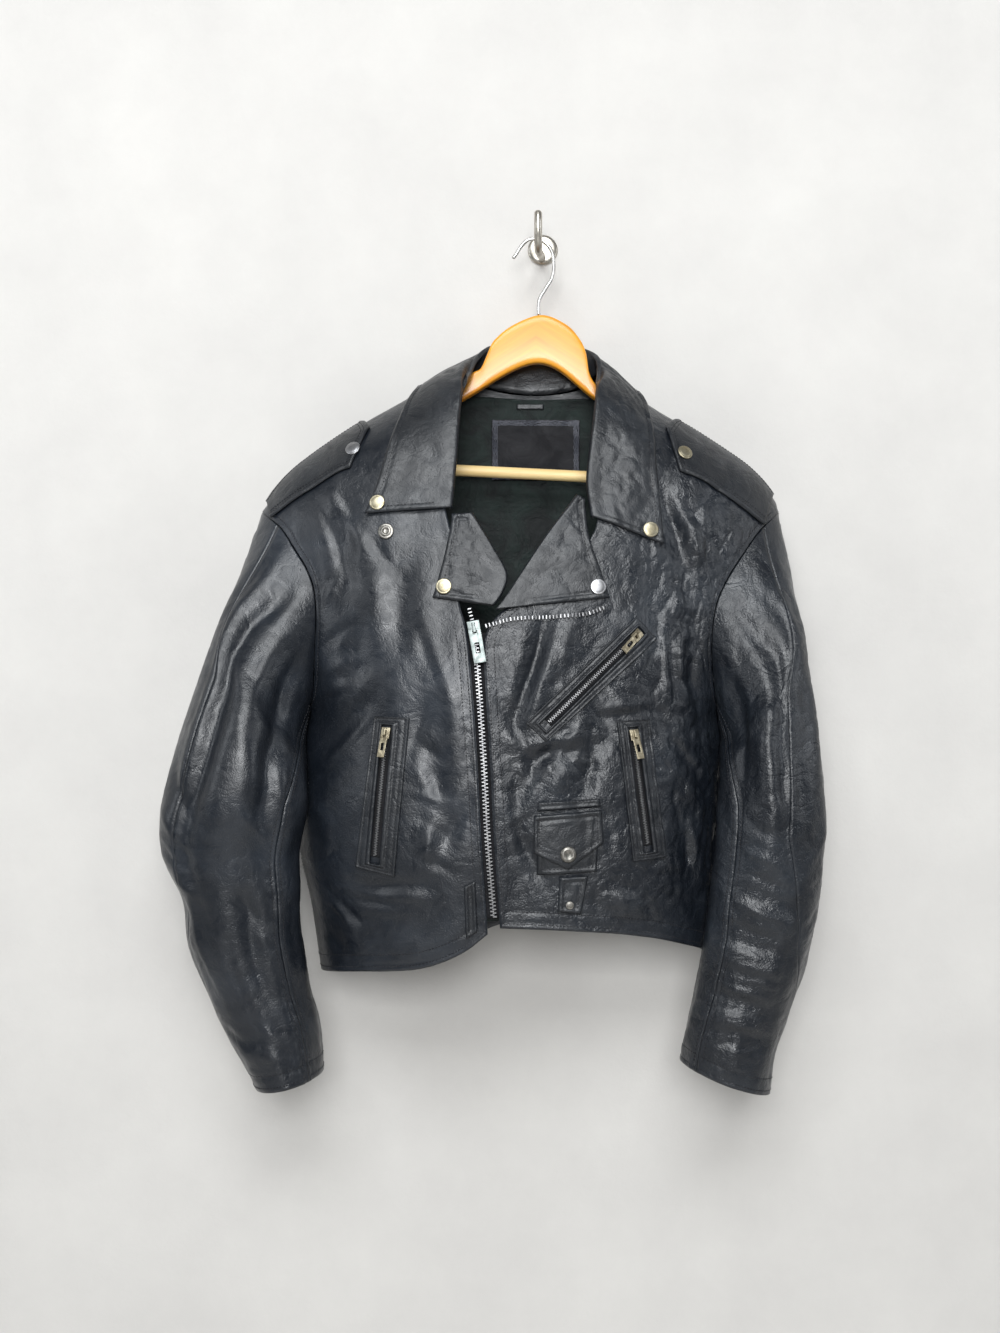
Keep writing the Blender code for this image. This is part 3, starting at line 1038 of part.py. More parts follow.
pieces["coin pouch"] = laid_sheet("coin_pocket", four_sided(COIN_POUCH, 6, 6), on_panels, TRIM_LEATHER, trim_leather)
pieces["coin band"] = laid_sheet("coin_pocket_band", four_sided(COIN_BAND, 6, 2), on_panels, TRIM_LEATHER, trim_leather)
flap = four_sided([COIN_FLAP[0], COIN_FLAP[1], COIN_FLAP[2], COIN_FLAP[4]], 6, 4)
for column in range(7):
    drop = (1 - abs(column / 6 - 0.5) * 2) * (COIN_FLAP[3][1] - (COIN_FLAP[2][1] + COIN_FLAP[4][1]) / 2)
    flap[-1, column, 1] += drop
    flap[-2, column, 1] += drop * 0.6
    flap[-3, column, 1] += drop * 0.25
on_pouch = Under([panels["left"], pieces["coin pouch"]])
pieces["coin flap"] = laid_sheet("coin_pocket_flap", flap, on_pouch, TRIM_LEATHER, trim_leather,
                                  0.0009, 2, 0.009)
for side, loop in (("left", LEFT_LOOP), ("right", RIGHT_LOOP)):
    pieces[side, "loop"] = laid_sheet(f"{side}_belt_loop", four_sided(loop, 2, 6), on_panels, TRIM_LEATHER, trim_leather)

# Zips


def free_strip(name, flat, under, lift, thickness, material):
    """A strip that follows the form where nothing lies under it."""
    points, normals = on_front(flat)
    if under is None:
        points = points + normals * lift
    else:
        points = under.lay(points, normals, lift)
    return wall(name, points + normals * thickness, points, material)


pieces["main tape"] = free_strip("main_zip_tape", ribbon(MAIN_ZIP, 0.0260, 3, 14), None, -0.0042, 0.0008, zip_cloth)
pieces["main chain"] = free_strip("main_zip_chain", ribbon(MAIN_ZIP, 0.0066, 2, 18), None, -0.0030, 0.0030, zip_metal)
pieces["right branch"] = free_strip("main_zip_right_branch", ribbon(UPPER_ZIP_RIGHT, 0.0050, 2, 4), None, -0.0030,
                                    0.0030, zip_metal)
on_front_left = Under([panels["left"]])
pieces["left branch"] = free_strip("main_zip_left_branch", ribbon(UPPER_ZIP_LEFT, 0.0052, 2, 18), on_front_left,
                                   0.0006, 0.0022, zip_metal)


def blocks(name, xs, ys, zs, full, place, material):
    """A body of box cells on shared cut lines."""
    full = set(full)
    count = (len(xs), len(ys), len(zs))

    def at(i, j, k):
        return (i * count[1] + j) * count[2] + k

    faces = []
    for i, j, k in sorted(full):
        a, b, c, d = at(i, j, k), at(i + 1, j, k), at(i + 1, j + 1, k), at(i, j + 1, k)
        e, f, g, h = at(i, j, k + 1), at(i + 1, j, k + 1), at(i + 1, j + 1, k + 1), at(i, j + 1, k + 1)
        sides = {
            (i, j, k - 1): (a, d, c, b),
            (i, j, k + 1): (e, f, g, h),
            (i, j - 1, k): (a, b, f, e),
            (i, j + 1, k): (c, d, h, g),
            (i - 1, j, k): (d, a, e, h),
            (i + 1, j, k): (b, c, g, f),
        }
        faces += [face for beyond, face in sides.items() if beyond not in full]
    used = sorted({i for face in faces for i in face})
    order = {old: new for new, old in enumerate(used)}
    points = []
    for index in used:
        i, rest = divmod(index, count[1] * count[2])
        j, k = divmod(rest, count[2])
        points.append(np.array(place @ Vector((xs[i], ys[j], zs[k]))))
    cut = []
    for face in faces:
        a, b, c, d = (order[i] for i in face)
        cut += [(a, b, c), (a, c, d)]
    return link(name, points, cut, material)


def make_slider(name, place, scale=1.0):
    """A zip slider: body, and the bridge that the pull tab hangs from."""
    xs = [v * scale for v in (-0.0046, -0.0011, 0.0011, 0.0046)]
    ys = [v * scale for v in (-0.0055, -0.0034, -0.0020, 0.0026, 0.0040, 0.0058)]
    zs = [v * scale for v in (0.0, 0.0026, 0.0045, 0.0058)]
    full = [(i, j, 0) for i in range(3) for j in range(5)]
    full += [(1, 1, 1), (1, 3, 1)]
    full += [(1, j, 2) for j in (1, 2, 3)]
    return blocks(name, xs, ys, zs, full, place, zip_metal)


def make_tab(name, place, width, length, scale=1.0, window=True):
    """The slider's pull tab, which turns on its top bar under the bridge."""
    half = width / 2
    xs = [-half, -0.0016 * scale, 0.0016 * scale, half]
    ys = [-length, -length * 0.72, -length * 0.42, -0.0048 * scale, -0.0017 * scale, -0.0004 * scale]
    zs = [0.0029 * scale, 0.0041 * scale]
    holes = {(1, 3)} | ({(1, 1)} if window else set())
    full = [(i, j, 0) for i in range(3) for j in range(5) if (i, j) not in holes]
    made = blocks(name, xs, ys, zs, full, place, zip_metal)
    pivot = place @ Vector((0.0, -0.00105 * scale, 0.0035 * scale))
    made.data.transform(Matrix.Translation(-pivot))
    made.location = pivot
    return made


def seat(point, normal, up, under, radius, lift):
    """A placement that rests on the faces round a point, tilted as they are."""
    side = unit(np.cross(up, normal))
    up = np.cross(normal, side)
    around = []
    for reach in (0.0, 0.5, 1.0):
        for a in np.radians(range(0, 360, 45) if reach else (0,)):
            shift = (math.cos(a) * side + math.sin(a) * up) * radius * reach
            height = under.height(point + shift, normal)
            if height is not None:
                around.append(point + shift + normal * height)
    if len(around) < 5:
        return frame_at(point + normal * lift, up, normal)
    around = np.array(around)
    middle = around.mean(axis=0)
    face = np.linalg.svd(around - middle)[2][2]
    face = face if np.dot(face, normal) > 0 else -face
    high = float(np.max((around - middle) @ face))
    centre = point + normal * np.dot(middle - point, face) / np.dot(normal, face)
    return frame_at(centre + face * (high + lift), up, face)


def zip_place(flat, toward, under, lift):
    """A placement on the front with local Y along the zip towards its slider's end."""
    flat, toward = np.array(flat, float), np.array(toward, float)
    point, normal = on_front(flat)
    ahead, _ = on_front(flat + unit(toward) * 0.01)
    if under is None:
        return frame_at(point + normal * lift, ahead - point, normal)
    return seat(point, normal, ahead - point, under, 0.0062, lift)


everything = [made for key, made in pieces.items()] + [panels["right"], panels["left"], panels["back"]]
over_all = Under(everything)
main_place = zip_place((-0.0692, -0.4290), (-0.02, 0.11), None, 0.0004)
pieces["main slider"] = make_slider("main_zip_slider", main_place, 1.35)
pieces["main tab"] = make_tab("main_zip_pull", main_place, 0.0124, 0.0350, 1.35)
slider_spots = {
    "chest": (CHEST_ZIP[0], np.array(CHEST_ZIP[0]) - np.array(CHEST_ZIP[1])),
    "right_hand": (RIGHT_HAND_ZIP[0], np.array(RIGHT_HAND_ZIP[0]) - np.array(RIGHT_HAND_ZIP[1])),
    "left_hand": (LEFT_HAND_ZIP[0], np.array(LEFT_HAND_ZIP[0]) - np.array(LEFT_HAND_ZIP[1])),
}
for name, (end, direction) in slider_spots.items():
    spot = np.array(end) - unit(direction) * 0.0085
    place = zip_place(spot, direction, Under([pieces[name, "chain"], panels["left"], panels["right"]]), 0.0004)
    pieces[name, "slider"] = make_slider(f"{name}_zip_slider", place)
    pieces[name, "tab"] = make_tab(f"{name}_zip_pull", place, 0.0074, 0.0250, 1.0)

# Snaps
SNAP_PROFILE = [(0.0, 0.0021), (0.0030, 0.0020), (0.0056, 0.0015), (0.0072, 0.0006), (0.0072, 0.0), (0.0, 0.0)]


def make_snap(name, flat, reach=1.0):
    """A press stud's cap on whatever leather lies uppermost there."""
    point, normal = on_front(np.array(flat))
    place = seat(point, normal, np.array([0.0, 0.0, 1.0]), over_all, SNAP_RADIUS, GAP)
    profile = [(radius * reach, height) for radius, height in SNAP_PROFILE]
    return turned(name, profile, 12, place, snap_metal)


SNAPS = {
    "right_strap_snap": (-0.1930, -0.2440),
    "left_strap_snap": (0.1440, -0.2490),
    "right_collar_snap": (-0.1660, -0.3020),
    "left_collar_snap": (0.1060, -0.3300),
    "right_lapel_snap": (-0.0985, -0.3870),
    "left_lapel_snap": (0.0525, -0.3870),
    "right_front_stud": (-0.1580, -0.3300),
    "coin_flap_snap": (0.0225, -0.6480),
}
for name, flat in SNAPS.items():
    pieces[name] = make_snap(name, flat)
pieces["loop rivet"] = make_snap("left_loop_rivet", (0.0240, -0.6980), 0.5)

# The sleeves' cuff zips


def sleeve_strip(name, side, angle, start, end, half_width, lift, thickness, rows, material):
    """A strip down a sleeve at an angle round it."""
    share = np.linspace(start, end, rows + 1)[:, None]
    sleeve = SLEEVES[side]
    shift = np.degrees(half_width / 0.048) * np.linspace(-1, 1, 3)[None]
    share, turn = np.repeat(share, 3, axis=1), angle + np.repeat(shift, rows + 1, axis=0)
    under = Under([panels[side, "top"], panels[side, "under"]])
    points, normals = sleeve.at(share, turn), sleeve.normal(share, turn)
    points = under.lay(points, normals, lift)
    return wall(name, points + normals * thickness, points, material)


CUFF_ZIP_ANGLE = -26.0
for side in ("right", "left"):
    strip = sleeve_strip(f"{side}_cuff_zip_chain", side, CUFF_ZIP_ANGLE, 0.80, 0.985, 0.0026, 0.0007, 0.0018, 10,
                         zip_metal)
    pieces[side, "cuff chain"] = strip
    sleeve = SLEEVES[side]
    spot, ahead = sleeve.at(0.972, CUFF_ZIP_ANGLE), sleeve.at(0.93, CUFF_ZIP_ANGLE)
    normal = sleeve.normal(0.972, CUFF_ZIP_ANGLE)
    base = Under([strip, panels[side, "top"], panels[side, "under"]])
    place = seat(spot, normal, ahead - spot, base, 0.0062, 0.0004)
    pieces[side, "cuff slider"] = make_slider(f"{side}_cuff_zip_slider", place)
    pieces[side, "cuff tab"] = make_tab(f"{side}_cuff_zip_pull", place, 0.0060, 0.0250, 1.0, False)

# The lining of the back, its label and loop
LINING_TOP = [(-0.1900, -0.2400), (-0.1300, -0.1980), (-0.0850, -0.1760), (-0.0100, -0.1780), (0.0650, -0.1790),
              (0.1000, -0.2000), (0.1500, -0.2380)]
LINING_LOW = [(-0.2000, -0.7450), (0.1450, -0.7350)]


def make_lining():
    columns, rows = 12, 9
    top = along(spline(LINING_TOP), np.linspace(0, 1, columns + 1))
    low = along(np.array(LINING_LOW), np.linspace(0, 1, columns + 1))
    v = np.linspace(0, 1, rows + 1)[:, None, None] ** 1.3
    flat = top[None] * (1 - v) + low[None] * v
    x, z = flat[..., 0], flat[..., 1]
    lift = fold_height(x, z, BACK_FOLDS)
    y = body_y(x, z, 1) - LEATHER - 0.0040 - np.abs(lift)
    sewn = Under([panels["back"]])
    for row in (0, rows):
        for column in range(columns + 1):
            start = Vector((x[row, column], -0.0560, z[row, column]))
            hit = sewn.tree.ray_cast(start, Vector((0.0, 1.0, 0.0)), 0.1)
            if hit[0] is not None:
                y[row, column] = hit[0].y - LINING - 0.0005
    points = np.stack([x, y, z], axis=-1)
    return wall("back_lining", points, points + [0.0, LINING, 0.0], lining_cloth), points


pieces["lining"], lining_grid = make_lining()


def inside_sheet(name, corners, columns, rows, lift, thickness, material):
    """A piece sewn on the lining's inner face."""
    flat = four_sided(corners, columns, rows)
    under = Under([pieces["lining"]])
    points = np.stack([flat[..., 0], body_y(flat[..., 0], flat[..., 1], 1), flat[..., 1]], axis=-1)
    normals = np.broadcast_to(np.array([0.0, -1.0, 0.0]), points.shape)
    points = under.lay(points, normals, lift)
    return wall(name, points + normals * thickness, points, material)


pieces["label"] = inside_sheet("neck_label", LABEL, 6, 4, 0.0005, 0.0008, label_cloth)
LOCKER_LOOP = [(-0.0260, -0.1835), (0.0030, -0.1835), (0.0030, -0.1890), (-0.0260, -0.1890)]
pieces["locker loop"] = inside_sheet("hanging_loop", LOCKER_LOOP, 4, 1, 0.0006, 0.0012, trim_leather)

# The hanger and the wall hook


def make_hanger():
    count = 30
    x = np.linspace(-0.2290, 0.1890, count + 1)
    top_line, low_line = spline(HANGER_TOP), spline(HANGER_BOTTOM)
    top = np.interp(x, top_line[:, 0], top_line[:, 1])
    low = np.interp(x, low_line[:, 0], low_line[:, 1])
    shares = np.array([0.0, 0.06, 0.5, 0.94, 1.0])
    halves = np.array([0.72, 1.0, 1.0, 1.0, 0.62]) * HANGER_THICK / 2
    z = low[None] * (1 - shares[:, None]) + top[None] * shares[:, None]
    xs = np.repeat(x[None], len(shares), axis=0)
    front = np.stack([xs, HANGER_Y - halves[:, None] + 0 * xs, z], axis=-1)
    back = np.stack([xs, HANGER_Y + halves[:, None] + 0 * xs, z], axis=-1)
    return wall("hanger_arms", front, back, hanger_wood)


pieces["hanger"] = make_hanger()
bar_ends = [(x, HANGER_Y, z) for x, z in BAR_ENDS]
pieces["bar"] = tube("hanger_bar", bar_ends, BAR_RADIUS, 16, bar_wood, 4)
run = unit(np.array(bar_ends[1]) - np.array(bar_ends[0]))
socket_ends = [tuple(np.array(bar_ends[0]) - run * GAP), tuple(np.array(bar_ends[1]) + run * GAP)]
socket = tube("bar_socket", socket_ends, BAR_RADIUS + GAP, 16, bar_wood, 4)
socket.hide_render = True
socket.display_type = "WIRE"
drill = pieces["hanger"].modifiers.new("bar socket", "BOOLEAN")
drill.operation = "DIFFERENCE"
drill.solver = "EXACT"
drill.object = socket
pieces["wire"] = tube("hanger_hook", [(x, HANGER_Y, z) for x, z in WIRE], WIRE_RADIUS, 8, wire_steel, 3)

PLATE_PROFILE = [(0.0, 0.0040), (0.0120, 0.0040), (0.0160, 0.0028), (0.0165, 0.0), (0.0, 0.0)]
plate_place = frame_at((0.0030, 0.0, -0.0080), (0.0, 0.0, 1.0), (0.0, -1.0, 0.0))
pieces["hook plate"] = turned("wall_hook_plate", PLATE_PROFILE, 28, plate_place, hook_nickel)
HOOK_ARM = [(0.0020, -0.0052, -0.0180), (0.0005, -0.0240, -0.0205), (-0.0015, -0.0430, -0.0240),
            (-0.0035, -0.0565, -0.0222), (-0.0038, -0.0665, -0.0120), (-0.0038, -0.0695, 0.0030),
            (-0.0038, -0.0665, 0.0150)]
pieces["hook arm"] = tube("wall_hook_arm", HOOK_ARM, 0.0042, 10, hook_nickel, 3)
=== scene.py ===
# %% [markdown]
# # A worn black leather motorcycle jacket on its hanger
# This file dresses the plain solids of the jacket. The solids say how big every piece is and where it
# sits. Here each piece of cloth is made again as a fine thin shell on the same form, with the creases,
# the sewing, the zip teeth and the finishes that the real jacket shows.
# Lengths are metres, +Z is up and the front of the jacket faces -Y. Right and left are the wearer's.

import math

import bmesh
import bpy
import numpy as np
from mathutils import Matrix, Vector, noise
from mathutils.bvhtree import BVHTree


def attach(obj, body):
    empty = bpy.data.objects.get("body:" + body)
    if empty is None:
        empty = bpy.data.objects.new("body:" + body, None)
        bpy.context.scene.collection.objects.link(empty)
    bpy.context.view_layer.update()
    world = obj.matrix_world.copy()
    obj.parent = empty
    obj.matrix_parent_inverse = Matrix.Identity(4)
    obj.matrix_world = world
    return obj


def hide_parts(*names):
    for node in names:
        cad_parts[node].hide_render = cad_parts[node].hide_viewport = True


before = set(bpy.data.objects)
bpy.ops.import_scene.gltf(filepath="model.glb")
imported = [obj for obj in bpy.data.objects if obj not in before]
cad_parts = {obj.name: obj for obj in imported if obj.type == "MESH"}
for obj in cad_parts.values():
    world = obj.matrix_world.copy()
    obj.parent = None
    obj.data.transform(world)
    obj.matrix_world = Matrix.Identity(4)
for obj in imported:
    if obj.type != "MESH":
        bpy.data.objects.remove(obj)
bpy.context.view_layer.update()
scene = bpy.context.scene

# %% [markdown]
# ## The camera
# The photograph was taken square on, a little over a metre and a half away, so the camera looks level
# along +Y. It comes first, because the framing decides how fine the details have to be.

# %% Camera
camera_data = bpy.data.cameras.new("camera")
camera_data.lens = 39.28
camera_data.sensor_width = 36.0
camera = bpy.data.objects.new("camera", camera_data)
camera.location = (-0.044, -1.6, -0.46585)
camera.rotation_euler = (math.pi / 2, 0.0, 0.0)
scene.collection.objects.link(camera)
scene.camera = camera
print("camera at", tuple(camera.location))

# %% [markdown]
# ## Sizes of the garment
# A jacket is cut from flat panels, so the form is kept as a few measured lines: how deep and how wide
# the body is at each height, the shoulder line, and the edges of each panel as seen from the front.
# The solids were made from the same lines, so a shell made from them lands exactly on its solid.

# %% Body sizes
LEATHER = 0.0020
LINING = 0.0010
SEAM_INSET = 0.00025
ARMHOLE_INSET = 0.0011
ARMPIT_CLEAR = 0.0020
MID_Y = [(-0.80, -0.076), (-0.60, -0.073), (-0.45, -0.067), (-0.30, -0.057), (-0.20, -0.052), (-0.08, -0.050)]
FRONT_DEPTH = [(-0.80, 0.104), (-0.65, 0.112), (-0.50, 0.110), (-0.35, 0.098), (-0.25, 0.080), (-0.10, 0.060)]
BACK_DEPTH = [(-0.80, 0.046), (-0.60, 0.050), (-0.45, 0.044), (-0.30, 0.036), (-0.18, 0.026), (-0.08, 0.020)]
RIGHT_EDGE = [(-0.80, -0.228), (-0.711, -0.241), (-0.69, -0.246), (-0.66, -0.253), (-0.60, -0.255),
              (-0.555, -0.248), (-0.514, -0.240), (-0.45, -0.262), (-0.40, -0.280), (-0.30, -0.312),
              (-0.10, -0.350)]
LEFT_EDGE = [(-0.80, 0.170), (-0.711, 0.183), (-0.66, 0.189), (-0.60, 0.190), (-0.555, 0.187),
             (-0.514, 0.180), (-0.45, 0.206), (-0.40, 0.226), (-0.30, 0.262), (-0.10, 0.300)]
BODY_ROUNDNESS = 2.4
SHOULDER_ROUND_FRONT = 0.095
SHOULDER_ROUND_BACK = 0.055
SHOULDER_ROUNDNESS = 2.2
SHOULDERS = [(-0.320, -0.325), (-0.296, -0.302), (-0.279, -0.279), (-0.263, -0.261), (-0.243, -0.245),
             (-0.216, -0.226), (-0.186, -0.207), (-0.145, -0.184), (-0.088, -0.151), (-0.055, -0.136),
             (0.030, -0.138), (0.066, -0.155), (0.115, -0.190), (0.160, -0.217), (0.207, -0.248),
             (0.230, -0.268), (0.246, -0.289), (0.2515, -0.302), (0.275, -0.328)]
RIGHT_NECK_X, LEFT_NECK_X = -0.088, 0.066
RIGHT_TIP_X, LEFT_TIP_X = -0.296, 0.2515
NECK_DIP = 0.020
print("shoulder points:", len(SHOULDERS))

# %% Panel edges, from the hem up
RIGHT_HEM = [(-0.0560, -0.727), (-0.076, -0.743), (-0.099, -0.755), (-0.124, -0.763), (-0.154, -0.767),
             (-0.183, -0.770), (-0.212, -0.775), (-0.2305, -0.780)]
LEFT_HEM = [(-0.0440, -0.721), (0.006, -0.723), (0.060, -0.727), (0.095, -0.732), (0.121, -0.738),
            (0.155, -0.750), (0.1745, -0.762)]
BACK_HEM = [(-0.2305, -0.780), (-0.1900, -0.789), (-0.1500, -0.792), (-0.1130, -0.781), (-0.0800, -0.762),
            (-0.0500, -0.746), (-0.0150, -0.740), (0.0300, -0.741), (0.0800, -0.745), (0.1250, -0.751),
            (0.1745, -0.762)]
RIGHT_FRONT_EDGE = [(-0.0560, -0.727), (-0.0620, -0.635), (-0.0660, -0.557), (-0.0720, -0.475),
                    (-0.0770, -0.430), (-0.0845, -0.400), (-0.0880, -0.350), (-0.0950, -0.322),
                    (-0.0985, -0.306), (-0.0965, -0.277), (-0.0935, -0.245), (-0.0910, -0.214),
                    (-0.0893, -0.185), (-0.0880, -0.151)]
LEFT_FRONT_EDGE = [(-0.0440, -0.721), (-0.0500, -0.635), (-0.0540, -0.557), (-0.0590, -0.475),
                   (-0.0600, -0.441), (-0.0500, -0.420), (-0.0330, -0.405), (-0.0050, -0.388),
                   (0.0250, -0.364), (0.0460, -0.338), (0.0535, -0.316), (0.0515, -0.283),
                   (0.0535, -0.250), (0.0570, -0.216), (0.0620, -0.180), (0.0660, -0.155)]
RIGHT_SIDE = [(-0.2305, -0.780), (-0.241, -0.711), (-0.253, -0.660), (-0.255, -0.600), (-0.248, -0.555),
              (-0.240, -0.514)]
LEFT_SIDE = [(0.1745, -0.762), (0.183, -0.711), (0.189, -0.660), (0.190, -0.600), (0.187, -0.555),
             (0.180, -0.514)]
RIGHT_ARMHOLE_FRONT = [(-0.240, -0.514), (-0.2345, -0.490), (-0.2325, -0.455), (-0.2300, -0.415),
                       (-0.2320, -0.388), (-0.2400, -0.366), (-0.2530, -0.346), (-0.2700, -0.322),
                       (-0.2960, -0.302)]
LEFT_ARMHOLE_FRONT = [(0.180, -0.514), (0.1740, -0.488), (0.1700, -0.445), (0.1740, -0.405),
                      (0.1870, -0.376), (0.2060, -0.348), (0.2250, -0.324), (0.2515, -0.302)]
RIGHT_ARMHOLE_BACK = [(-0.240, -0.514), (-0.2360, -0.480), (-0.2360, -0.430), (-0.2430, -0.385),
                      (-0.2570, -0.345), (-0.2760, -0.318), (-0.2960, -0.302)]
LEFT_ARMHOLE_BACK = [(0.180, -0.514), (0.1760, -0.480), (0.1760, -0.430), (0.1860, -0.385),
                     (0.2050, -0.345), (0.2290, -0.318), (0.2515, -0.302)]
ARMPIT_SHARE = 0.52
print("panel edges ready")

# %% [markdown]
# ## The large folds
# Leather hangs in a few big soft folds. Each one is a line with a width and a height: above zero is a
# ridge, below zero a trough. These are the same folds that the solids have. A row lists the x and z of
# both ends, the half width and the height, in tenths of a millimetre.

# %% Large folds
def fold_lines(rows):
    """Rows in tenths of a millimetre, as two points and two sizes in metres."""
    metres = [[size / 10000 for size in row] for row in rows]
    return [((x0, z0), (x1, z1), width, height) for x0, z0, x1, z1, width, height in metres]


RIGHT_FRONT_FOLDS = fold_lines([
    (-2030, -2850, -1980, -4050, 140, -50), (-1760, -3300, -1800, -4400, 170, 40),
    (-1500, -3650, -1350, -4700, 180, -30), (-2150, -5000, -1720, -4780, 120, 35),
    (-2320, -5600, -1850, -5200, 110, -30), (-1120, -5600, -940, -6400, 140, -40),
    (-1200, -6600, -1000, -5900, 120, 30), (-2100, -7000, -1500, -6880, 140, -40),
    (-2180, -7350, -1980, -7550, 100, -30),
])
LEFT_FRONT_FOLDS = fold_lines([
    (10, -4250, -300, -5220, 100, -55), (170, -4250, -140, -5150, 110, 45),
    (-460, -4900, -220, -5450, 90, -45), (-150, -5600, 450, -5450, 100, -40),
    (300, -6000, 580, -5350, 100, -40), (-60, -6000, 300, -5550, 90, 35),
    (1180, -2850, 1500, -3900, 110, -60), (1500, -3900, 1580, -5000, 110, -45),
    (1380, -4000, 1280, -5600, 110, 40), (1080, -3500, 1120, -4550, 120, -35),
    (1650, -3150, 1500, -3600, 100, 45), (-300, -6250, 0, -6850, 90, -45),
    (1320, -5900, 1500, -6900, 120, -40), (600, -6900, 1100, -7000, 130, 35),
])
BACK_FOLDS = fold_lines([
    (-1700, -3000, -1300, -4300, 220, 35), (1250, -3000, 850, -4300, 220, 35),
    (-1200, -4700, -1400, -6400, 240, -40), (600, -4800, 850, -6500, 240, -40),
    (-300, -5600, -250, -7400, 260, 35),
])
print("large folds:", len(RIGHT_FRONT_FOLDS) + len(LEFT_FRONT_FOLDS) + len(BACK_FOLDS))

# %% [markdown]
# A sleeve is described by ten rings from the top to the cuff: x and z of the outer and of the inner
# edge, the middle depth and half the depth. Its folds are given on the sleeve itself: how many
# thousandths of the way down and at which angle both ends lie, both half widths in the same two
# measures, and the height in tenths of a millimetre.

# %% Sleeve rings and folds
def sleeve_lines(rows):
    """Rows of a sleeve's folds as two (share, angle) points, two half widths and a height in metres."""
    return [((down0 / 1000, turn0), (down1 / 1000, turn1), along_half / 1000, round_half, height / 10000)
            for down0, turn0, down1, turn1, along_half, round_half, height in rows]


RIGHT_SLEEVE = fold_lines([
    (-3235, -3950, -2430, -5380, -950, 600), (-3435, -4600, -2400, -5630, -1160, 590),
    (-3625, -5210, -2380, -5880, -1290, 580), (-3810, -5940, -2410, -6220, -1350, 560),
    (-3840, -6500, -2465, -6560, -1350, 520), (-3655, -7010, -2450, -6960, -1350, 500),
    (-3555, -7490, -2440, -7370, -1340, 490), (-3325, -8060, -2370, -7870, -1320, 480),
    (-3130, -8440, -2280, -8230, -1300, 490), (-2900, -8880, -2225, -8730, -1300, 510),
])
LEFT_SLEEVE = fold_lines([
    (2625, -4000, 1830, -5380, -980, 600), (2685, -4600, 1790, -5620, -1180, 580),
    (2740, -5210, 1765, -5900, -1300, 560), (2805, -5900, 1740, -6200, -1380, 540),
    (2805, -6500, 1705, -6570, -1400, 510), (2755, -7030, 1655, -6950, -1400, 490),
    (2640, -7550, 1605, -7450, -1400, 480), (2500, -8000, 1525, -7860, -1380, 470),
    (2340, -8470, 1413, -8350, -1360, 460), (2275, -8930, 1375, -8620, -1350, 450),
])
RIGHT_OUTER_SEAM = [(0.0, 22.0), (0.25, 48.0), (0.5, 46.0), (0.75, 20.0), (1.0, -25.0)]
LEFT_OUTER_SEAM = [(0.0, 22.0), (0.25, 70.0), (0.5, 80.0), (0.72, 50.0), (1.0, -25.0)]
INNER_SEAM = [(0.0, 172.0), (0.4, 140.0), (0.7, 135.0), (1.0, 138.0)]
RIGHT_SLEEVE_FOLDS = sleeve_lines([
    (100, 62, 520, 60, 50, 13, -50), (100, 118, 600, 128, 50, 11, -50), (180, 90, 550, 92, 60, 15, 40),
    (500, 108, 860, 104, 50, 12, -50), (420, 40, 600, 62, 40, 12, -45), (460, 20, 500, 58, 30, 10, 40),
    (620, 10, 660, 42, 30, 10, -35), (900, 40, 940, 96, 20, 14, 30), (150, 300, 750, 290, 60, 18, -45),
])
LEFT_SLEEVE_FOLDS = sleeve_lines([
    (100, 100, 500, 92, 50, 12, 45), (100, 66, 550, 60, 50, 13, -50), (120, 135, 600, 138, 50, 10, -40),
    (220, 30, 550, 28, 50, 12, 35), (600, 120, 640, 60, 22, 12, -35), (700, 130, 730, 60, 20, 12, -40),
    (750, 122, 780, 66, 18, 12, 30), (820, 130, 840, 58, 18, 12, -40), (890, 120, 900, 52, 18, 12, -35),
    (150, 300, 750, 290, 60, 18, -45),
])
print("sleeve folds:", len(RIGHT_SLEEVE_FOLDS) + len(LEFT_SLEEVE_FOLDS))
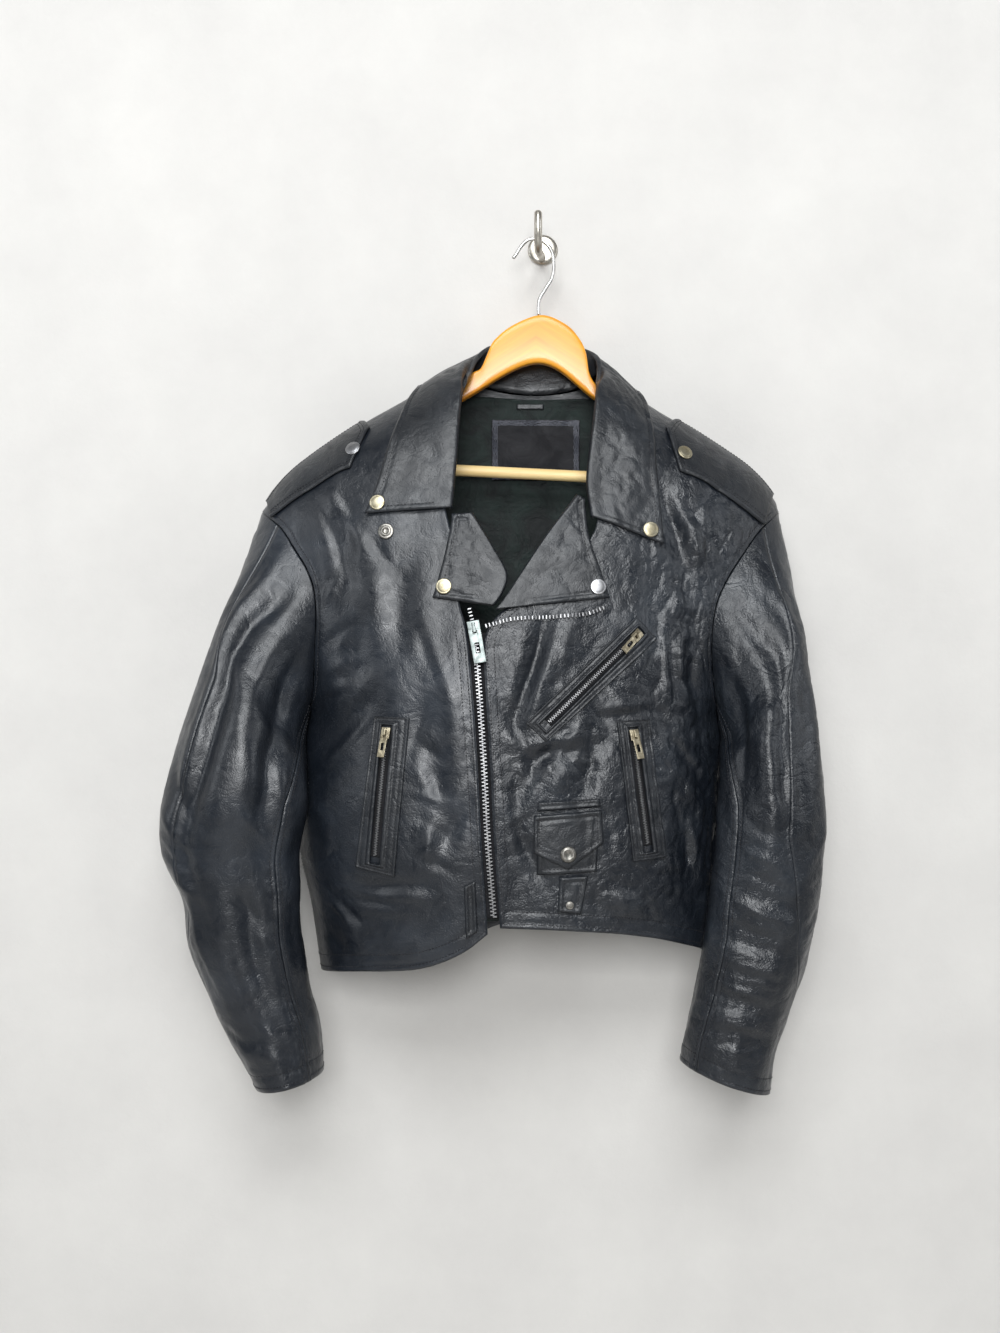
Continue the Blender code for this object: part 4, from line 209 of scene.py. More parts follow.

# %% [markdown]
# ## The main creases
# On top of the folds come creases, placed one by one where the leather really breaks: beside the
# armholes, round the pockets, above the hem. They could come from a cloth simulation, but a
# simulation puts them anywhere. Listed here, each one is where the jacket shows it.

# %% Creases of the panels
RIGHT_CREASES = fold_lines([
    (-2280, -3000, -1960, -3720, 60, -22), (-2150, -2920, -1760, -3520, 70, 20),
    (-1850, -3300, -1500, -3750, 60, -16), (-2220, -4000, -1950, -3720, 55, 16),
    (-2240, -4480, -1900, -4200, 55, -18), (-2260, -4700, -1800, -4550, 55, 16),
    (-2320, -5050, -1920, -4880, 55, -20), (-2430, -5850, -1980, -5600, 60, -18),
    (-2460, -6200, -2050, -6000, 60, 15), (-2400, -6680, -2050, -6500, 55, -15),
    (-1300, -4200, -1050, -4780, 60, -14), (-1120, -4400, -920, -5000, 60, 13),
    (-1280, -5400, -960, -5600, 50, -15), (-1300, -5900, -920, -6000, 50, 14),
    (-1280, -6100, -880, -6360, 50, -16), (-1280, -6500, -860, -6680, 50, -14),
    (-1960, -7000, -1280, -7060, 60, 16), (-2220, -7220, -1700, -7160, 55, -15),
    (-1660, -3130, -1820, -4000, 120, -34), (-1800, -4000, -1960, -5020, 120, -34),
    (-1130, -3610, -1430, -4990, 140, 26), (-1740, -5140, -2260, -5680, 55, 24),
    (-1820, -4990, -2230, -5430, 70, -18), (-1190, -4960, -1330, -5530, 80, -26),
    (-740, -5980, -960, -6370, 70, -26), (-1140, -6210, -1160, -6660, 50, 20),
    (-1260, -5600, -1080, -6000, 80, 24), (-2080, -6880, -1140, -6930, 50, 22),
    (-1900, -6780, -1200, -6810, 50, -20), (-2140, -7040, -1900, -7300, 40, 22),
    (-2080, -7000, -1820, -7260, 40, -18), (-2150, -5900, -2220, -6600, 110, 24),
    (-950, -4700, -880, -5600, 120, 22),
])
LEFT_CREASES = fold_lines([
    (10, -4240, -280, -5240, 60, -40), (120, -4240, -180, -5240, 55, 26), (-160, -5450, 300, -5360, 40, 26),
    (-140, -5560, 240, -5490, 55, -28), (370, -5240, -230, -6050, 50, 32),
    (240, -5240, -300, -5920, 65, -28), (-330, -5480, -280, -6200, 50, -28),
    (-280, -6200, 80, -6820, 50, -28), (-210, -6320, 100, -6840, 38, 22),
    (1180, -4120, 1250, -5190, 50, 30), (1260, -4300, 1340, -5150, 45, -26),
    (1420, -4520, 1590, -5140, 60, -34), (1340, -4460, 1480, -5100, 45, 24),
    (1200, -5240, 1640, -5880, 42, -26), (1280, -5220, 1700, -5800, 40, 22),
    (1120, -5300, 1540, -5980, 40, 20), (1400, -6290, 1510, -6770, 50, -26),
    (1480, -6260, 1600, -6700, 42, 22), (460, -5240, 420, -5860, 50, -24),
    (510, -5170, 1040, -5100, 50, -24), (580, -5060, 1040, -5000, 45, 20),
    (940, -4200, 1000, -4700, 60, 18), (300, -4200, 160, -4700, 80, 20), (760, -6900, 800, -7120, 40, 18),
    (1000, -6880, 1060, -7160, 40, -18), (500, -6860, 520, -7100, 40, -16),
    (1200, -2850, 1460, -3720, 50, -24), (1320, -2900, 1580, -3600, 48, 22),
    (1460, -3000, 1700, -3520, 48, -22), (980, -3000, 1160, -3600, 50, 18),
    (1180, -3720, 1500, -3920, 45, -20), (1220, -3920, 1540, -4140, 45, 18),
    (1280, -4180, 1580, -4320, 45, -20), (1180, -4400, 1600, -4620, 45, 18),
    (1220, -4700, 1620, -4900, 45, -20), (1280, -5000, 1680, -5200, 45, 16),
    (1260, -5400, 1660, -5600, 50, -16), (1000, -4700, 1120, -5080, 45, -18),
    (660, -4840, 840, -5120, 45, 16), (460, -5000, 660, -5360, 45, -18), (280, -5200, 520, -5600, 45, 16),
    (120, -5420, 440, -5820, 45, -20), (-40, -5480, 180, -5860, 45, 18), (-220, -5560, 20, -5920, 45, -18),
    (-400, -5200, -260, -5560, 42, 16), (-480, -5360, -340, -5900, 42, -18),
    (-440, -6000, -260, -6400, 45, 14), (-380, -6400, -200, -6900, 45, -16),
    (620, -6000, 660, -6600, 45, -16), (580, -6720, 980, -6900, 50, -16),
    (1180, -6600, 1640, -6760, 50, 16), (1160, -6900, 1600, -7060, 50, -14),
    (-400, -4300, -240, -4700, 45, -14), (200, -4120, 520, -4400, 45, 12),
    (1180, -5850, 1520, -6100, 50, -14), (1280, -6250, 1600, -6400, 50, 12),
])
BACK_CREASES = fold_lines([
    (-2000, -3600, -1500, -4200, 70, -18), (1500, -3600, 1100, -4200, 70, -18),
    (-2100, -5000, -1500, -5400, 70, 16), (1500, -5000, 1000, -5450, 70, 16),
    (-2000, -6000, -1300, -6200, 70, -16), (1600, -5900, 1000, -6220, 70, -16),
    (-800, -3000, -900, -4000, 80, 14), (400, -3100, 500, -4100, 80, -14),
    (-1000, -6900, -200, -7000, 70, -16), (300, -6900, 1100, -7000, 70, 14),
])
print("panel creases:", len(RIGHT_CREASES) + len(LEFT_CREASES) + len(BACK_CREASES))

# %% Creases of the sleeves
RIGHT_SLEEVE_CREASES = sleeve_lines([
    (50, 66, 280, 62, 50, 8, -40), (280, 62, 520, 62, 50, 8, -40), (60, 44, 500, 42, 50, 6, 30),
    (100, 96, 420, 92, 60, 14, 24), (200, 120, 460, 116, 50, 8, -28), (40, 70, 200, 64, 20, 6, -22),
    (50, 96, 240, 92, 20, 6, 20), (50, 118, 220, 124, 20, 6, -20), (260, 50, 440, 46, 18, 6, 18),
    (400, 28, 470, 60, 10, 5, -24), (470, 22, 530, 66, 10, 5, 22), (530, 18, 560, 52, 10, 5, -22),
    (580, 24, 620, 70, 10, 5, 16), (600, 96, 680, 120, 11, 5, -18), (440, 100, 500, 128, 11, 5, 16),
    (660, 44, 780, 52, 14, 5, 16), (700, 80, 880, 84, 16, 5, -16), (860, 30, 900, 64, 9, 5, -16),
    (880, 88, 930, 122, 9, 5, 14), (300, 200, 550, 210, 20, 8, -22), (450, 250, 520, 300, 12, 8, 22),
    (520, 240, 580, 310, 12, 8, -22), (700, 220, 800, 280, 14, 8, 18),
])
LEFT_SLEEVE_CREASES = sleeve_lines([
    (50, 108, 550, 104, 60, 12, 30), (80, 84, 500, 82, 50, 7, -30), (100, 66, 460, 64, 50, 9, 24),
    (120, 130, 500, 128, 50, 7, -28), (30, 84, 200, 80, 20, 6, -22), (40, 112, 240, 118, 20, 6, 20),
    (40, 50, 220, 44, 20, 6, 18), (260, 118, 460, 122, 18, 6, -20), (300, 92, 480, 80, 18, 6, -16),
    (460, 122, 510, 88, 10, 5, -20), (520, 126, 560, 84, 10, 5, 18), (570, 120, 600, 72, 10, 5, -22),
    (630, 128, 665, 70, 9, 5, 20), (680, 124, 705, 66, 9, 5, -22), (720, 132, 740, 80, 8, 5, 18),
    (765, 126, 780, 58, 8, 5, -22), (800, 130, 815, 66, 8, 5, 20), (845, 128, 855, 60, 8, 5, -22),
    (875, 122, 885, 50, 8, 5, 18), (915, 118, 920, 56, 8, 5, -18), (500, 20, 560, 52, 12, 5, 16),
    (620, 14, 680, 46, 12, 5, -16), (300, 200, 550, 210, 20, 8, -22), (450, 250, 520, 300, 12, 8, 22),
    (520, 240, 580, 310, 12, 8, -22), (700, 220, 800, 280, 14, 8, 18),
])
print("sleeve creases:", len(RIGHT_SLEEVE_CREASES) + len(LEFT_SLEEVE_CREASES))

# %% [markdown]
# ## Helpers for smooth lines
# A pattern maker draws a few points and a smooth curve through them. `spline` does that, `along` reads
# points off it at even shares, and `read` looks a size up in a table.

# %% Lines
def unit(v):
    v = np.asarray(v, float)
    length = np.linalg.norm(v, axis=-1, keepdims=True)
    return v / np.maximum(length, 1e-12)


def rising(value, reach):
    """0 below zero, 1 from the reach on, and a straight climb between."""
    return np.clip(value / reach, 0.0, 1.0)


def spots_on(line, run, at):
    """The points of a line at given distances, where run holds the distance of each of its points."""
    return np.stack([np.interp(at, run, line[:, k]) for k in range(line.shape[1])], axis=-1)


def run_along(line):
    """The distance of each point of a line from its start."""
    return np.concatenate([[0.0], np.cumsum(np.linalg.norm(np.diff(line, axis=0), axis=1))])


def read(rows, at):
    """A dimension read from a table of (z, size) rows, smoothed over 20 mm."""
    rows = sorted(rows)
    keys = np.array([row[0] for row in rows])
    sizes = np.array([row[1] for row in rows])
    at = np.asarray(at, float)
    shifts = (-0.010, -0.005, 0.0, 0.005, 0.010)
    return sum(np.interp(at + shift, keys, sizes) for shift in shifts) / len(shifts)


def read_plain(rows, at):
    keys = np.array([row[0] for row in rows])
    sizes = np.array([row[1] for row in rows])
    return np.interp(at, keys, sizes)


def spline(points, steps=16):
    """A smooth line through the points."""
    p = np.array(points, float)
    padded = np.vstack([2 * p[0] - p[1], p, 2 * p[-1] - p[-2]])
    line = []
    for i in range(len(p) - 1):
        a, b, c, d = padded[i : i + 4]
        for t in np.linspace(0, 1, steps, endpoint=False):
            cubic = (2 * a - 5 * b + 4 * c - d) * t * t + (3 * b - a - 3 * c + d) * t**3
            line.append(0.5 * (2 * b + (c - a) * t + cubic))
    line.append(p[-1])
    return np.array(line)


def along(line, shares):
    """Points of a line at shares of its length."""
    steps = np.linalg.norm(np.diff(line, axis=0), axis=1)
    run = np.concatenate([[0.0], np.cumsum(steps)]) / steps.sum()
    return spots_on(line, run, shares)


SHOULDER_LINE = spline(SHOULDERS)


def shoulder_z(x):
    return np.interp(x, SHOULDER_LINE[:, 0], SHOULDER_LINE[:, 1])

print("shoulder line:", len(SHOULDER_LINE), "points")

# %% [markdown]
# ## The form of the body
# The jacket hangs nearly flat, yet it keeps a hollow: the front bulges out and the shoulders round
# over the hanger. One formula gives the depth of any point of the front or the back.

# %% Body form
def body_y(x, z, face):
    """Depth of the body's outer face: face -1 is the front, +1 the back."""
    x, z = np.asarray(x, float), np.asarray(z, float)
    right, left = read(RIGHT_EDGE, z), read(LEFT_EDGE, z)
    across = rising(np.abs(x - (right + left) / 2), (left - right) / 2)
    bulge = np.sqrt(np.clip(1.0 - across**BODY_ROUNDNESS, 0.0, 1.0))
    depth = read(FRONT_DEPTH if face < 0 else BACK_DEPTH, z)
    reach = SHOULDER_ROUND_FRONT if face < 0 else SHOULDER_ROUND_BACK
    below = rising(shoulder_z(x) - z, reach)
    top = (1.0 - (1.0 - below) ** SHOULDER_ROUNDNESS) ** (1.0 / SHOULDER_ROUNDNESS)
    return read(MID_Y, z) + face * depth * bulge * top


def body_normal(x, z, face):
    step = 0.0015
    slope_x = (body_y(x + step, z, face) - body_y(x - step, z, face)) / (2 * step)
    slope_z = (body_y(x, z + step, face) - body_y(x, z - step, face)) / (2 * step)
    flat = np.broadcast_to(float(face), np.shape(slope_x))
    return unit(np.stack([-face * slope_x, flat, -face * slope_z], axis=-1))


def shoulder_normal(x):
    """Square to the shoulder line, upwards."""
    slope = (shoulder_z(x + 0.004) - shoulder_z(x - 0.004)) / 0.008
    return unit(np.stack([-slope, 0.0 * x, 1.0 + 0.0 * x], axis=-1))

print("depth of the chest:", round(float(body_y(-0.04, -0.45, 1) - body_y(-0.04, -0.45, -1)), 3))

# %% [markdown]
# ## How a crease is shaped
# A ruler-straight crease looks fake. Before a crease is measured, its place is shaken a little by a
# slow noise, so each line wanders as a real one does. `fold_height` adds up all folds of a panel.
# `crumple` is the small restless part: ridged noise, which makes soft plates with sharp valleys.

# %% Folds and creases
def fold_height(x, z, folds):
    """Sum of soft ridges and troughs, each about a straight line."""
    x, z = np.asarray(x, float), np.asarray(z, float)
    total = np.zeros(np.broadcast(x, z).shape)
    for (x0, z0), (x1, z1), width, height in folds:
        length2 = (x1 - x0) ** 2 + (z1 - z0) ** 2
        t = ((x - x0) * (x1 - x0) + (z - z0) * (z1 - z0)) / length2
        inside = np.clip(t, 0.0, 1.0)
        away2 = (x - x0 - inside * (x1 - x0)) ** 2 + (z - z0 - inside * (z1 - z0)) ** 2
        fade = 0.35 + 0.65 * np.sin(np.pi * inside)
        total += height * fade * np.exp(-away2 / (width * width))
    return total


def noise_at(x, z, size, seed):
    """Smooth noise from -1 to 1 over points in the front view; size is how far apart its bumps lie."""
    x, z = np.broadcast_arrays(np.asarray(x, float), np.asarray(z, float))
    out = np.empty(x.shape)
    for index in np.ndindex(x.shape):
        out[index] = noise.noise((x[index] / size + seed, z[index] / size - seed, 0.37 * seed))
    return out


def wander(x, z, reach=0.0045, seed=3.0):
    """Shakes a place by a slow noise."""
    return x + reach * noise_at(x, z, 0.045, seed), z + reach * noise_at(x, z, 0.045, seed + 9.0)


def crumple(x, z, size, seed):
    """Soft plates with sharp valleys between them, from -1 to 0."""
    big = 1 - np.abs(noise_at(x, z, size, seed)) * 2.2
    small = 1 - np.abs(noise_at(x, z, size * 0.47, seed + 5.0)) * 2.2
    return -np.clip(big, 0, 1) ** 3 - 0.45 * np.clip(small, 0, 1) ** 3


print("crease shapes ready")

# %% [markdown]
# ## The sleeves as tubes
# A sleeve is a tube of ten measured rings that starts on the armhole seam. It is read by two numbers:
# the share of the way down, and the angle round it from the outer edge over the front.

# %% Sleeve form
def armhole(side, share, face):
    """Points and body normals of an armhole: share 0 is the armpit and 1 the shoulder tip."""
    lines = {
        ("right", -1): RIGHT_ARMHOLE_FRONT,
        ("left", -1): LEFT_ARMHOLE_FRONT,
        ("right", 1): RIGHT_ARMHOLE_BACK,
        ("left", 1): LEFT_ARMHOLE_BACK,
    }
    flat = along(spline(lines[side, face]), share)
    x, z = flat[..., 0], flat[..., 1]
    middle = read(MID_Y, z)
    meet = np.sqrt(rising(np.asarray(share), 0.05))
    points = np.stack([x, middle + (body_y(x, z, face) - middle) * meet, z], axis=-1)
    near_tip = rising(np.asarray(share) - 0.9, 0.1)[..., None]
    near_pit = rising(0.1 - np.asarray(share), 0.1)[..., None]
    out = np.array([-1.0 if side == "right" else 1.0, 0.0, 0.0])
    normals = unit(body_normal(x, z, face) * (1 - near_tip) + near_tip * np.array([0.35 * out[0], 0.0, 1.0]))
    normals = unit(normals * (1 - near_pit) + near_pit * out)
    return points, normals


def sleeve_rings(side):
    """Control points of a sleeve: one row per ring, one column per 5 degrees from the outer edge over the front."""
    angles = np.arange(0.0, 360.0, 5.0)
    front = angles <= 180
    share = np.where(front, 1 - angles / 180, (angles - 180) / 180)
    first = np.zeros((len(angles), 3))
    first[front] = armhole(side, share[front], -1)[0]
    first[~front] = armhole(side, share[~front], 1)[0]
    rings = [first]
    for outer, inner, mid_y, half_depth in RIGHT_SLEEVE if side == "right" else LEFT_SLEEVE:
        outer, inner = np.array([outer[0], mid_y, outer[1]]), np.array([inner[0], mid_y, inner[1]])
        turn = np.radians(angles)[:, None]
        ring = (outer + inner) / 2 + (outer - inner) / 2 * np.cos(turn)
        rings.append(ring - np.array([0.0, half_depth, 0.0]) * np.sin(turn))
    return np.array(rings)


def body_side(y, z, side, gap):
    """How near to the middle a sleeve may come at this depth and height."""
    right, left = read(RIGHT_EDGE, z), read(LEFT_EDGE, z)
    middle, half = (right + left) / 2, (left - right) / 2
    off = y - read(MID_Y, z)
    depth = np.where(off < 0, read(FRONT_DEPTH, z), read(BACK_DEPTH, z)) + gap
    bulge = np.clip(1 - (off / depth) ** 2, 0.0, 1.0) ** (1 / BODY_ROUNDNESS)
    return middle + (-1 if side == "right" else 1) * (half * bulge + gap)


class Sleeve:
    """The outer face of one sleeve, read by share of the way down and angle."""

    def __init__(self, side):
        self.side = side
        rings = sleeve_rings(side)
        rings = np.concatenate([rings, rings[:, :1]], axis=1)
        rows = np.array([spline(rings[:, k]) for k in range(rings.shape[1])])
        self.grid = np.swapaxes(rows, 0, 1)
        middle = self.grid[:, :-1].mean(axis=1)
        steps = np.linalg.norm(np.diff(middle, axis=0), axis=1)
        self.run = np.concatenate([[0.0], np.cumsum(steps)]) / steps.sum()
        self.folds = RIGHT_SLEEVE_FOLDS if side == "right" else LEFT_SLEEVE_FOLDS

    def raw(self, share, angle):
        share, angle = np.broadcast_arrays(np.asarray(share, float), np.asarray(angle, float))
        row = np.interp(share, self.run, np.arange(len(self.run)))
        column = (angle % 360.0) / 5.0
        r, c = np.minimum(row.astype(int), len(self.run) - 2), np.minimum(column.astype(int), 71)
        fr, fc = (row - r)[..., None], (column - c)[..., None]
        g = self.grid
        near = g[r, c] * (1 - fc) + g[r, c + 1] * fc
        far = g[r + 1, c] * (1 - fc) + g[r + 1, c + 1] * fc
        return near * (1 - fr) + far * fr

    def rise(self, share, angle):
        total = np.zeros(np.broadcast(share, angle).shape)
        for (s0, a0), (s1, a1), half_share, half_angle, height in self.folds:
            du, dv = (s1 - s0) / half_share, (a1 - a0) / half_angle
            turn = (np.asarray(angle) - a0 + 180) % 360 - 180
            pu, pv = (np.asarray(share) - s0) / half_share, turn / half_angle
            t = rising(pu * du + pv * dv, du * du + dv * dv)
            away2 = (pu - t * du) ** 2 + (pv - t * dv) ** 2
            total += height * (0.35 + 0.65 * np.sin(np.pi * t)) * np.exp(-away2)
        fade = rising(np.asarray(share), 0.06)
        return total * fade * fade * (3 - 2 * fade)

    def normal(self, share, angle):
        share, angle = np.asarray(share, float), np.asarray(angle, float)
        up, down = np.clip(share - 0.012, 0, 1), np.clip(share + 0.012, 0, 1)
        length = self.raw(down, angle) - self.raw(up, angle)
        round_ = self.raw(share, angle + 4) - self.raw(share, angle - 4)
        turn = 1.0 if self.side == "right" else -1.0
        return unit(np.cross(length, round_)) * turn

    def at(self, share, angle, lift=0.0):
        """A point of the outer face, lifted along its normal, kept clear of the body's side."""
        share, angle = np.broadcast_arrays(np.asarray(share, float), np.asarray(angle, float))
        points = self.raw(share, angle)
        points = points + self.normal(share, angle) * self.rise(share, angle)[..., None]
        blend = rising(share - 0.02, 0.08)
        limit = body_side(points[..., 1], points[..., 2], self.side, 0.0038)
        beyond = points[..., 0] - limit if self.side == "right" else limit - points[..., 0]
        pit = np.exp(-(((angle % 360.0) - 190.0) / 30.0) ** 2 - (share / 0.12) ** 2)
        points[..., 0] += (-1.0 if self.side == "right" else 1.0) * ARMPIT_CLEAR * pit
        low = (points[..., 2] < -0.50) & (points[..., 2] > -0.80) & (beyond > 0)
        sign = -1.0 if self.side == "right" else 1.0
        points[..., 0] += sign * np.where(low, beyond * blend, 0.0)
        return points + self.normal(share, angle) * lift


SLEEVES = {"right": Sleeve("right"), "left": Sleeve("left")}
SLEEVES["right"].folds = RIGHT_SLEEVE_FOLDS + RIGHT_SLEEVE_CREASES
SLEEVES["left"].folds = LEFT_SLEEVE_FOLDS + LEFT_SLEEVE_CREASES
print("sleeve lengths:", {side: len(s.run) for side, s in SLEEVES.items()})

# %% [markdown]
# ## The two fronts and the back
# Each panel is a grid stretched between its four edges. The same grid also gives the direction to the
# inside of the leather, which the neighbouring panel shares at the seam, so no gap shows there.

# %% Panel grids
def armhole_mitre(side, share, face):
    """The direction from an armhole seam's outside to its inside, shared by the panel and the sleeve."""
    body = armhole(side, share, face)[1]
    angle = 180 * (1 - np.asarray(share)) if face < 0 else 180 + 180 * np.asarray(share)
    sleeve = SLEEVES[side].normal(np.full(np.shape(share), 0.012), angle)
    return unit(body + sleeve + np.array([0.0, 0.0, -0.05]) * (1 - np.asarray(share))[..., None])


def edge_split(side_line, arm_line, rows):
    """An outer edge that runs up the side seam and then up the armhole."""
    below = rows[rows <= ARMPIT_SHARE]
    above = rows[rows > ARMPIT_SHARE]
    lower = along(spline(side_line), below / ARMPIT_SHARE)
    upper_share = (above - ARMPIT_SHARE) / (1 - ARMPIT_SHARE)
    return lower, along(spline(arm_line), upper_share), upper_share


def coons_at(bottom, top, first, last, u, v):
    """A grid between four edges whose shares along are u and v."""
    vv, uu = v[:, None, None], u[None, :, None]
    ruled = (1 - vv) * bottom[None] + vv * top[None] + (1 - uu) * first[:, None] + uu * last[:, None]
    corners = (1 - vv) * ((1 - uu) * bottom[0] + uu * bottom[-1]) + vv * ((1 - uu) * top[0] + uu * top[-1])
    return ruled - corners


def front_surface(side, columns, rows):
    """Outer grid, inner directions and the u, v shares of one front."""
    right = side == "right"
    edge = RIGHT_FRONT_EDGE if right else LEFT_FRONT_EDGE
    v = rows
    u = 1 - (1 - np.linspace(0.0, 1.0, columns + 1)) ** 1.6
    side_line = RIGHT_SIDE if right else LEFT_SIDE
    arm_line = RIGHT_ARMHOLE_FRONT if right else LEFT_ARMHOLE_FRONT
    lower, upper, upper_share = edge_split(side_line, arm_line, v)
    last = np.concatenate([lower, upper])
    first = along(spline(edge), np.interp(v, [0.0, ARMPIT_SHARE, 1.0], [0.0, 0.40, 1.0]))
    bottom = along(spline(RIGHT_HEM if right else LEFT_HEM), u)
    neck_x, tip_x = (RIGHT_NECK_X, RIGHT_TIP_X) if right else (LEFT_NECK_X, LEFT_TIP_X)
    top_x = neck_x + (tip_x - neck_x) * u
    top = np.stack([top_x, shoulder_z(top_x)], axis=-1)
    uu, vv = np.meshgrid(u, v)
    flat = coons_at(bottom, top, first, last, u, v)
    x, z = flat[..., 0], flat[..., 1]
    y = body_y(x, z, -1)
    fade = rising(1 - uu, 0.10) * rising(uu, 0.16)
    fade = fade * rising(vv, 0.03) * rising(1 - vv, 0.10)
    lift = fold_height(x, z, RIGHT_FRONT_FOLDS if right else LEFT_FRONT_FOLDS) * fade
    normals = body_normal(x, z, -1)
    outer = np.stack([x, y, z], axis=-1)
    side_rows = len(lower)
    outer[:side_rows, -1, 1] = read(MID_Y, outer[:side_rows, -1, 2])
    outer[side_rows:, -1] = armhole(side, upper_share, -1)[0]
    outer[-1, :, 1] = read(MID_Y, outer[-1, :, 2])
    outer = outer + normals * lift[..., None]
    outward = np.array([-1.0 if right else 1.0, 0.0, 0.0])
    normals[: side_rows - 1, -1] = outward
    normals[-1, :] = shoulder_normal(x[-1])
    normals[side_rows:, -1] = armhole_mitre(side, upper_share, -1)
    pit = armhole_mitre(side, np.array([0.0]), -1)[0]
    normals[side_rows - 1, -1] = unit(outward + pit)
    return outer, normals


def back_surface(rows, shoulder_columns, neck_columns):
    """Outer grid and inner directions of the back, from the right side to the left."""
    v = rows
    right_lower, right_upper, upper_share = edge_split(RIGHT_SIDE, RIGHT_ARMHOLE_BACK, v)
    left_lower, left_upper, _ = edge_split(LEFT_SIDE, LEFT_ARMHOLE_BACK, v)
    first, last = np.concatenate([right_lower, right_upper]), np.concatenate([left_lower, left_upper])
    s = np.linspace(0.0, 1.0, shoulder_columns + 1)
    n = np.linspace(0.0, 1.0, neck_columns + 1)
    right_x = RIGHT_TIP_X + (RIGHT_NECK_X - RIGHT_TIP_X) * s**0.75
    left_x = LEFT_NECK_X + (LEFT_TIP_X - LEFT_NECK_X) * (1 - (1 - s) ** 0.75)
    neck_x = RIGHT_NECK_X + (LEFT_NECK_X - RIGHT_NECK_X) * n
    top_x = np.concatenate([right_x, neck_x[1:-1], left_x])
    ends = shoulder_z(RIGHT_NECK_X) + (shoulder_z(LEFT_NECK_X) - shoulder_z(RIGHT_NECK_X)) * n
    neck_z = ends - NECK_DIP * np.sin(np.pi * n) ** 0.6
    top_z = np.concatenate([shoulder_z(right_x), neck_z[1:-1], shoulder_z(left_x)])
    top = np.stack([top_x, top_z], axis=-1)
    u = (top_x - RIGHT_TIP_X) / (LEFT_TIP_X - RIGHT_TIP_X)
    u = 0.5 - 0.5 * np.sign(0.5 - u) * np.abs(1 - 2 * u) ** 0.9
    bottom = along(spline(BACK_HEM), u)
    flat = coons_at(bottom, top, first, last, u, v)
    x, z = flat[..., 0], flat[..., 1]
    uu, vv = np.meshgrid(u, v)
    fade = rising(1 - uu, 0.08) * rising(uu, 0.08)
    fade = fade * rising(vv, 0.03) * rising(1 - vv, 0.10)
    normals = body_normal(x, z, 1)
    outer = np.stack([x, body_y(x, z, 1), z], axis=-1)
    side_rows = len(right_lower)
    for column, hole in ((0, "right"), (-1, "left")):
        outer[:side_rows, column, 1] = read(MID_Y, outer[:side_rows, column, 2])
        outer[side_rows:, column] = armhole(hole, upper_share, 1)[0]
        outward = np.array([-1.0 if hole == "right" else 1.0, 0.0, 0.0])
        normals[: side_rows - 1, column] = outward
        normals[side_rows:, column] = armhole_mitre(hole, upper_share, 1)
        pit = armhole_mitre(hole, np.array([0.0]), 1)[0]
        normals[side_rows - 1, column] = unit(outward + pit)
    outer = outer + normals * (fold_height(x, z, BACK_FOLDS) * fade)[..., None]
    on_shoulder = np.r_[0 : shoulder_columns + 1, len(top_x) - shoulder_columns - 1 : len(top_x)]
    outer[-1, on_shoulder, 1] = read(MID_Y, outer[-1, on_shoulder, 2])
    normals[-1, on_shoulder] = shoulder_normal(top_x[on_shoulder])
    return outer, normals

print("panel grids ready")


# %% [markdown]
# ## Finishes: black leather
# The leather is a heavy dyed hide with a pebbled grain, scuffed to grey on its high places and shiny
# where it is rubbed. One base colour would look like plastic. So slow noise mixes two blacks, the
# grain is a bump of small cells, wrinkles are a second bump, and the gloss changes from place to place.

# %% Material helpers
def set_inputs(made, **inputs):
    """Sets a node's inputs by name, with _ for each space."""
    for name, value in inputs.items():
        made.inputs[name.replace("_", " ")].default_value = value
    return made


def node(tree, kind, **inputs):
    return set_inputs(tree.nodes.new("ShaderNode" + kind), **inputs)


def new_finish(name):
    """A new material: itself, its nodes, its shader, and the place on the object that textures follow."""
    made = bpy.data.materials.new(name)
    made.use_nodes = True
    tree = made.node_tree
    return made, tree, tree.nodes["Principled BSDF"], node(tree, "TexCoord").outputs["Object"]


def feed(tree, value, socket):
    """Links an output to a socket, or sets a constant on it."""
    if isinstance(value, bpy.types.NodeSocket):
        tree.links.new(value, socket)
    else:
        socket.default_value = value


def texture(tree, place, kind, **inputs):
    made = node(tree, "Tex" + kind, **inputs)
    tree.links.new(place, made.inputs["Vector"])
    return made


def calculate(tree, operation, *values):
    """A sum or product of outputs and numbers."""
    made = node(tree, "Math")
    made.operation = operation
    for value, socket in zip(values, made.inputs):
        feed(tree, value, socket)
    return made.outputs[0]


def mix(tree, data_type, factor, first, second):
    """A blend of two values. A colour uses the node's sockets 6, 7 and 2, a plain number 2, 3 and 0."""
    made = node(tree, "Mix")
    made.data_type = data_type
    one, two, result = (6, 7, 2) if data_type == "RGBA" else (2, 3, 0)
    for value, socket in ((factor, 0), (first, one), (second, two)):
        feed(tree, value, made.inputs[socket])
    return made.outputs[result]


def ramp(tree, value, low, high, dark=(0.0, 0.0, 0.0), light=(1.0, 1.0, 1.0)):
    """A colour that goes from dark to light as the value climbs from low to high."""
    made = node(tree, "ValToRGB")
    for element, position, colour in zip(made.color_ramp.elements, (low, high), (dark, light)):
        element.position = position
        element.color = (*colour, 1.0)
    tree.links.new(value, made.inputs["Fac"])
    return made.outputs["Color"]


def bump(tree, height, strength, distance, below=None):
    """Small relief, on top of the relief below it."""
    made = node(tree, "Bump", Strength=strength, Distance=distance)
    tree.links.new(height, made.inputs["Height"])
    if below is not None:
        tree.links.new(below, made.inputs["Normal"])
    return made.outputs["Normal"]


print("material helpers ready")

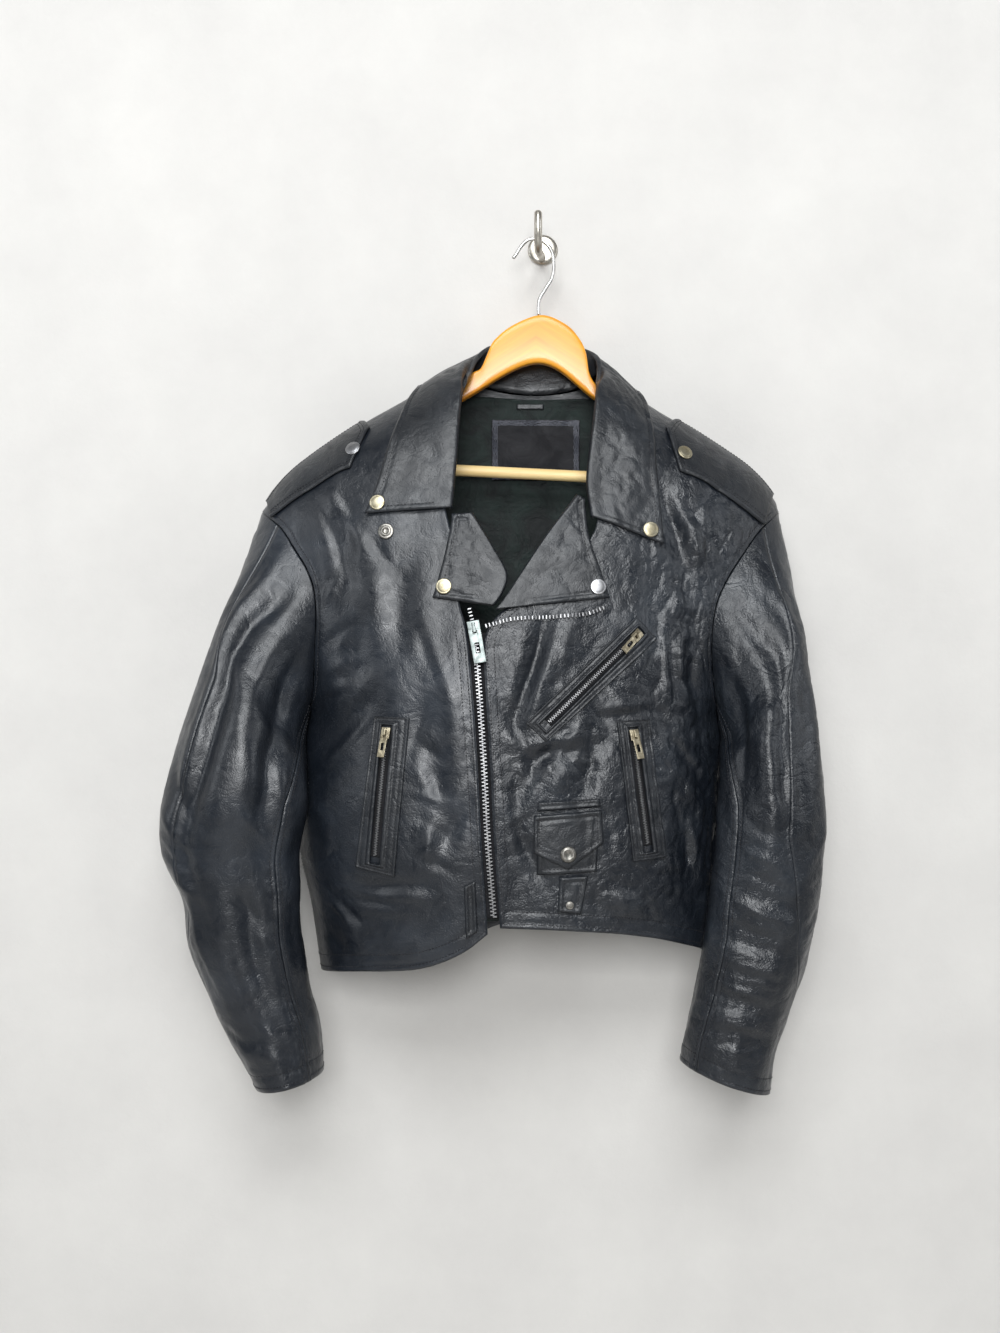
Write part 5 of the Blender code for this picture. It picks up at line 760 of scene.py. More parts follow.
# %% Leather
def leather(name, dark, worn, rough, grain, wrinkle, wear=0.35):
    """Black hide. Rough is its mean roughness; grain, wrinkle and wear say how strong each of them is."""
    made, tree, shader, place = new_finish(name)
    slow = texture(tree, place, "Noise", Scale=14.0, Detail=4.0, Roughness=0.6)
    fine = texture(tree, place, "Noise", Scale=260.0, Detail=3.0, Roughness=0.6)
    cells = texture(tree, place, "Voronoi", Scale=620.0)
    ridges = texture(tree, place, "Noise", Scale=46.0, Detail=3.0, Roughness=0.55, Distortion=1.6)
    shaken = mix(tree, "RGBA", 0.012, place, fine.outputs["Color"])
    plates = texture(tree, shaken, "Voronoi", Scale=85.0)
    plates.feature = "DISTANCE_TO_EDGE"

    amount = calculate(tree, "MULTIPLY", ramp(tree, slow.outputs["Fac"], 0.46, 0.80), wear)
    tree.links.new(mix(tree, "RGBA", amount, (*dark, 1.0), (*worn, 1.0)), shader.inputs["Base Color"])
    gloss = node(tree, "MapRange", From_Min=0.30, From_Max=0.72, To_Min=rough - 0.09, To_Max=rough + 0.12)
    tree.links.new(ridges.outputs["Fac"], gloss.inputs["Value"])
    tree.links.new(gloss.outputs["Result"], shader.inputs["Roughness"])
    set_inputs(shader, IOR=1.5, Coat_Weight=0.12, Coat_Roughness=0.28)

    relief = bump(tree, ridges.outputs["Fac"], wrinkle, 0.0040)
    relief = bump(tree, ramp(tree, plates.outputs["Distance"], 0.0, 0.10), wrinkle * 0.45, 0.0006, relief)
    relief = bump(tree, cells.outputs["Distance"], grain, 0.00035, relief)
    relief = bump(tree, fine.outputs["Fac"], grain, 0.0004, relief)
    tree.links.new(relief, shader.inputs["Normal"])
    return made


smooth_leather = leather("smooth black leather", (0.0060, 0.0082, 0.0122), (0.042, 0.052, 0.068), 0.38, 0.36, 0.22)
grained_leather = leather("grained black leather", (0.0058, 0.0078, 0.0115), (0.044, 0.054, 0.068), 0.36, 0.60, 0.46)
# The trim leather is firmer and more matte, and its base colour is a little darker than the body's as painted shade,
# so the collar and lapels, which face the lights, look less lit.
trim_leather = leather("trim black leather", (0.0054, 0.0070, 0.0098), (0.034, 0.041, 0.051), 0.44, 0.46, 0.34, 0.45)
print("leathers:", smooth_leather.name, grained_leather.name, trim_leather.name)

# %% [markdown]
# ## Finishes: cloth, thread, metal and wood
# The lining is a dark satin with a faint green mottle, and its colours are darkened further as painted
# shade for the dim inside of the jacket; the tapes and the label are woven. The zips and
# studs are plated metal, dulled by wear. The hanger is varnished wood, so it has long fine grain lines
# that run down each arm and meet in the middle, and a clear coat over them.

# %% Cloth and thread
def woven(name, colour, other, scale, rough, sheen=0.0):
    """Cloth with a slow mottle between two colours and fine ribs both ways."""
    made, tree, shader, place = new_finish(name)
    mottle = texture(tree, place, "Noise", Scale=30.0, Detail=5.0, Roughness=0.65, Distortion=0.8)
    tree.links.new(ramp(tree, mottle.outputs["Fac"], 0.38, 0.66, colour, other), shader.inputs["Base Color"])
    relief = None
    for direction in ("X", "Z"):
        yarn = texture(tree, place, "Wave", Scale=scale, Distortion=0.4)
        yarn.bands_direction = direction
        relief = bump(tree, yarn.outputs["Fac"], 0.35, 0.0003, relief)
    tree.links.new(bump(tree, mottle.outputs["Fac"], 0.5, 0.006, relief), shader.inputs["Normal"])
    set_inputs(shader, Roughness=rough, Sheen_Weight=sheen, Specular_IOR_Level=0.18)
    return made


# The lining's two colours are darker than the satin's own: painted shade for the dim inside of the jacket, seen
# through the neck.
lining_satin = woven("dark satin lining with painted shade", (0.0016, 0.0034, 0.0036), (0.0075, 0.0165, 0.0140), 240.0, 0.50, 0.03)
label_weave = woven("woven label", (0.014, 0.014, 0.016), (0.030, 0.030, 0.033), 420.0, 0.80)
label_thread = woven("label border thread", (0.060, 0.064, 0.080), (0.17, 0.175, 0.20), 700.0, 0.85)
zip_cloth = woven("zip tape", (0.008, 0.008, 0.009), (0.014, 0.014, 0.016), 520.0, 0.85)
black_thread = woven("black thread", (0.016, 0.016, 0.018), (0.040, 0.040, 0.044), 900.0, 0.55)
print("cloths:", lining_satin.name, label_weave.name, zip_cloth.name)

# %% Metal
def plated(name, bright, dull, rough):
    """Plated metal, stained in patches that are duller and rougher, with fine scratches."""
    made, tree, shader, place = new_finish(name)
    stain = texture(tree, place, "Noise", Scale=160.0, Detail=5.0, Roughness=0.7)
    scratch = texture(tree, place, "Noise", Scale=1440.0, Detail=2.0)
    tree.links.new(ramp(tree, stain.outputs["Fac"], 0.35, 0.62, dull, bright), shader.inputs["Base Color"])
    gloss = node(tree, "MapRange", To_Min=rough + 0.16, To_Max=rough - 0.08)
    tree.links.new(stain.outputs["Fac"], gloss.inputs["Value"])
    tree.links.new(gloss.outputs["Result"], shader.inputs["Roughness"])
    tree.links.new(bump(tree, scratch.outputs["Fac"], 0.10, 0.0002), shader.inputs["Normal"])
    set_inputs(shader, Metallic=1.0)
    return made


zip_metal = plated("zip metal", (0.36, 0.36, 0.36), (0.24, 0.24, 0.25), 0.40)
slider_metal = plated("grey slider metal", (0.24, 0.27, 0.26), (0.16, 0.18, 0.175), 0.40)
brass_metal = plated("worn brass", (0.44, 0.39, 0.28), (0.15, 0.125, 0.085), 0.38)
snap_metal = plated("snap metal", (0.50, 0.46, 0.34), (0.30, 0.26, 0.17), 0.36)
silver_snap_metal = plated("silver snap metal", (0.46, 0.46, 0.47), (0.28, 0.28, 0.29), 0.32)
old_snap_metal = plated("worn snap metal", (0.36, 0.34, 0.31), (0.10, 0.10, 0.09), 0.40)
wire_metal = plated("hook wire", (0.66, 0.65, 0.63), (0.42, 0.41, 0.39), 0.26)
hook_metal = plated("satin nickel", (0.60, 0.57, 0.51), (0.36, 0.33, 0.28), 0.30)
print("metals:", zip_metal.name, snap_metal.name, hook_metal.name)

# %% Wood
def wood(name, light, dark, rough, coat, lean=0.0):
    """Grain lines that run down each arm: lean is how much they drop per metre away from the middle."""
    made, tree, shader, place = new_finish(name)
    parts, grain = node(tree, "SeparateXYZ"), node(tree, "CombineXYZ")
    tree.links.new(place, parts.inputs[0])
    away = calculate(tree, "ABSOLUTE", calculate(tree, "ADD", parts.outputs["X"], 0.0060))
    tree.links.new(calculate(tree, "MULTIPLY", away, 0.06), grain.inputs["X"])
    tree.links.new(parts.outputs["Y"], grain.inputs["Y"])
    tree.links.new(calculate(tree, "MULTIPLY_ADD", away, lean, parts.outputs["Z"]), grain.inputs["Z"])
    lines = texture(tree, grain.outputs[0], "Noise", Scale=150.0, Detail=6.0, Roughness=0.66, Distortion=0.3)
    rings = texture(tree, grain.outputs[0], "Noise", Scale=42.0, Detail=2.0, Roughness=0.5, Distortion=0.6)
    both = mix(tree, "FLOAT", 0.42, lines.outputs["Fac"], rings.outputs["Fac"])
    tree.links.new(ramp(tree, both, 0.34, 0.64, dark, light), shader.inputs["Base Color"])
    tree.links.new(bump(tree, lines.outputs["Fac"], 0.12, 0.0004), shader.inputs["Normal"])
    set_inputs(shader, Roughness=rough, Coat_Weight=coat, Coat_Roughness=0.16)
    return made


hanger_wood = wood("honey varnished wood", (0.80, 0.36, 0.020), (0.56, 0.19, 0.006), 0.42, 0.40, 0.62)
bar_wood = wood("pale wood", (0.92, 0.70, 0.34), (0.74, 0.50, 0.20), 0.52, 0.10)
print("woods:", hanger_wood.name, bar_wood.name)

# %% [markdown]
# ## Turning grids into cloth
# A shell is two grids of points, outside and inside, joined along the rim. Working with grids keeps
# every row and column, which later carries the stitches along the seams.

# %% Shell maker
everything = {}


def finish_piece(made, material, body, replaced=()):
    """Gives a piece its finish, its body and the solid that it stands for."""
    made.data.materials.clear()
    made.data.materials.append(material)
    for polygon in made.data.polygons:
        polygon.use_smooth = True
    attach(made, body)
    if replaced:
        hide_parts(*([replaced] if isinstance(replaced, str) else replaced))
    everything[made.name] = made
    return made


def mesh_of(name, vertices, faces):
    mesh = bpy.data.meshes.new(name)
    mesh.from_pydata([tuple(map(float, v)) for v in vertices], [], [tuple(int(i) for i in f) for f in faces])
    mesh.update()
    made = bpy.data.objects.new(name, mesh)
    scene.collection.objects.link(made)
    return made


def shell(name, outer, inner, ring=False):
    """A closed thin shell between two grids, facing out."""
    rows, columns = outer.shape[:2]
    count = rows * columns
    index = np.arange(count).reshape(rows, columns)
    if ring:
        index = np.concatenate([index, index[:, :1]], axis=1)
    a, b, c, d = index[:-1, :-1], index[:-1, 1:], index[1:, 1:], index[1:, :-1]
    face = np.stack([a, b, c, d], axis=-1).reshape(-1, 4)
    rim = [np.stack([index[0, 1:], index[0, :-1], index[0, :-1] + count, index[0, 1:] + count], axis=-1)]
    rim.append(np.stack([index[-1, :-1], index[-1, 1:], index[-1, 1:] + count, index[-1, :-1] + count], axis=-1))
    if not ring:
        rim.append(np.stack([index[:-1, 0], index[1:, 0], index[1:, 0] + count, index[:-1, 0] + count], axis=-1))
        rim.append(np.stack([index[1:, -1], index[:-1, -1], index[:-1, -1] + count, index[1:, -1] + count], axis=-1))
    vertices = np.concatenate([outer.reshape(-1, 3), inner.reshape(-1, 3)])
    faces = np.concatenate([face, face[:, ::-1] + count, *rim])
    corners = vertices[face]
    across = np.cross(corners[:, 2] - corners[:, 0], corners[:, 3] - corners[:, 1])
    outward = np.sum(across * (outer - inner).reshape(-1, 3)[face[:, 0]])
    if outward < 0:
        faces = faces[:, ::-1]
    return mesh_of(name, vertices, faces)


def pull_in(grid, sides, inset=SEAM_INSET):
    """Moves the named edges of a grid in by the seam inset."""
    grid = grid.copy()
    if "first" in sides:
        grid[:, 0] += inset * unit(grid[:, 1] - grid[:, 0])
    if "last" in sides:
        grid[:, -1] += inset * unit(grid[:, -2] - grid[:, -1])
    if "bottom" in sides:
        grid[0] += inset * unit(grid[1] - grid[0])
    if "top" in sides:
        grid[-1] += inset * unit(grid[-2] - grid[-1])
    return grid


def grid_normals(grid, like=None):
    """Normals of a grid of points, turned to the same side as like."""
    normal = unit(np.cross(np.gradient(grid, axis=1), np.gradient(grid, axis=0)))
    if like is not None:
        turn = np.sign(np.sum(normal * like, axis=-1, keepdims=True))
        normal = normal * np.where(turn == 0, 1, turn)
    return normal


def cloth_sheet(name, outer, inner, material):
    """A shell with a finish. It stands for the solid whose name it has before its last word, and hides that solid."""
    made = finish_piece(shell(name, outer, inner), material, "jacket", name.rsplit("_", 1)[0])
    return made


print("shell maker ready")


# %% [markdown]
# ## Sewing marks on a panel
# A row of stitches pulls the leather down into a fine groove and puckers it a little. `from_edge`
# measures how far each point of a grid lies from one edge, and `sewn` turns that into the groove.

# %% Sewing grooves
ALL_SIDES = ("first", "last", "bottom", "top")
HEM_ROWS = (0.0050, 0.0170)
FRONT_EDGE_ROWS = (0.0040, 0.0110)
ARMHOLE_ROWS = (0.0055,)
CUFF_ROWS = (0.0045, 0.0170)
SLEEVE_SEAM_ROWS = (0.0050,)
SHELL_THICK = 0.0016


def from_edge(grid, side):
    """Distance of every point of a grid from its named edge, along the grid's lines."""
    axis = 0 if side in ("bottom", "top") else 1
    steps = np.linalg.norm(np.diff(grid, axis=axis), axis=-1)
    if side in ("top", "last"):
        steps = np.flip(steps, axis=axis)
    run = np.concatenate([np.zeros_like(np.take(steps, [0], axis=axis)), np.cumsum(steps, axis=axis)], axis=axis)
    return np.flip(run, axis=axis) if side in ("top", "last") else run


def sewn(grid, side, rows, depth, seed, bead=0.0):
    """Grooves along one edge where rows of stitches run, small puckers beside them, and the turned edge."""
    away = from_edge(grid, side)
    total = bead * np.exp(-(((away - rows[0] * 0.45) / (rows[0] * 0.42)) ** 2))
    for row in rows:
        total -= depth * np.exp(-(((away - row) / 0.0013) ** 2))
    pucker = noise_at(grid[..., 0] + grid[..., 1], grid[..., 2], 0.007, seed + 2.5)
    near = np.exp(-(((away - rows[-1]) / 0.0055) ** 2))
    return total + 0.0007 * pucker * near


def inset_line(grid, out, side, distance):
    """The line on a grid that runs at a distance inside its named edge, and its outward directions."""
    turned = {"bottom": lambda g: g.swapaxes(0, 1), "top": lambda g: g[::-1].swapaxes(0, 1),
              "first": lambda g: g, "last": lambda g: g[:, ::-1]}[side]
    points, normals = [], []
    for line, way in zip(turned(grid), turned(out)):
        run = run_along(line)
        points.append(spots_on(line, run, distance))
        normals.append(spots_on(way, run, distance))
    return np.array(points), unit(np.array(normals))


class Stitches:
    """Collects stitches along lines. Each one is a small grain of thread, pointed at both ends."""

    def __init__(self):
        self.points, self.faces, self.count = [], [], 0

    def run(self, line, normals, pitch=0.0035, length=0.0028, radius=0.00042):
        """One row of stitches, each a little sunk into the leather."""
        run = run_along(line)
        at = np.arange(pitch, run[-1] - pitch, pitch)
        spots, ahead = spots_on(line, run, at), spots_on(line, run, at + pitch * 0.4)
        up = unit(spots_on(normals, run, at))
        forward = unit(ahead - spots)
        side = unit(np.cross(up, forward))
        up = np.cross(forward, side)
        turn = np.linspace(0, 2 * np.pi, 6, endpoint=False)
        for spot, f, s, u in zip(spots, forward, side, up):
            base = self.count
            centre = spot + u * (radius * 0.5 - 0.00005)
            ring = radius * (np.cos(turn)[:, None] * s + np.sin(turn)[:, None] * u)
            self.points += [centre - f * length / 2 - u * radius * 0.8]
            self.points += list(centre - f * length * 0.28 + ring) + list(centre + f * length * 0.28 + ring)
            self.points += [centre + f * length / 2 - u * radius * 0.8]
            for k in range(6):
                n = (k + 1) % 6
                self.faces += [(base, base + 1 + n, base + 1 + k),
                               (base + 1 + k, base + 1 + n, base + 7 + n, base + 7 + k),
                               (base + 13, base + 7 + k, base + 7 + n)]
            self.count += 14

    def piece(self, name, material=black_thread):
        """All stitches collected so far as one piece."""
        print(f"{name}: {self.count // 14} stitches")
        return finish_piece(mesh_of(name, np.array(self.points), self.faces), material, "jacket")


print("sewing helpers ready")

# %% [markdown]
# ## The leather panels
# The two fronts and the back are cut as large pieces, so their grids are fine: a point every 3 mm. The
# right front is smoother leather. The left front was cut from a looser part of the hide and is far
# more crumpled. Near the edges the crumple fades out, because the sewing holds the leather flat.

# %% The two fronts
def fine_rows(low, high):
    """Row shares of a panel: even up to the armpit, then closer towards the shoulder."""
    below = np.linspace(0.0, ARMPIT_SHARE, low + 1)
    above = ARMPIT_SHARE + (1 - ARMPIT_SHARE) * (1 - (1 - np.linspace(0.0, 1.0, high + 1)[1:]) ** 1.3)
    return np.concatenate([below, above])


def calm(uu, vv, edge=0.06):
    """1 in the middle of a panel, falling to 0 at its edges."""
    across = rising(uu, edge) * rising(1 - uu, edge)
    return across * rising(vv, edge * 0.6) * rising(1 - vv, edge)


def drape(x, z, amount, seed, size=0.036):
    """Long soft waves that hang down the leather."""
    return amount * noise_at(x, z * 0.30, size, seed)


def under_arm(outer, side):
    """The fullness that the leather has under the armhole, which closes the view between body and sleeve."""
    return 0.0055 * np.exp(-(((outer[..., 2] + 0.532) / 0.030) ** 2) - (from_edge(outer, side) / 0.028) ** 2)


def crinkle(x, z, amount, seed):
    """Fine upright creases that crowd beside the left armhole."""
    where = rising(x - 0.085, 0.03) * rising(-0.29 - z, 0.05) * rising(z + 0.72, 0.06)
    shaken_x, shaken_z = wander(x, z, 0.0050, seed)
    return amount * where * crumple(shaken_x, shaken_z * 0.30, 0.0115, seed)


def front_panel(side, columns, folds, amount, fine, seed):
    """Outer grid and outward directions of a front, with its creases and crumple."""
    shares = fine_rows(100, 100)
    outer, out = front_surface(side, columns, shares)
    u = 1 - (1 - np.linspace(0.0, 1.0, columns + 1)) ** 1.6
    uu, vv = np.meshgrid(u, shares)
    x, z = wander(outer[..., 0], outer[..., 2])
    lift = fold_height(x, z, folds)
    lift = lift + amount * crumple(outer[..., 0], outer[..., 2], 0.026, seed)
    lift = lift + fine * crumple(outer[..., 0] * 1.25, outer[..., 2], 0.0105, seed + 3.0)
    lift = lift + drape(outer[..., 0], outer[..., 2], 0.0026, seed + 8.0)
    if side == "left":
        lift = lift + crinkle(outer[..., 0], outer[..., 2], 0.0019, seed + 1.0)
    lift = lift * calm(uu, vv) + under_arm(outer, "last")
    inner = rising(uu, 0.03) * rising(1 - uu, 0.03)
    above, below = rising(vv, 0.03), rising(1 - vv, 0.04)
    lift = lift + sewn(outer, "bottom", HEM_ROWS, 0.0007, seed, 0.0008) * inner
    lift = lift + sewn(outer, "first", FRONT_EDGE_ROWS, 0.0006, seed, 0.0006) * above * (vv < 0.60)
    lift = lift + sewn(outer, "last", ARMHOLE_ROWS, 0.0005, seed) * above * below * (uu < 0.999)
    normals = body_normal(outer[..., 0], outer[..., 2], -1)
    return pull_in(outer + normals * lift[..., None], ("last", "top")), out


front_grids = {
    "right": front_panel("right", 84, RIGHT_CREASES, 0.0002, 0.0, 2.0),
    "left": front_panel("left", 100, LEFT_CREASES, 0.0009, 0.00055, 6.0),
}
panels = {}
for side, finish in (("right", smooth_leather), ("left", grained_leather)):
    outer, out = front_grids[side]
    panels[side] = cloth_sheet(f"{side}_front_leather", outer, outer - out * SHELL_THICK, finish)

# %% The back
def back_panel(shoulder_columns, neck_columns):
    shares = fine_rows(86, 70)
    outer, out = back_surface(shares, shoulder_columns, neck_columns)
    uu, vv = np.meshgrid(np.linspace(0, 1, outer.shape[1]), shares)
    x, z = wander(outer[..., 0], outer[..., 2])
    lift = fold_height(x, z, BACK_CREASES) + 0.0005 * crumple(outer[..., 0], outer[..., 2], 0.034, 11.0)
    lift = lift + drape(outer[..., 0], outer[..., 2], 0.0028, 17.0, 0.045)
    lift = lift * calm(uu, vv) + under_arm(outer, "first") + under_arm(outer, "last")
    hem = sewn(outer, "bottom", HEM_ROWS, 0.0007, 4.0, 0.0008)
    lift = lift + hem * rising(uu, 0.03) * rising(1 - uu, 0.03)
    normals = body_normal(outer[..., 0], outer[..., 2], 1)
    return pull_in(outer + normals * lift[..., None], ("first", "last", "top")), out


back_grid, back_out = back_panel(44, 26)
panels["back"] = cloth_sheet("back_leather", back_grid, back_grid - back_out * SHELL_THICK, smooth_leather)

# %% [markdown]
# ## The sleeves
# Each sleeve is two pieces, a top sleeve and an under sleeve. Long soft folds run down them, and short
# tight creases gather inside the elbow and above the cuff, where the arm bent the leather for years.

# %% Sleeves
def sleeve_panel(side, part, columns, rows, amount, seed):
    """Outer grid and outward directions of one sleeve piece."""
    sleeve = SLEEVES[side]
    share = np.linspace(0.0, 1.0, rows + 1) ** 1.05
    outer_seam = read_plain(RIGHT_OUTER_SEAM if side == "right" else LEFT_OUTER_SEAM, share)
    inner_seam = read_plain(INNER_SEAM, share)
    start, end = (outer_seam, inner_seam) if part == "top" else (inner_seam, outer_seam + 360)
    across = np.linspace(0.0, 1.0, columns + 1)
    angle = start[:, None] + (end - start)[:, None] * across[None]
    shares = np.repeat(share[:, None], columns + 1, axis=1)
    outer = sleeve.at(shares, angle)
    down, round_way = shares * 0.62, np.radians(angle) * 0.062
    shaken_down, shaken_round = wander(down, round_way, 0.0050, seed)
    extra = sleeve.rise(shaken_down / 0.62, np.degrees(shaken_round / 0.062)) - sleeve.rise(shares, angle)
    rough = amount * crumple(down, round_way, 0.024, seed) + drape(round_way, down, 0.0026, seed + 4.0, 0.022)
    fade = rising(shares, 0.08) * rising(across, 0.05)[None] * rising(1 - across, 0.05)[None]
    lift = (extra + rough) * fade * np.clip((1 - shares) / 0.03, 0.3, 1)
    inside = rising(across, 0.03)[None] * rising(1 - across, 0.03)[None]
    lift = lift + sewn(outer, "top", CUFF_ROWS, 0.0006, seed, 0.0006) * inside
    seam_side = "first" if part == "under" else "last"
    lift = lift + sewn(outer, seam_side, SLEEVE_SEAM_ROWS, 0.0005, seed) * rising(shares, 0.05)
    normals = sleeve.normal(shares, angle)
    outer = outer + normals * lift[..., None]
    turned = angle[0] % 360.0
    front = turned <= 180
    hole_share = np.where(front, 1 - turned / 180, (turned - 180) / 180)
    first = np.zeros((columns + 1, 3))
    first[front] = armhole_mitre(side, hole_share[front], -1)
    first[~front] = armhole_mitre(side, hole_share[~front], 1)
    normals[0] = first
    outer[0] += ARMHOLE_INSET * unit(outer[1] - outer[0])
    return pull_in(outer, ("first", "last", "bottom")), normals


SLEEVE_LOOK = {"right": (0.0003, 21.0, smooth_leather), "left": (0.0006, 31.0, grained_leather)}
sleeve_grids = {}
for side, (amount, seed, finish) in SLEEVE_LOOK.items():
    for part, columns in (("top", 46), ("under", 66)):
        outer, out = sleeve_panel(side, part, columns, 190, amount, seed)
        sleeve_grids[side, part] = outer, out
        panels[side, part] = cloth_sheet(f"{side}_{part}_sleeve_leather", outer, outer - out * SHELL_THICK, finish)

# %% [markdown]
# ## Laying trims on the panels
# Pockets, straps and loops are sewn on top, so each one is laid on the panel below it by dropping its
# points onto the faces and moving them out by a hair. That way a trim follows every fold under it.

# %% Laying helpers
class Under:
    """The faces of finished pieces, for laying the next piece on them."""

    def __init__(self, objects):
        vertices, faces = [], []
        for made in objects:
            base = len(vertices)
            vertices += [tuple(v.co) for v in made.data.vertices]
            faces += [tuple(base + i for i in face.vertices) for face in made.data.polygons]
        self.tree = BVHTree.FromPolygons(vertices, faces)

    def height(self, point, normal, reach=0.030):
        """Height of the highest face along the normal, from the point."""
        start = Vector(point) + Vector(normal) * reach
        hit = self.tree.ray_cast(start, -Vector(normal), 2 * reach)
        return None if hit[0] is None else reach - hit[3]

    def lay(self, points, normals, lift, spread=0.003):
        """Points moved along their normals to stand clear of the faces by lift."""
        points, normals = np.asarray(points, float), np.asarray(normals, float)
        flat, turn = points.reshape(-1, 3), normals.reshape(-1, 3)
        laid = np.empty_like(flat)
        for i, (point, normal) in enumerate(zip(flat, turn)):
            side = unit(np.cross(normal, [0.0, 0.0, 1.0]))
            up = np.cross(side, normal)
            shifts = [0 * side, side * spread, -side * spread, up * spread, -up * spread]
            found = [self.height(point + shift, normal) for shift in shifts]
            found = [height for height in found if height is not None]
            laid[i] = point + normal * ((max(found) if found else 0.0) + lift)
        return laid.reshape(points.shape)


def on_front(flat):
    """Points and normals of the body's front at x, z."""
    flat = np.asarray(flat, float)
    x, z = flat[..., 0], flat[..., 1]
    return np.stack([x, body_y(x, z, -1), z], axis=-1), body_normal(x, z, -1)


def over_cloth(x, face):
    """Heights from the shoulder line down at one x, and the distance over the cloth to each."""
    z = shoulder_z(x) - np.linspace(0.0, 1.0, 260) ** 2.2 * 0.25
    y = body_y(np.full(z.shape, x), z, face)
    return z, run_along(np.stack([y, z], axis=-1))


def over_shoulder(x, run):
    """Point and normal at a distance from the shoulder line, measured over the cloth; run below 0 is behind."""
    x, run = np.broadcast_arrays(np.asarray(x, float), np.asarray(run, float))
    points, normals = np.zeros(x.shape + (3,)), np.zeros(x.shape + (3,))
    for index in np.ndindex(x.shape):
        face = -1 if run[index] >= 0 else 1
        z, length = over_cloth(x[index], face)
        at_z = float(np.interp(abs(run[index]), length, z))
        points[index] = [x[index], float(body_y(x[index], at_z, face)), at_z]
        near = rising(abs(run[index]), 0.012)
        crest = shoulder_normal(np.array(x[index]))
        normals[index] = unit(body_normal(x[index], at_z, face) * near + crest * (1 - near))
    return points, normals


def smooth_grid(points, normals, rounds=1):
    """Evens out how far a laid grid stands off, without letting any point sink."""
    for _ in range(rounds):
        padded = np.pad(points, ((1, 1), (1, 1), (0, 0)), mode="edge")
        mean = (padded[:-2, 1:-1] + padded[2:, 1:-1] + padded[1:-1, :-2] + padded[1:-1, 2:]) / 4
        rise = np.clip(np.sum((mean - points) * normals, axis=-1, keepdims=True), 0.0, None)
        points = points + normals * rise
    return points


def four_sided(corners, columns, rows):
    """A grid in the front view between four corners, given round the shape."""
    a, b, c, d = (np.array(corner) for corner in corners)
    u, v = np.linspace(0, 1, columns + 1)[None, :, None], np.linspace(0, 1, rows + 1)[:, None, None]
    return (1 - v) * ((1 - u) * a + u * b) + v * ((1 - u) * d + u * c)


def ribbon(path, width, columns, rows):
    """A grid along a line in the front view."""
    line = along(spline(path) if len(path) > 2 else np.array(path, float), np.linspace(0, 1, rows + 1))
    forward = unit(np.gradient(line, axis=0))
    across = np.stack([forward[:, 1], -forward[:, 0]], axis=-1)
    shift = np.linspace(-0.5, 0.5, columns + 1) * width
    return line[:, None] + across[:, None] * shift[None, :, None]


def frame_at(origin, up, out):
    """A placement whose local Y runs along up and local Z along out."""
    out = unit(out)
    up = unit(np.asarray(up) - out * np.dot(up, out))
    across = np.cross(up, out)
    rows = np.column_stack([across, up, out, origin])
    return Matrix([list(row) for row in rows] + [[0.0, 0.0, 0.0, 1.0]])


def run_of(x, z):
    """Distance over the cloth from the shoulder line down the front to a height."""
    heights, length = over_cloth(x, -1)
    return float(np.interp(shoulder_z(x) - z, shoulder_z(x) - heights, length))


print("laying helpers ready")


# %% [markdown]
# ## Pocket welts, straps, coin pocket and belt loops
# These are cut from firmer leather and double stitched. A trim's edge is thinner than its middle, as
# skived leather is, so the rim rows are pressed down a little.

# %% Trim pieces
RIGHT_STRAP_LOW = [(-0.2800, -0.3120), (-0.2460, -0.2900), (-0.2120, -0.2700), (-0.1960, -0.2640)]
RIGHT_STRAP_ENDS = (-0.2885, -0.1890)
LEFT_STRAP_LOW = [(0.2270, -0.3200), (0.1930, -0.2970), (0.1620, -0.2780), (0.1380, -0.2680)]
LEFT_STRAP_ENDS = (0.2430, 0.1440)
STRAP_TOP_RUN = 0.007
STRAP_POINT = 0.014
CHEST_POCKET = [(0.0910, -0.416), (0.1130, -0.438), (0.0010, -0.539), (-0.0190, -0.521)]
RIGHT_HAND_POCKET = [(-0.1680, -0.515), (-0.1330, -0.516), (-0.1470, -0.672), (-0.1870, -0.664)]
LEFT_HAND_POCKET = [(0.0710, -0.519), (0.1040, -0.518), (0.1210, -0.654), (0.0860, -0.657)]
CHEST_ZIP = [(0.0960, -0.4300), (-0.0020, -0.5255)]
RIGHT_HAND_ZIP = [(-0.1550, -0.5240), (-0.1670, -0.6600)]
LEFT_HAND_ZIP = [(0.0865, -0.5260), (0.1015, -0.6480)]
MAIN_ZIP = [(-0.0500, -0.7120), (-0.0560, -0.6350), (-0.0600, -0.5570), (-0.0655, -0.4750), (-0.0690, -0.4330)]
UPPER_ZIP_RIGHT = [(-0.0712, -0.4250), (-0.0760, -0.4070)]
UPPER_ZIP_LEFT = [(-0.0600, -0.4258), (-0.0520, -0.4235), (-0.0290, -0.4180), (0.0180, -0.4155), (0.0410, -0.4130),
                  (0.0600, -0.4060)]
COIN_POUCH = [(-0.0080, -0.6120), (0.0530, -0.6060), (0.0500, -0.6660), (-0.0080, -0.6690)]
COIN_BAND = [(-0.0070, -0.5980), (0.0530, -0.5950), (0.0540, -0.6030), (-0.0080, -0.6070)]
COIN_FLAP = [(-0.0110, -0.6110), (0.0545, -0.6060), (0.0560, -0.6380), (0.0230, -0.6630), (-0.0115, -0.6470)]
LEFT_LOOP = [(0.0140, -0.6715), (0.0420, -0.6700), (0.0350, -0.7070), (0.0120, -0.7050)]
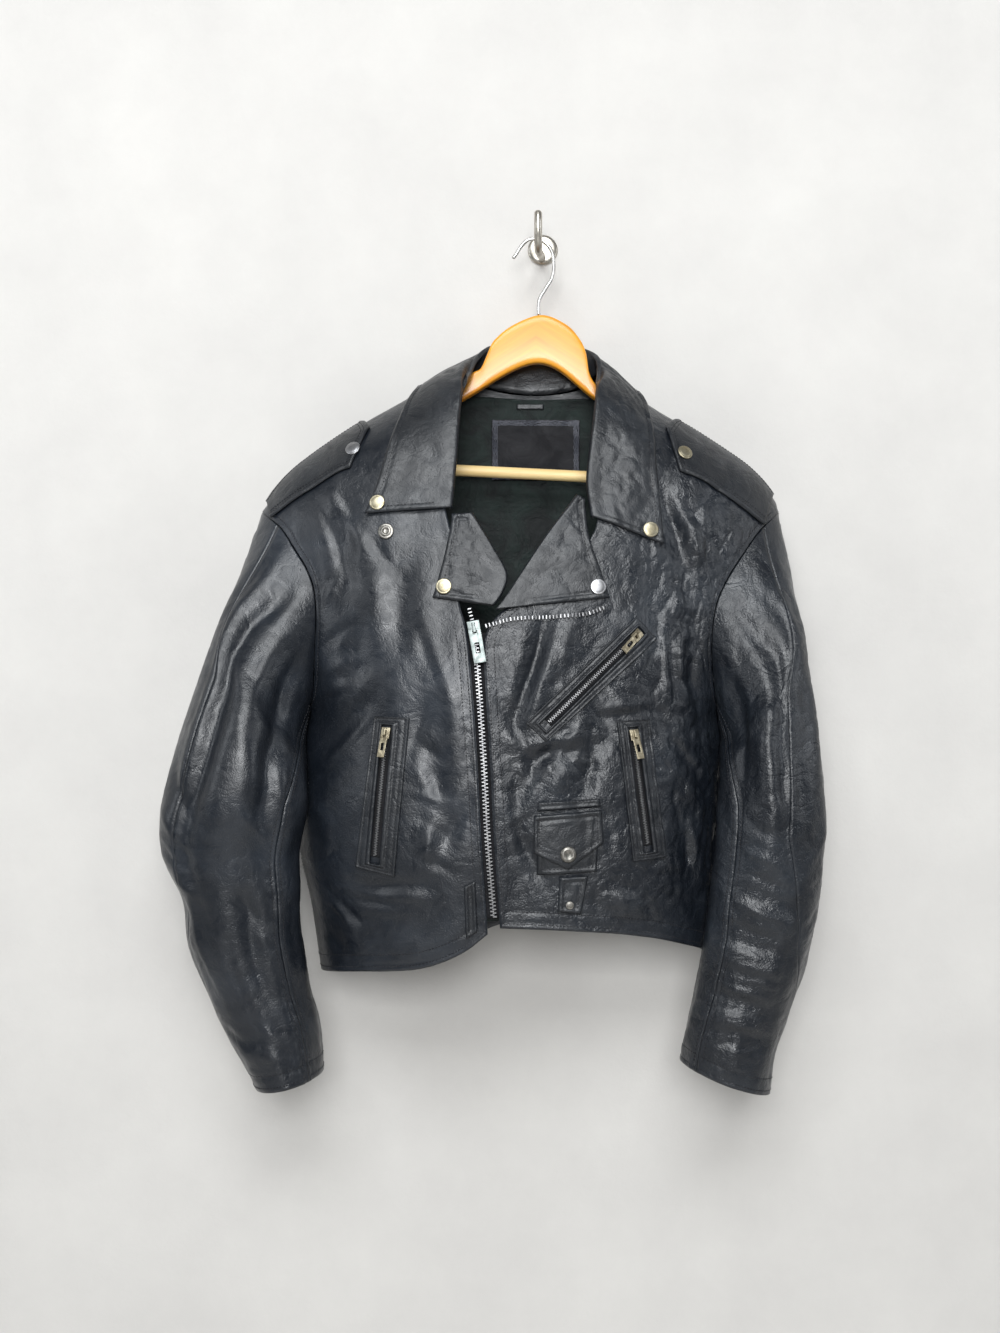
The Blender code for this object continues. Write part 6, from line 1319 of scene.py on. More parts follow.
RIGHT_LOOP = [(-0.0790, -0.6800), (-0.0680, -0.6740), (-0.0660, -0.7240), (-0.0770, -0.7320)]
POCKETS = {
    "chest": (CHEST_POCKET, CHEST_ZIP),
    "right_hand": (RIGHT_HAND_POCKET, RIGHT_HAND_ZIP),
    "left_hand": (LEFT_HAND_POCKET, LEFT_HAND_ZIP),
}
TRIM_THREAD = 0.00036
trim_stitches = Stitches()
on_panels = Under([panels["right"], panels["left"], panels["back"]])


def sew_rows(grid, out, sides, distances):
    """Rows of trim stitches at distances inside the named edges of a grid."""
    for distance in distances:
        for side in sides:
            line, way = inset_line(grid, out, side, distance)
            trim_stitches.run(line, way, radius=TRIM_THREAD)


def rim(grid, sides=ALL_SIDES, width=0.0026):
    """The turned edge of a trim: thin at the very edge, then a round bead, then the groove of the stitches."""
    away = np.min([from_edge(grid, side) for side in sides], axis=0)
    shape = 0.0009 * np.exp(-(((away - width * 0.8) / (width * 0.55)) ** 2))
    shape = shape - 0.0007 * np.exp(-(((away - width * 2.1) / (width * 0.45)) ** 2))
    return shape - 0.0005 * np.clip(1 - away / (width * 0.4), 0, 1)


def trim(name, flat, under, lift=0.0005, spread=0.0015, stitched=0.0055, sides=ALL_SIDES):
    """A sewn-on piece of leather over a grid of points in the front view."""
    points, normals = on_front(flat)
    points = smooth_grid(under.lay(points, normals, lift, spread), normals, 2)
    top = points + normals * (SHELL_THICK + rim(points))[..., None]
    rough = 0.0003 * noise_at(flat[..., 0], flat[..., 1], 0.011, 7.0)
    top = top + normals * rough[..., None]
    made = cloth_sheet(name, top, points, trim_leather)
    sew_rows(top, normals, sides, (stitched,))
    return made


pouch = trim("coin_pocket_leather", four_sided(COIN_POUCH, 34, 34), on_panels, sides=("first", "last", "top"))
trim("coin_pocket_band_leather", four_sided(COIN_BAND, 34, 6), on_panels, stitched=0.0020, sides=("bottom", "top"))
flap = four_sided([COIN_FLAP[0], COIN_FLAP[1], COIN_FLAP[2], COIN_FLAP[4]], 36, 22)
drop = (1 - np.abs(np.linspace(0, 1, 37) - 0.5) * 2) * (COIN_FLAP[3][1] - (COIN_FLAP[2][1] + COIN_FLAP[4][1]) / 2)
flap[..., 1] += drop[None] * (np.linspace(0, 1, 23)[:, None] ** 3)
trim("coin_pocket_flap_leather", flap, Under([panels["left"], pouch]), 0.0008, spread=0.0060)
for side, loop in (("left", LEFT_LOOP), ("right", RIGHT_LOOP)):
    trim(f"{side}_belt_loop_leather", four_sided(loop, 12, 30), on_panels, sides=("first", "last"))

# %% [markdown]
# A welt is a four-sided band of leather round the slot of a pocket, with one row of stitches outside
# and one along the zip. Its inner edge stands a little proud, where the leather is folded under.

# %% Pocket welts
WELT_SHARES = [0.0, 0.05, 0.10, 0.16, 0.24, 0.34, 0.46, 0.56, 0.63, 0.70, 0.78, 0.86, 0.93, 0.98, 1.0]
WELT_LIPS = [-0.5, 0.3, 0.5, -0.1, -0.5, 0.0, 0.1, 0.0, -0.5, 0.5, 1.3, 1.6, 1.2, 0.5, -0.3]
WELT_STITCH_ROWS = (4, 8)
SLOT_WIDTH = 0.0094


def welt_piece(name, corners, ends, under):
    """A welt between its outer corners and the slot; shares and lips run from the outer edge to the slot."""
    a, b, c, d = (np.array(corner) for corner in corners)
    start, end = (np.array(point) for point in ends)
    forward = unit(end - start)
    across = np.array([forward[1], -forward[0]])
    if np.dot(b - a, across) < 0:
        across = -across
    half = SLOT_WIDTH / 2
    inner = [start - across * half, start + across * half, end + across * half, end - across * half]
    counts = (12, 70, 12, 70)
    outer_loop, inner_loop = [], []
    for side, count in enumerate(counts):
        for step in range(count):
            t = step / count
            outer_loop.append((1 - t) * [a, b, c, d][side] + t * [b, c, d, a][side])
            inner_loop.append((1 - t) * inner[side] + t * inner[(side + 1) % 4])
    shares = np.array(WELT_SHARES)[:, None, None]
    flat = np.array(outer_loop)[None] * (1 - shares) + np.array(inner_loop)[None] * shares
    points, normals = on_front(flat)
    points = under.lay(points, normals, 0.0005, 0.0015)
    lips = np.array(WELT_LIPS)[:, None] * 0.001
    rough = 0.0003 * noise_at(flat[..., 0], flat[..., 1], 0.011, 8.0)
    top = points + normals * (SHELL_THICK + lips + rough)[..., None]
    made = finish_piece(shell(name, top, points, ring=True), trim_leather, "jacket",
                        name.replace("_leather", ""))
    closed = np.concatenate([top, top[:, :1]], axis=1)
    out = np.concatenate([normals, normals[:, :1]], axis=1)
    for row in WELT_STITCH_ROWS:
        trim_stitches.run(closed[row], out[row], radius=TRIM_THREAD)


for name, (corners, line) in POCKETS.items():
    welt_piece(f"{name}_pocket_welt_leather", corners, line, on_panels)
print("welts:", list(POCKETS))

# %% Shoulder straps
def strap_piece(side, low, ends, under):
    columns, rows = 60, 20
    t = np.linspace(0.0, 1.0, columns + 1)
    low_line = along(spline(low), t)
    grid_x, grid_run = np.zeros((rows + 1, columns + 1)), np.zeros((rows + 1, columns + 1))
    toward = 1.0 if side == "right" else -1.0
    v = np.linspace(0.0, 1.0, rows + 1)
    for c in range(columns + 1):
        top_x = ends[0] + (ends[1] - ends[0]) * t[c]
        low_run = run_of(low_line[c, 0], low_line[c, 1])
        point = toward * STRAP_POINT * (1 - np.abs(2 * v - 1)) * max(0.0, (t[c] - 0.85) / 0.15)
        grid_x[:, c] = top_x * (1 - v) + low_line[c, 0] * v + point
        grid_run[:, c] = STRAP_TOP_RUN * (1 - v) + low_run * v
    points, normals = over_shoulder(grid_x, grid_run)
    points = smooth_grid(under.lay(points, normals, 0.0013), normals, 3)
    top = points + normals * (0.0018 + rim(points, ("bottom", "top", "last")))[..., None]
    cloth_sheet(f"{side}_shoulder_strap_leather", top, points, trim_leather)
    sew_rows(top, normals, ("bottom", "top", "last"), (0.0055, 0.0090))


strap_piece("right", RIGHT_STRAP_LOW, RIGHT_STRAP_ENDS, on_panels)
strap_piece("left", LEFT_STRAP_LOW, LEFT_STRAP_ENDS, on_panels)
print("straps ready")

# %% [markdown]
# ## Lapels and collar
# A lapel is the top of the front turned back on itself, so it is one strip that rolls over. The
# collar stands up at the neck, folds over and falls onto the shoulders. Both are worn: their edges
# wave a little, and the turned leather has fine creases along the fold.

# %% Lapels
COLLAR_FOLD_RIGHT = [(-0.0920, -0.308), (-0.0895, -0.277), (-0.0870, -0.245), (-0.0850, -0.214), (-0.0820, -0.185)]
COLLAR_EDGE_RIGHT = [(-0.1790, -0.313), (-0.1660, -0.280), (-0.1560, -0.245), (-0.1460, -0.213), (-0.1360, -0.188)]
COLLAR_FOLD_BACK = [(-0.0765, -0.0780, -0.1580), (-0.0700, -0.0500, -0.1375), (-0.0540, -0.0330, -0.1210),
                    (-0.0280, -0.0245, -0.1165), (0.0000, -0.0230, -0.1160), (0.0300, -0.0260, -0.1180),
                    (0.0500, -0.0360, -0.1260), (0.0600, -0.0540, -0.1380), (0.0605, -0.0740, -0.1600)]
COLLAR_MID_BACK = [(-0.1020, -0.0720, -0.1580), (-0.0960, -0.0480, -0.1450), (-0.0760, -0.0220, -0.1360),
                   (-0.0360, -0.0150, -0.1420), (0.0000, -0.0135, -0.1420), (0.0340, -0.0160, -0.1440),
                   (0.0640, -0.0260, -0.1430), (0.0790, -0.0500, -0.1490), (0.0810, -0.0780, -0.1680)]
COLLAR_EDGE_BACK = [(-0.1310, 0.024), (-0.1270, -0.004), (-0.1000, -0.045), (-0.0500, -0.070), (-0.0020, -0.075),
                    (0.0500, -0.070), (0.0800, -0.045), (0.1000, -0.004), (0.1030, 0.024)]
COLLAR_FOLD_LEFT = [(0.0550, -0.180), (0.0505, -0.216), (0.0460, -0.250), (0.0430, -0.283), (0.0470, -0.317)]
COLLAR_EDGE_LEFT = [(0.1050, -0.190), (0.1110, -0.220), (0.1130, -0.262), (0.1160, -0.303), (0.1190, -0.344)]
COLLAR_ROLL_RADIUS = 0.0024
COLLAR_CLEAR = 0.0045
COLLAR_SEAM_IN = 0.0066
RIGHT_LAPEL_ROLL = [(-0.0715, -0.3140), (-0.0640, -0.326), (-0.0500, -0.350), (-0.0375, -0.375), (-0.0420, -0.394),
                    (-0.0505, -0.406)]
RIGHT_LAPEL_EDGE = [(-0.0920, -0.3140), (-0.0930, -0.326), (-0.0975, -0.350), (-0.1035, -0.374), (-0.1085, -0.392),
                    (-0.1105, -0.398)]
LEFT_LAPEL_ROLL = [(0.0325, -0.295), (0.0230, -0.308), (0.0050, -0.332), (-0.0165, -0.364), (-0.0370, -0.396),
                   (-0.0475, -0.410)]
LEFT_LAPEL_EDGE = [(0.0405, -0.298), (0.0425, -0.325), (0.0475, -0.348), (0.0560, -0.372), (0.0615, -0.390),
                   (0.0640, -0.398)]
RIGHT_LAPEL_SEAM = [(-0.4100, -0.0814), (-0.4000, -0.0838), (-0.3500, -0.0873), (-0.3220, -0.0905), (-0.3100, -0.0905)]
LEFT_LAPEL_SEAM = [(-0.4120, -0.0410), (-0.3960, -0.0210), (-0.3640, 0.0200), (-0.3380, 0.0395), (-0.3220, 0.0425),
                   (-0.2900, 0.0415)]
LAPEL_LIFT = 0.0030
LAPEL_ROLL_RADIUS = 0.0026
HALF_TRIM = 0.0008
COLLAR_RIM = 0.0032
COLLAR_STITCH = 0.0067


def finer(grid, down, across):
    """A smooth grid through the points of a coarse one."""
    rows = np.array([spline(grid[:, c], down) for c in range(grid.shape[1])]).swapaxes(0, 1)
    return np.array([spline(rows[r], across) for r in range(rows.shape[0])])


def lapel_rows(side):
    right = side == "right"
    rows = 12
    roll = along(spline(RIGHT_LAPEL_ROLL if right else LEFT_LAPEL_ROLL), np.linspace(0, 1, rows + 1))
    edge = along(spline(RIGHT_LAPEL_EDGE if right else LEFT_LAPEL_EDGE), np.linspace(0, 1, rows + 1))
    seam = RIGHT_LAPEL_SEAM if right else LEFT_LAPEL_SEAM
    sheet = []
    for (x0, z0), (x1, z1) in zip(roll, edge):
        width = math.hypot(x1 - x0, z1 - z0)
        d = np.array([(x1 - x0) / width, (z1 - z0) / width])
        r = LAPEL_ROLL_RADIUS
        middle = min(r, 0.4 * width)
        under_width = max(abs(float(read_plain(seam, z0)) - x0), middle + 0.001)
        line = [(under_width, -0.0011), ((under_width + middle) / 2, -0.0011)]
        turn = np.radians([-90, -135, -180, -225, -270])
        line += [(middle + r * math.cos(a), r - 0.0011 + r * math.sin(a)) for a in turn]
        top = 2 * r - 0.0011
        for share in (0.25, 0.5, 0.75, 1.0):
            height = top + (LAPEL_LIFT - top) * share**0.8
            line.append((middle + (width - middle) * share, height))
        flat = np.array([[x0 + d[0] * a, z0 + d[1] * a] for a, _ in line])
        points, normals = on_front(flat)
        sheet.append(points + normals * np.array([h for _, h in line])[:, None])
    return np.array(sheet)


for side in ("right", "left"):
    sheet = finer(lapel_rows(side), 7, 5)
    normals = grid_normals(sheet)
    face = normals * np.sign(-normals[:, -8:-1, 1].mean())
    x, z = sheet[..., 0], sheet[..., 2]
    across = np.linspace(0, 1, sheet.shape[1])[None]
    on_top = rising(across - 0.68, 0.08)
    wave = 0.0008 * noise_at(x, z, 0.014, 5.0) + 0.0008 * crumple(x, z, 0.012, 15.0)
    sheet = sheet + face * (wave * on_top)[..., None]
    groove = rim(sheet, ("bottom", "top", "last"), COLLAR_RIM) * on_top
    outer = sheet + face * (HALF_TRIM + groove)[..., None]
    cloth_sheet(f"{side}_lapel_leather", outer, sheet - face * HALF_TRIM, trim_leather)
    sew_rows(outer, face, ("last",), (COLLAR_STITCH,))
print("lapels ready")

# %% Collar
def collar_columns():
    """Base, fold, middle and edge of the fall, the way through the fold and the way out of it, round the neck."""
    columns = []
    for fold, edge in zip(COLLAR_FOLD_RIGHT, COLLAR_EDGE_RIGHT):
        columns.append(collar_front_column(fold, edge))
    for k, (fold, middle, (edge_x, run)) in enumerate(zip(COLLAR_FOLD_BACK, COLLAR_MID_BACK, COLLAR_EDGE_BACK)):
        fold, middle = np.array(fold), np.array(middle)
        edge, normal = over_shoulder(edge_x, run)
        share = (k - 1) / (len(COLLAR_FOLD_BACK) - 3)
        across = unit(np.array([middle[0] - fold[0], middle[1] - fold[1], 0.0]))
        if 0 <= share <= 1:
            neck_x = RIGHT_NECK_X + (LEFT_NECK_X - RIGHT_NECK_X) * share
            neck_z = shoulder_z(RIGHT_NECK_X) * (1 - share) + shoulder_z(LEFT_NECK_X) * share
            neck_z = neck_z - NECK_DIP * math.sin(math.pi * share) ** 0.6
            base = np.array([neck_x, float(body_y(neck_x, neck_z, 1)), neck_z])
            base = base - across * COLLAR_SEAM_IN
        else:
            flat = (RIGHT_NECK_X + 0.0092, -0.168) if share < 0 else (LEFT_NECK_X - 0.0100, -0.172)
            point, out = on_front(flat)
            base = point - out * 0.0012
        columns.append((base, fold, middle, edge + normal * 0.0042, across, np.array([0.0, 0.0, 1.0])))
    for fold, edge in zip(COLLAR_FOLD_LEFT, COLLAR_EDGE_LEFT):
        columns.append(collar_front_column(fold, edge))
    return columns


def collar_front_column(fold, edge):
    fold, edge = np.array(fold), np.array(edge)
    d = unit(edge - fold)
    (fold3, n0), (edge3, n1) = on_front(fold), on_front(edge)
    (base3, nb), (middle3, nm) = on_front(fold + d * 0.0004), on_front((fold + edge) / 2)
    out = np.array([-d[0], 0.0, -d[1]])
    return base3 - nb * 0.0012, fold3 + n0 * 0.0013, middle3 + nm * 0.0050, edge3 + n1 * 0.0040, n0, out


def collar_grid(under, count):
    """The collar's points, from the neck seam up over the fold and down to the edge of the fall."""
    columns = collar_columns()
    base, fold, middle, edge, through, out = (np.array([column[k] for column in columns]) for k in range(6))
    keys = np.linspace(0.0, 1.0, len(columns))
    place = np.interp(np.linspace(0.0, 1.0, count + 1), keys, np.arange(len(columns)) * 10.0)
    pick = np.arange((len(columns) - 1) * 10 + 1)

    def thread(line):
        return spots_on(spline(line, 10), pick, place)

    base, fold, middle, edge = thread(base), thread(fold), thread(middle), thread(edge)
    through, out = unit(thread(through)), unit(thread(out))
    r = COLLAR_ROLL_RADIUS
    start = fold - through * r - out * r
    end = fold + through * r - out * r
    centre = fold - out * r
    bend = [centre + r * (np.cos(a) * -through + np.sin(a) * out) for a in np.radians([45, 90, 135])]
    rows = [base, base * 0.5 + start * 0.5, start, *bend, end]
    for share in (0.33, 0.66, 1.0, 1.33, 1.66, 2.0):
        if share <= 1:
            rows.append(end * (1 - share) + middle * share)
        else:
            rows.append(middle * (2 - share) + edge * (share - 1))
    rows = np.array(rows)
    for _ in range(2):
        rows[8:-1] = (rows[7:-2] + 2 * rows[8:-1] + rows[9:]) / 4
    for index in np.ndindex(rows[6:].shape[:2]):
        point = rows[6 + index[0], index[1]]
        near = np.array(under.tree.find_nearest(Vector(point))[0])
        face = -1 if near[1] < float(read(MID_Y, near[2])) else 1
        blend = rising(shoulder_z(near[0]) - near[2], 0.010)
        away = body_normal(near[0], min(near[2], shoulder_z(near[0]) - 0.001), face) * blend
        away = unit(away + shoulder_normal(near[0]) * (1 - blend))
        short = COLLAR_CLEAR - np.dot(point - near, away)
        if short > 0 and np.linalg.norm(point - near) < 0.02:
            rows[6 + index[0], index[1]] = point + away * short
    return finer(rows, 4, 2)


sheet = collar_grid(on_panels, 120)
normals = grid_normals(sheet)
outward = normals[-12:-2, 20:40, 1].mean()
normals = normals * (-1.0 if outward > 0 else 1.0)
down = np.linspace(0, 1, sheet.shape[0])[:, None]
on_fall = rising(down - 0.55, 0.08)
x, y, z = sheet[..., 0], sheet[..., 1], sheet[..., 2]
left_part = rising(x, 0.04)
wave = 0.0007 * noise_at(x + y, z - y, 0.022, 4.0) + 0.0012 * left_part * crumple(x + y, z - y, 0.013, 25.0)
sheet = sheet + normals * (wave * on_fall)[..., None]
groove = rim(sheet, ("top",), COLLAR_RIM) + rim(sheet, ("first", "last"), COLLAR_RIM) * on_fall
outer = sheet + normals * (HALF_TRIM + groove)[..., None]
cloth_sheet("collar_leather", outer, sheet - normals * HALF_TRIM, trim_leather)
sew_rows(outer, normals, ("top",), (COLLAR_STITCH,))
for side in ("first", "last"):
    line, out = inset_line(outer, normals, side, COLLAR_STITCH)
    half = len(line) // 2
    trim_stitches.run(line[half + 4 :], out[half + 4 :], radius=TRIM_THREAD)

# %% Stitches
trim_stitches.piece("trim_stitches")
body_stitches = Stitches()
for side in ("right", "left"):
    outer, out = front_grids[side]
    whole, armhole_part, lower_part = slice(None), slice(4, -8), slice(3, 118)
    rows = [("bottom", distance, whole) for distance in HEM_ROWS]
    rows += [("last", distance, armhole_part) for distance in ARMHOLE_ROWS]
    rows += [("first", distance, lower_part) for distance in FRONT_EDGE_ROWS]
    for edge, distance, part in rows:
        line, way = inset_line(outer, out, edge, distance)
        body_stitches.run(line[part], way[part])
for distance in HEM_ROWS:
    body_stitches.run(*inset_line(back_grid, back_out, "bottom", distance))
body_stitches.piece("body_stitches")
sleeve_stitches = Stitches()
for (side, part), (outer, out) in sleeve_grids.items():
    for distance in CUFF_ROWS:
        sleeve_stitches.run(*inset_line(outer, out, "top", distance))
    line, way = inset_line(outer, out, "first" if part == "under" else "last", SLEEVE_SEAM_ROWS[0])
    sleeve_stitches.run(line[6:-3], way[6:-3])
sleeve_stitches.piece("sleeve_stitches")


# %% [markdown]
# ## Zips
# A metal zip is two woven tapes with teeth clamped on their facing edges. The teeth of both sides
# alternate, so each side is laid half a step from the other. The main zip is coarse, the pocket and
# cuff zips finer. The tape lies where the solid's plain chain lies, and the teeth stand on it.

# %% Zip teeth
def tooth_box(points, faces, centre, x_axis, y_axis, z_axis, size):
    """A small box with its upper edges cut off, added to the lists."""
    base = len(points)
    sx, sy, sz = size
    inset = min(sx, sy) * 0.22
    layers = [(-0.5, 0.0), (0.22, 0.0), (0.5, inset)]
    for height, cut in layers:
        for kx, ky in ((-1, -1), (1, -1), (1, 1), (-1, 1)):
            points.append(centre + x_axis * kx * (sx / 2 - cut) + y_axis * ky * (sy / 2 - cut) + z_axis * height * sz)
    faces.append((base + 3, base + 2, base + 1, base))
    for layer in range(2):
        for k in range(4):
            n = (k + 1) % 4
            a, b = base + layer * 4, base + (layer + 1) * 4
            faces.append((a + k, a + n, b + n, b + k))
    faces.append((base + 8, base + 9, base + 10, base + 11))


def teeth_along(line, normals, pitch, tooth, sides):
    """Vertices and faces of the teeth along a line. A tooth is given by its width, length and height."""
    points, faces = [], []
    run = run_along(line)
    for side in sides:
        for at in np.arange(pitch * (0.6 if side > 0 else 1.1), run[-1] - pitch * 0.4, pitch):
            centre = spots_on(line, run, at)
            up = unit(spots_on(normals, run, at))
            forward = unit(spots_on(line, run, at + 0.5 * pitch) - centre)
            across = unit(np.cross(forward, up))
            up = np.cross(across, forward)
            middle = centre + across * side * (tooth[0] * 0.26) + up * (tooth[2] / 2)
            tooth_box(points, faces, middle, across, forward, up, tooth)
    return np.array(points), faces


FINE_PITCH, FINE_TOOTH = 0.0025, (0.0026, 0.0012, 0.0013)
MAIN_PITCH, MAIN_TOOTH = 0.0036, (0.0044, 0.0019, 0.0026)


def metal_teeth(name, line, normals, node_name, pitch=FINE_PITCH, tooth=FINE_TOOTH, sides=(-1, 1)):
    """One piece with all teeth of a zip chain, which stands for a plain chain solid."""
    points, faces = teeth_along(line, normals, pitch, tooth, sides)
    made = finish_piece(mesh_of(name, points, faces), zip_metal, "jacket", node_name)
    for polygon in made.data.polygons:
        polygon.use_smooth = False
    return made


def tape(name, points, normals, thickness, node_name=()):
    made = finish_piece(shell(name, points + normals * thickness, points), zip_cloth, "jacket", node_name)
    return made


main_flat = ribbon(MAIN_ZIP, 0.0260, 8, 120)
points, normals = on_front(main_flat)
tape("main_zip_tape_cloth", points - normals * 0.0042, normals, 0.0008, "main_zip_tape")
points, normals = on_front(ribbon(MAIN_ZIP, 0.0066, 2, 200))
metal_teeth("main_zip_teeth", points[:, 1] - normals[:, 1] * 0.0030, normals[:, 1], "main_zip_chain", MAIN_PITCH,
            MAIN_TOOTH)
points, normals = on_front(ribbon(UPPER_ZIP_RIGHT, 0.0050, 2, 30))
metal_teeth("main_zip_right_teeth", points[:, 1] - normals[:, 1] * 0.0028, normals[:, 1],
            "main_zip_right_branch", MAIN_PITCH, (0.0042, 0.0019, 0.0026), (1,))
points, normals = on_front(ribbon(UPPER_ZIP_LEFT, 0.0052, 2, 130))
laid = Under([panels["left"]]).lay(points, normals, 0.0006, 0.0015)
metal_teeth("main_zip_left_teeth", laid[:, 1], normals[:, 1], "main_zip_left_branch", MAIN_PITCH,
            (0.0044, 0.0019, 0.0022), (1,))

TAPE_THICK = 0.0006
CUFF_ZIP_ANGLE = -26.0


def fine_zip(name, points, normals, under):
    """A narrow tape laid on the panels, with its teeth along the middle."""
    points = under.lay(points, normals, 0.0005, 0.0012)
    tape(f"{name}_zip_tape_cloth", points, normals, TAPE_THICK)
    line = points[:, 2] + normals[:, 2] * TAPE_THICK
    metal_teeth(f"{name}_zip_teeth", line, normals[:, 2], f"{name}_zip_chain")


for name, (_, line) in POCKETS.items():
    points, normals = on_front(ribbon(line, 0.0100, 4, 80)[4:-4])
    fine_zip(name, points, normals, on_panels)
for side in ("right", "left"):
    share = np.linspace(0.80, 0.985, 70)[:, None]
    sleeve = SLEEVES[side]
    shift = np.degrees(0.0046 / 0.048) * np.linspace(-1, 1, 5)[None]
    share, turn = np.repeat(share, 5, axis=1), CUFF_ZIP_ANGLE + np.repeat(shift, 70, axis=0)
    under = Under([panels[side, "top"], panels[side, "under"]])
    fine_zip(f"{side}_cuff", sleeve.at(share, turn), sleeve.normal(share, turn), under)
print("zips ready")

# %% [markdown]
# ## Sliders and pull tabs
# These are pressed from thick sheet metal, so every edge is rounded. The solids already have the
# right shape; here each one is copied, its flat triangles are merged, and its edges are bevelled.
# A pull tab rides its own body, because it swings on the slider.

# %% Softened hardware
def softened(node_name, name, material, body, width):
    """A copy of a solid with merged faces and rounded edges."""
    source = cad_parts[node_name]
    form = bmesh.new()
    form.from_mesh(source.data)
    bmesh.ops.remove_doubles(form, verts=form.verts, dist=1e-6)
    bmesh.ops.dissolve_limit(form, angle_limit=math.radians(4), verts=form.verts, edges=form.edges)
    sharp = [edge for edge in form.edges if edge.is_manifold and edge.calc_face_angle(0.0) > math.radians(25)]
    bmesh.ops.bevel(form, geom=sharp, offset=width, segments=2, affect="EDGES", profile=0.6, clamp_overlap=True)
    bmesh.ops.recalc_face_normals(form, faces=form.faces)
    mesh = bpy.data.meshes.new(name)
    form.to_mesh(mesh)
    form.free()
    made = bpy.data.objects.new(name, mesh)
    scene.collection.objects.link(made)
    made.matrix_world = source.matrix_world.copy()
    return finish_piece(made, material, body, node_name)


ZIPS = ("main", "chest", "right_hand", "left_hand", "right_cuff", "left_cuff")
for name in ZIPS:
    size, metal = (0.00045, slider_metal) if name == "main" else (0.00032, brass_metal)
    softened(f"{name}_zip_slider", f"{name}_slider_metal", metal, "jacket", size)
    softened(f"{name}_zip_pull", f"{name}_pull_metal", metal, f"{name}_pull", size * 0.8)
print("sliders and pulls:", len(ZIPS) * 2)

# %% Press studs
def turned_cap(name, profile, sides, place, material, node_name):
    """A shape turned about its local Z, from the middle of its top down to its rim."""
    turn = np.linspace(0, 2 * np.pi, sides, endpoint=False)
    points, faces = [(0.0, 0.0, profile[0][1])], []
    for radius, height in profile[1:]:
        points += [(radius * math.cos(a), radius * math.sin(a), height) for a in turn]
    points.append((0.0, 0.0, profile[-1][1]))
    for c in range(sides):
        n = (c + 1) % sides
        faces.append((0, 1 + c, 1 + n))
        for r in range(len(profile) - 2):
            a, b = 1 + r * sides, 1 + (r + 1) * sides
            faces.append((a + c, b + c, b + n, a + n))
        last = 1 + (len(profile) - 2) * sides
        faces.append((last + c, len(points) - 1, last + n))
    world = np.array([place @ Vector(point) for point in points])
    return finish_piece(mesh_of(name, world, faces), material, "jacket", node_name)


def place_of(node_name):
    """Where a flat round solid sits: its middle, its axis and its radius, read from its own points."""
    co = np.array([v.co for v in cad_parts[node_name].data.vertices])
    middle = (co.min(axis=0) + co.max(axis=0)) / 2
    axis = np.linalg.svd(co - co.mean(axis=0))[2][2]
    axis = axis if axis[1] < 0 else -axis
    heights = (co - middle) @ axis
    lowest = co[heights < heights.min() + 0.0002]
    centre = lowest.mean(axis=0)
    radius = float(np.linalg.norm(lowest - centre, axis=1).max())
    return frame_at(centre, (0.0, 0.0, 1.0), axis), radius


CAP = [(0.0, 0.00215), (0.20, 0.00213), (0.42, 0.00205), (0.60, 0.00190), (0.74, 0.00168), (0.80, 0.00150),
       (0.84, 0.00152), (0.90, 0.00150), (0.96, 0.00128), (1.0, 0.00080), (1.0, 0.00030), (0.97, 0.0)]
RING_CAP = [(0.0, 0.00110), (0.28, 0.00112), (0.42, 0.00150), (0.52, 0.00205), (0.66, 0.00215), (0.80, 0.00190),
            (0.92, 0.00130), (1.0, 0.00070), (1.0, 0.00020), (0.97, 0.0)]
SOCKET_CAP = [(0.0, 0.00035), (0.26, 0.00035), (0.32, 0.00060), (0.36, 0.00150), (0.46, 0.00205), (0.60, 0.00190),
              (0.70, 0.00130), (0.80, 0.00110), (0.90, 0.00120), (1.0, 0.00070), (1.0, 0.00020), (0.97, 0.0)]
CAP_RADIUS = 0.0072
STUDS = {
    "right_strap_snap": silver_snap_metal, "left_strap_snap": snap_metal, "right_collar_snap": snap_metal,
    "left_collar_snap": snap_metal, "right_lapel_snap": snap_metal, "left_lapel_snap": silver_snap_metal,
    "right_front_stud": old_snap_metal, "coin_flap_snap": old_snap_metal, "left_loop_rivet": old_snap_metal,
}
for node_name, finish in STUDS.items():
    place, radius = place_of(node_name)
    shape = {"coin_flap_snap": RING_CAP, "right_front_stud": SOCKET_CAP}.get(node_name, CAP)
    scale = radius / CAP_RADIUS
    profile = [(share * radius, height * max(scale, 0.7)) for share, height in shape]
    turned_cap(f"{node_name}_cap", profile, 40, place, finish, node_name)
print("studs:", len(STUDS))

# %% [markdown]
# ## Inside: lining, label and loop
# Through the neck the lining of the back shows, a satin that hangs slack in soft vertical folds. The
# neck label is a woven patch sewn on with a fuzzy border; its face is left plain.

# %% Lining
LINING_TOP = [(-0.1900, -0.2400), (-0.1300, -0.1980), (-0.0850, -0.1760), (-0.0100, -0.1780), (0.0650, -0.1790),
              (0.1000, -0.2000), (0.1500, -0.2380)]
LINING_LOW = [(-0.2000, -0.7450), (0.1450, -0.7350)]
LABEL = [(-0.0530, -0.2000), (0.0420, -0.2000), (0.0420, -0.2650), (-0.0530, -0.2650)]
LOCKER_LOOP = [(-0.0260, -0.1835), (0.0030, -0.1835), (0.0030, -0.1890), (-0.0260, -0.1890)]


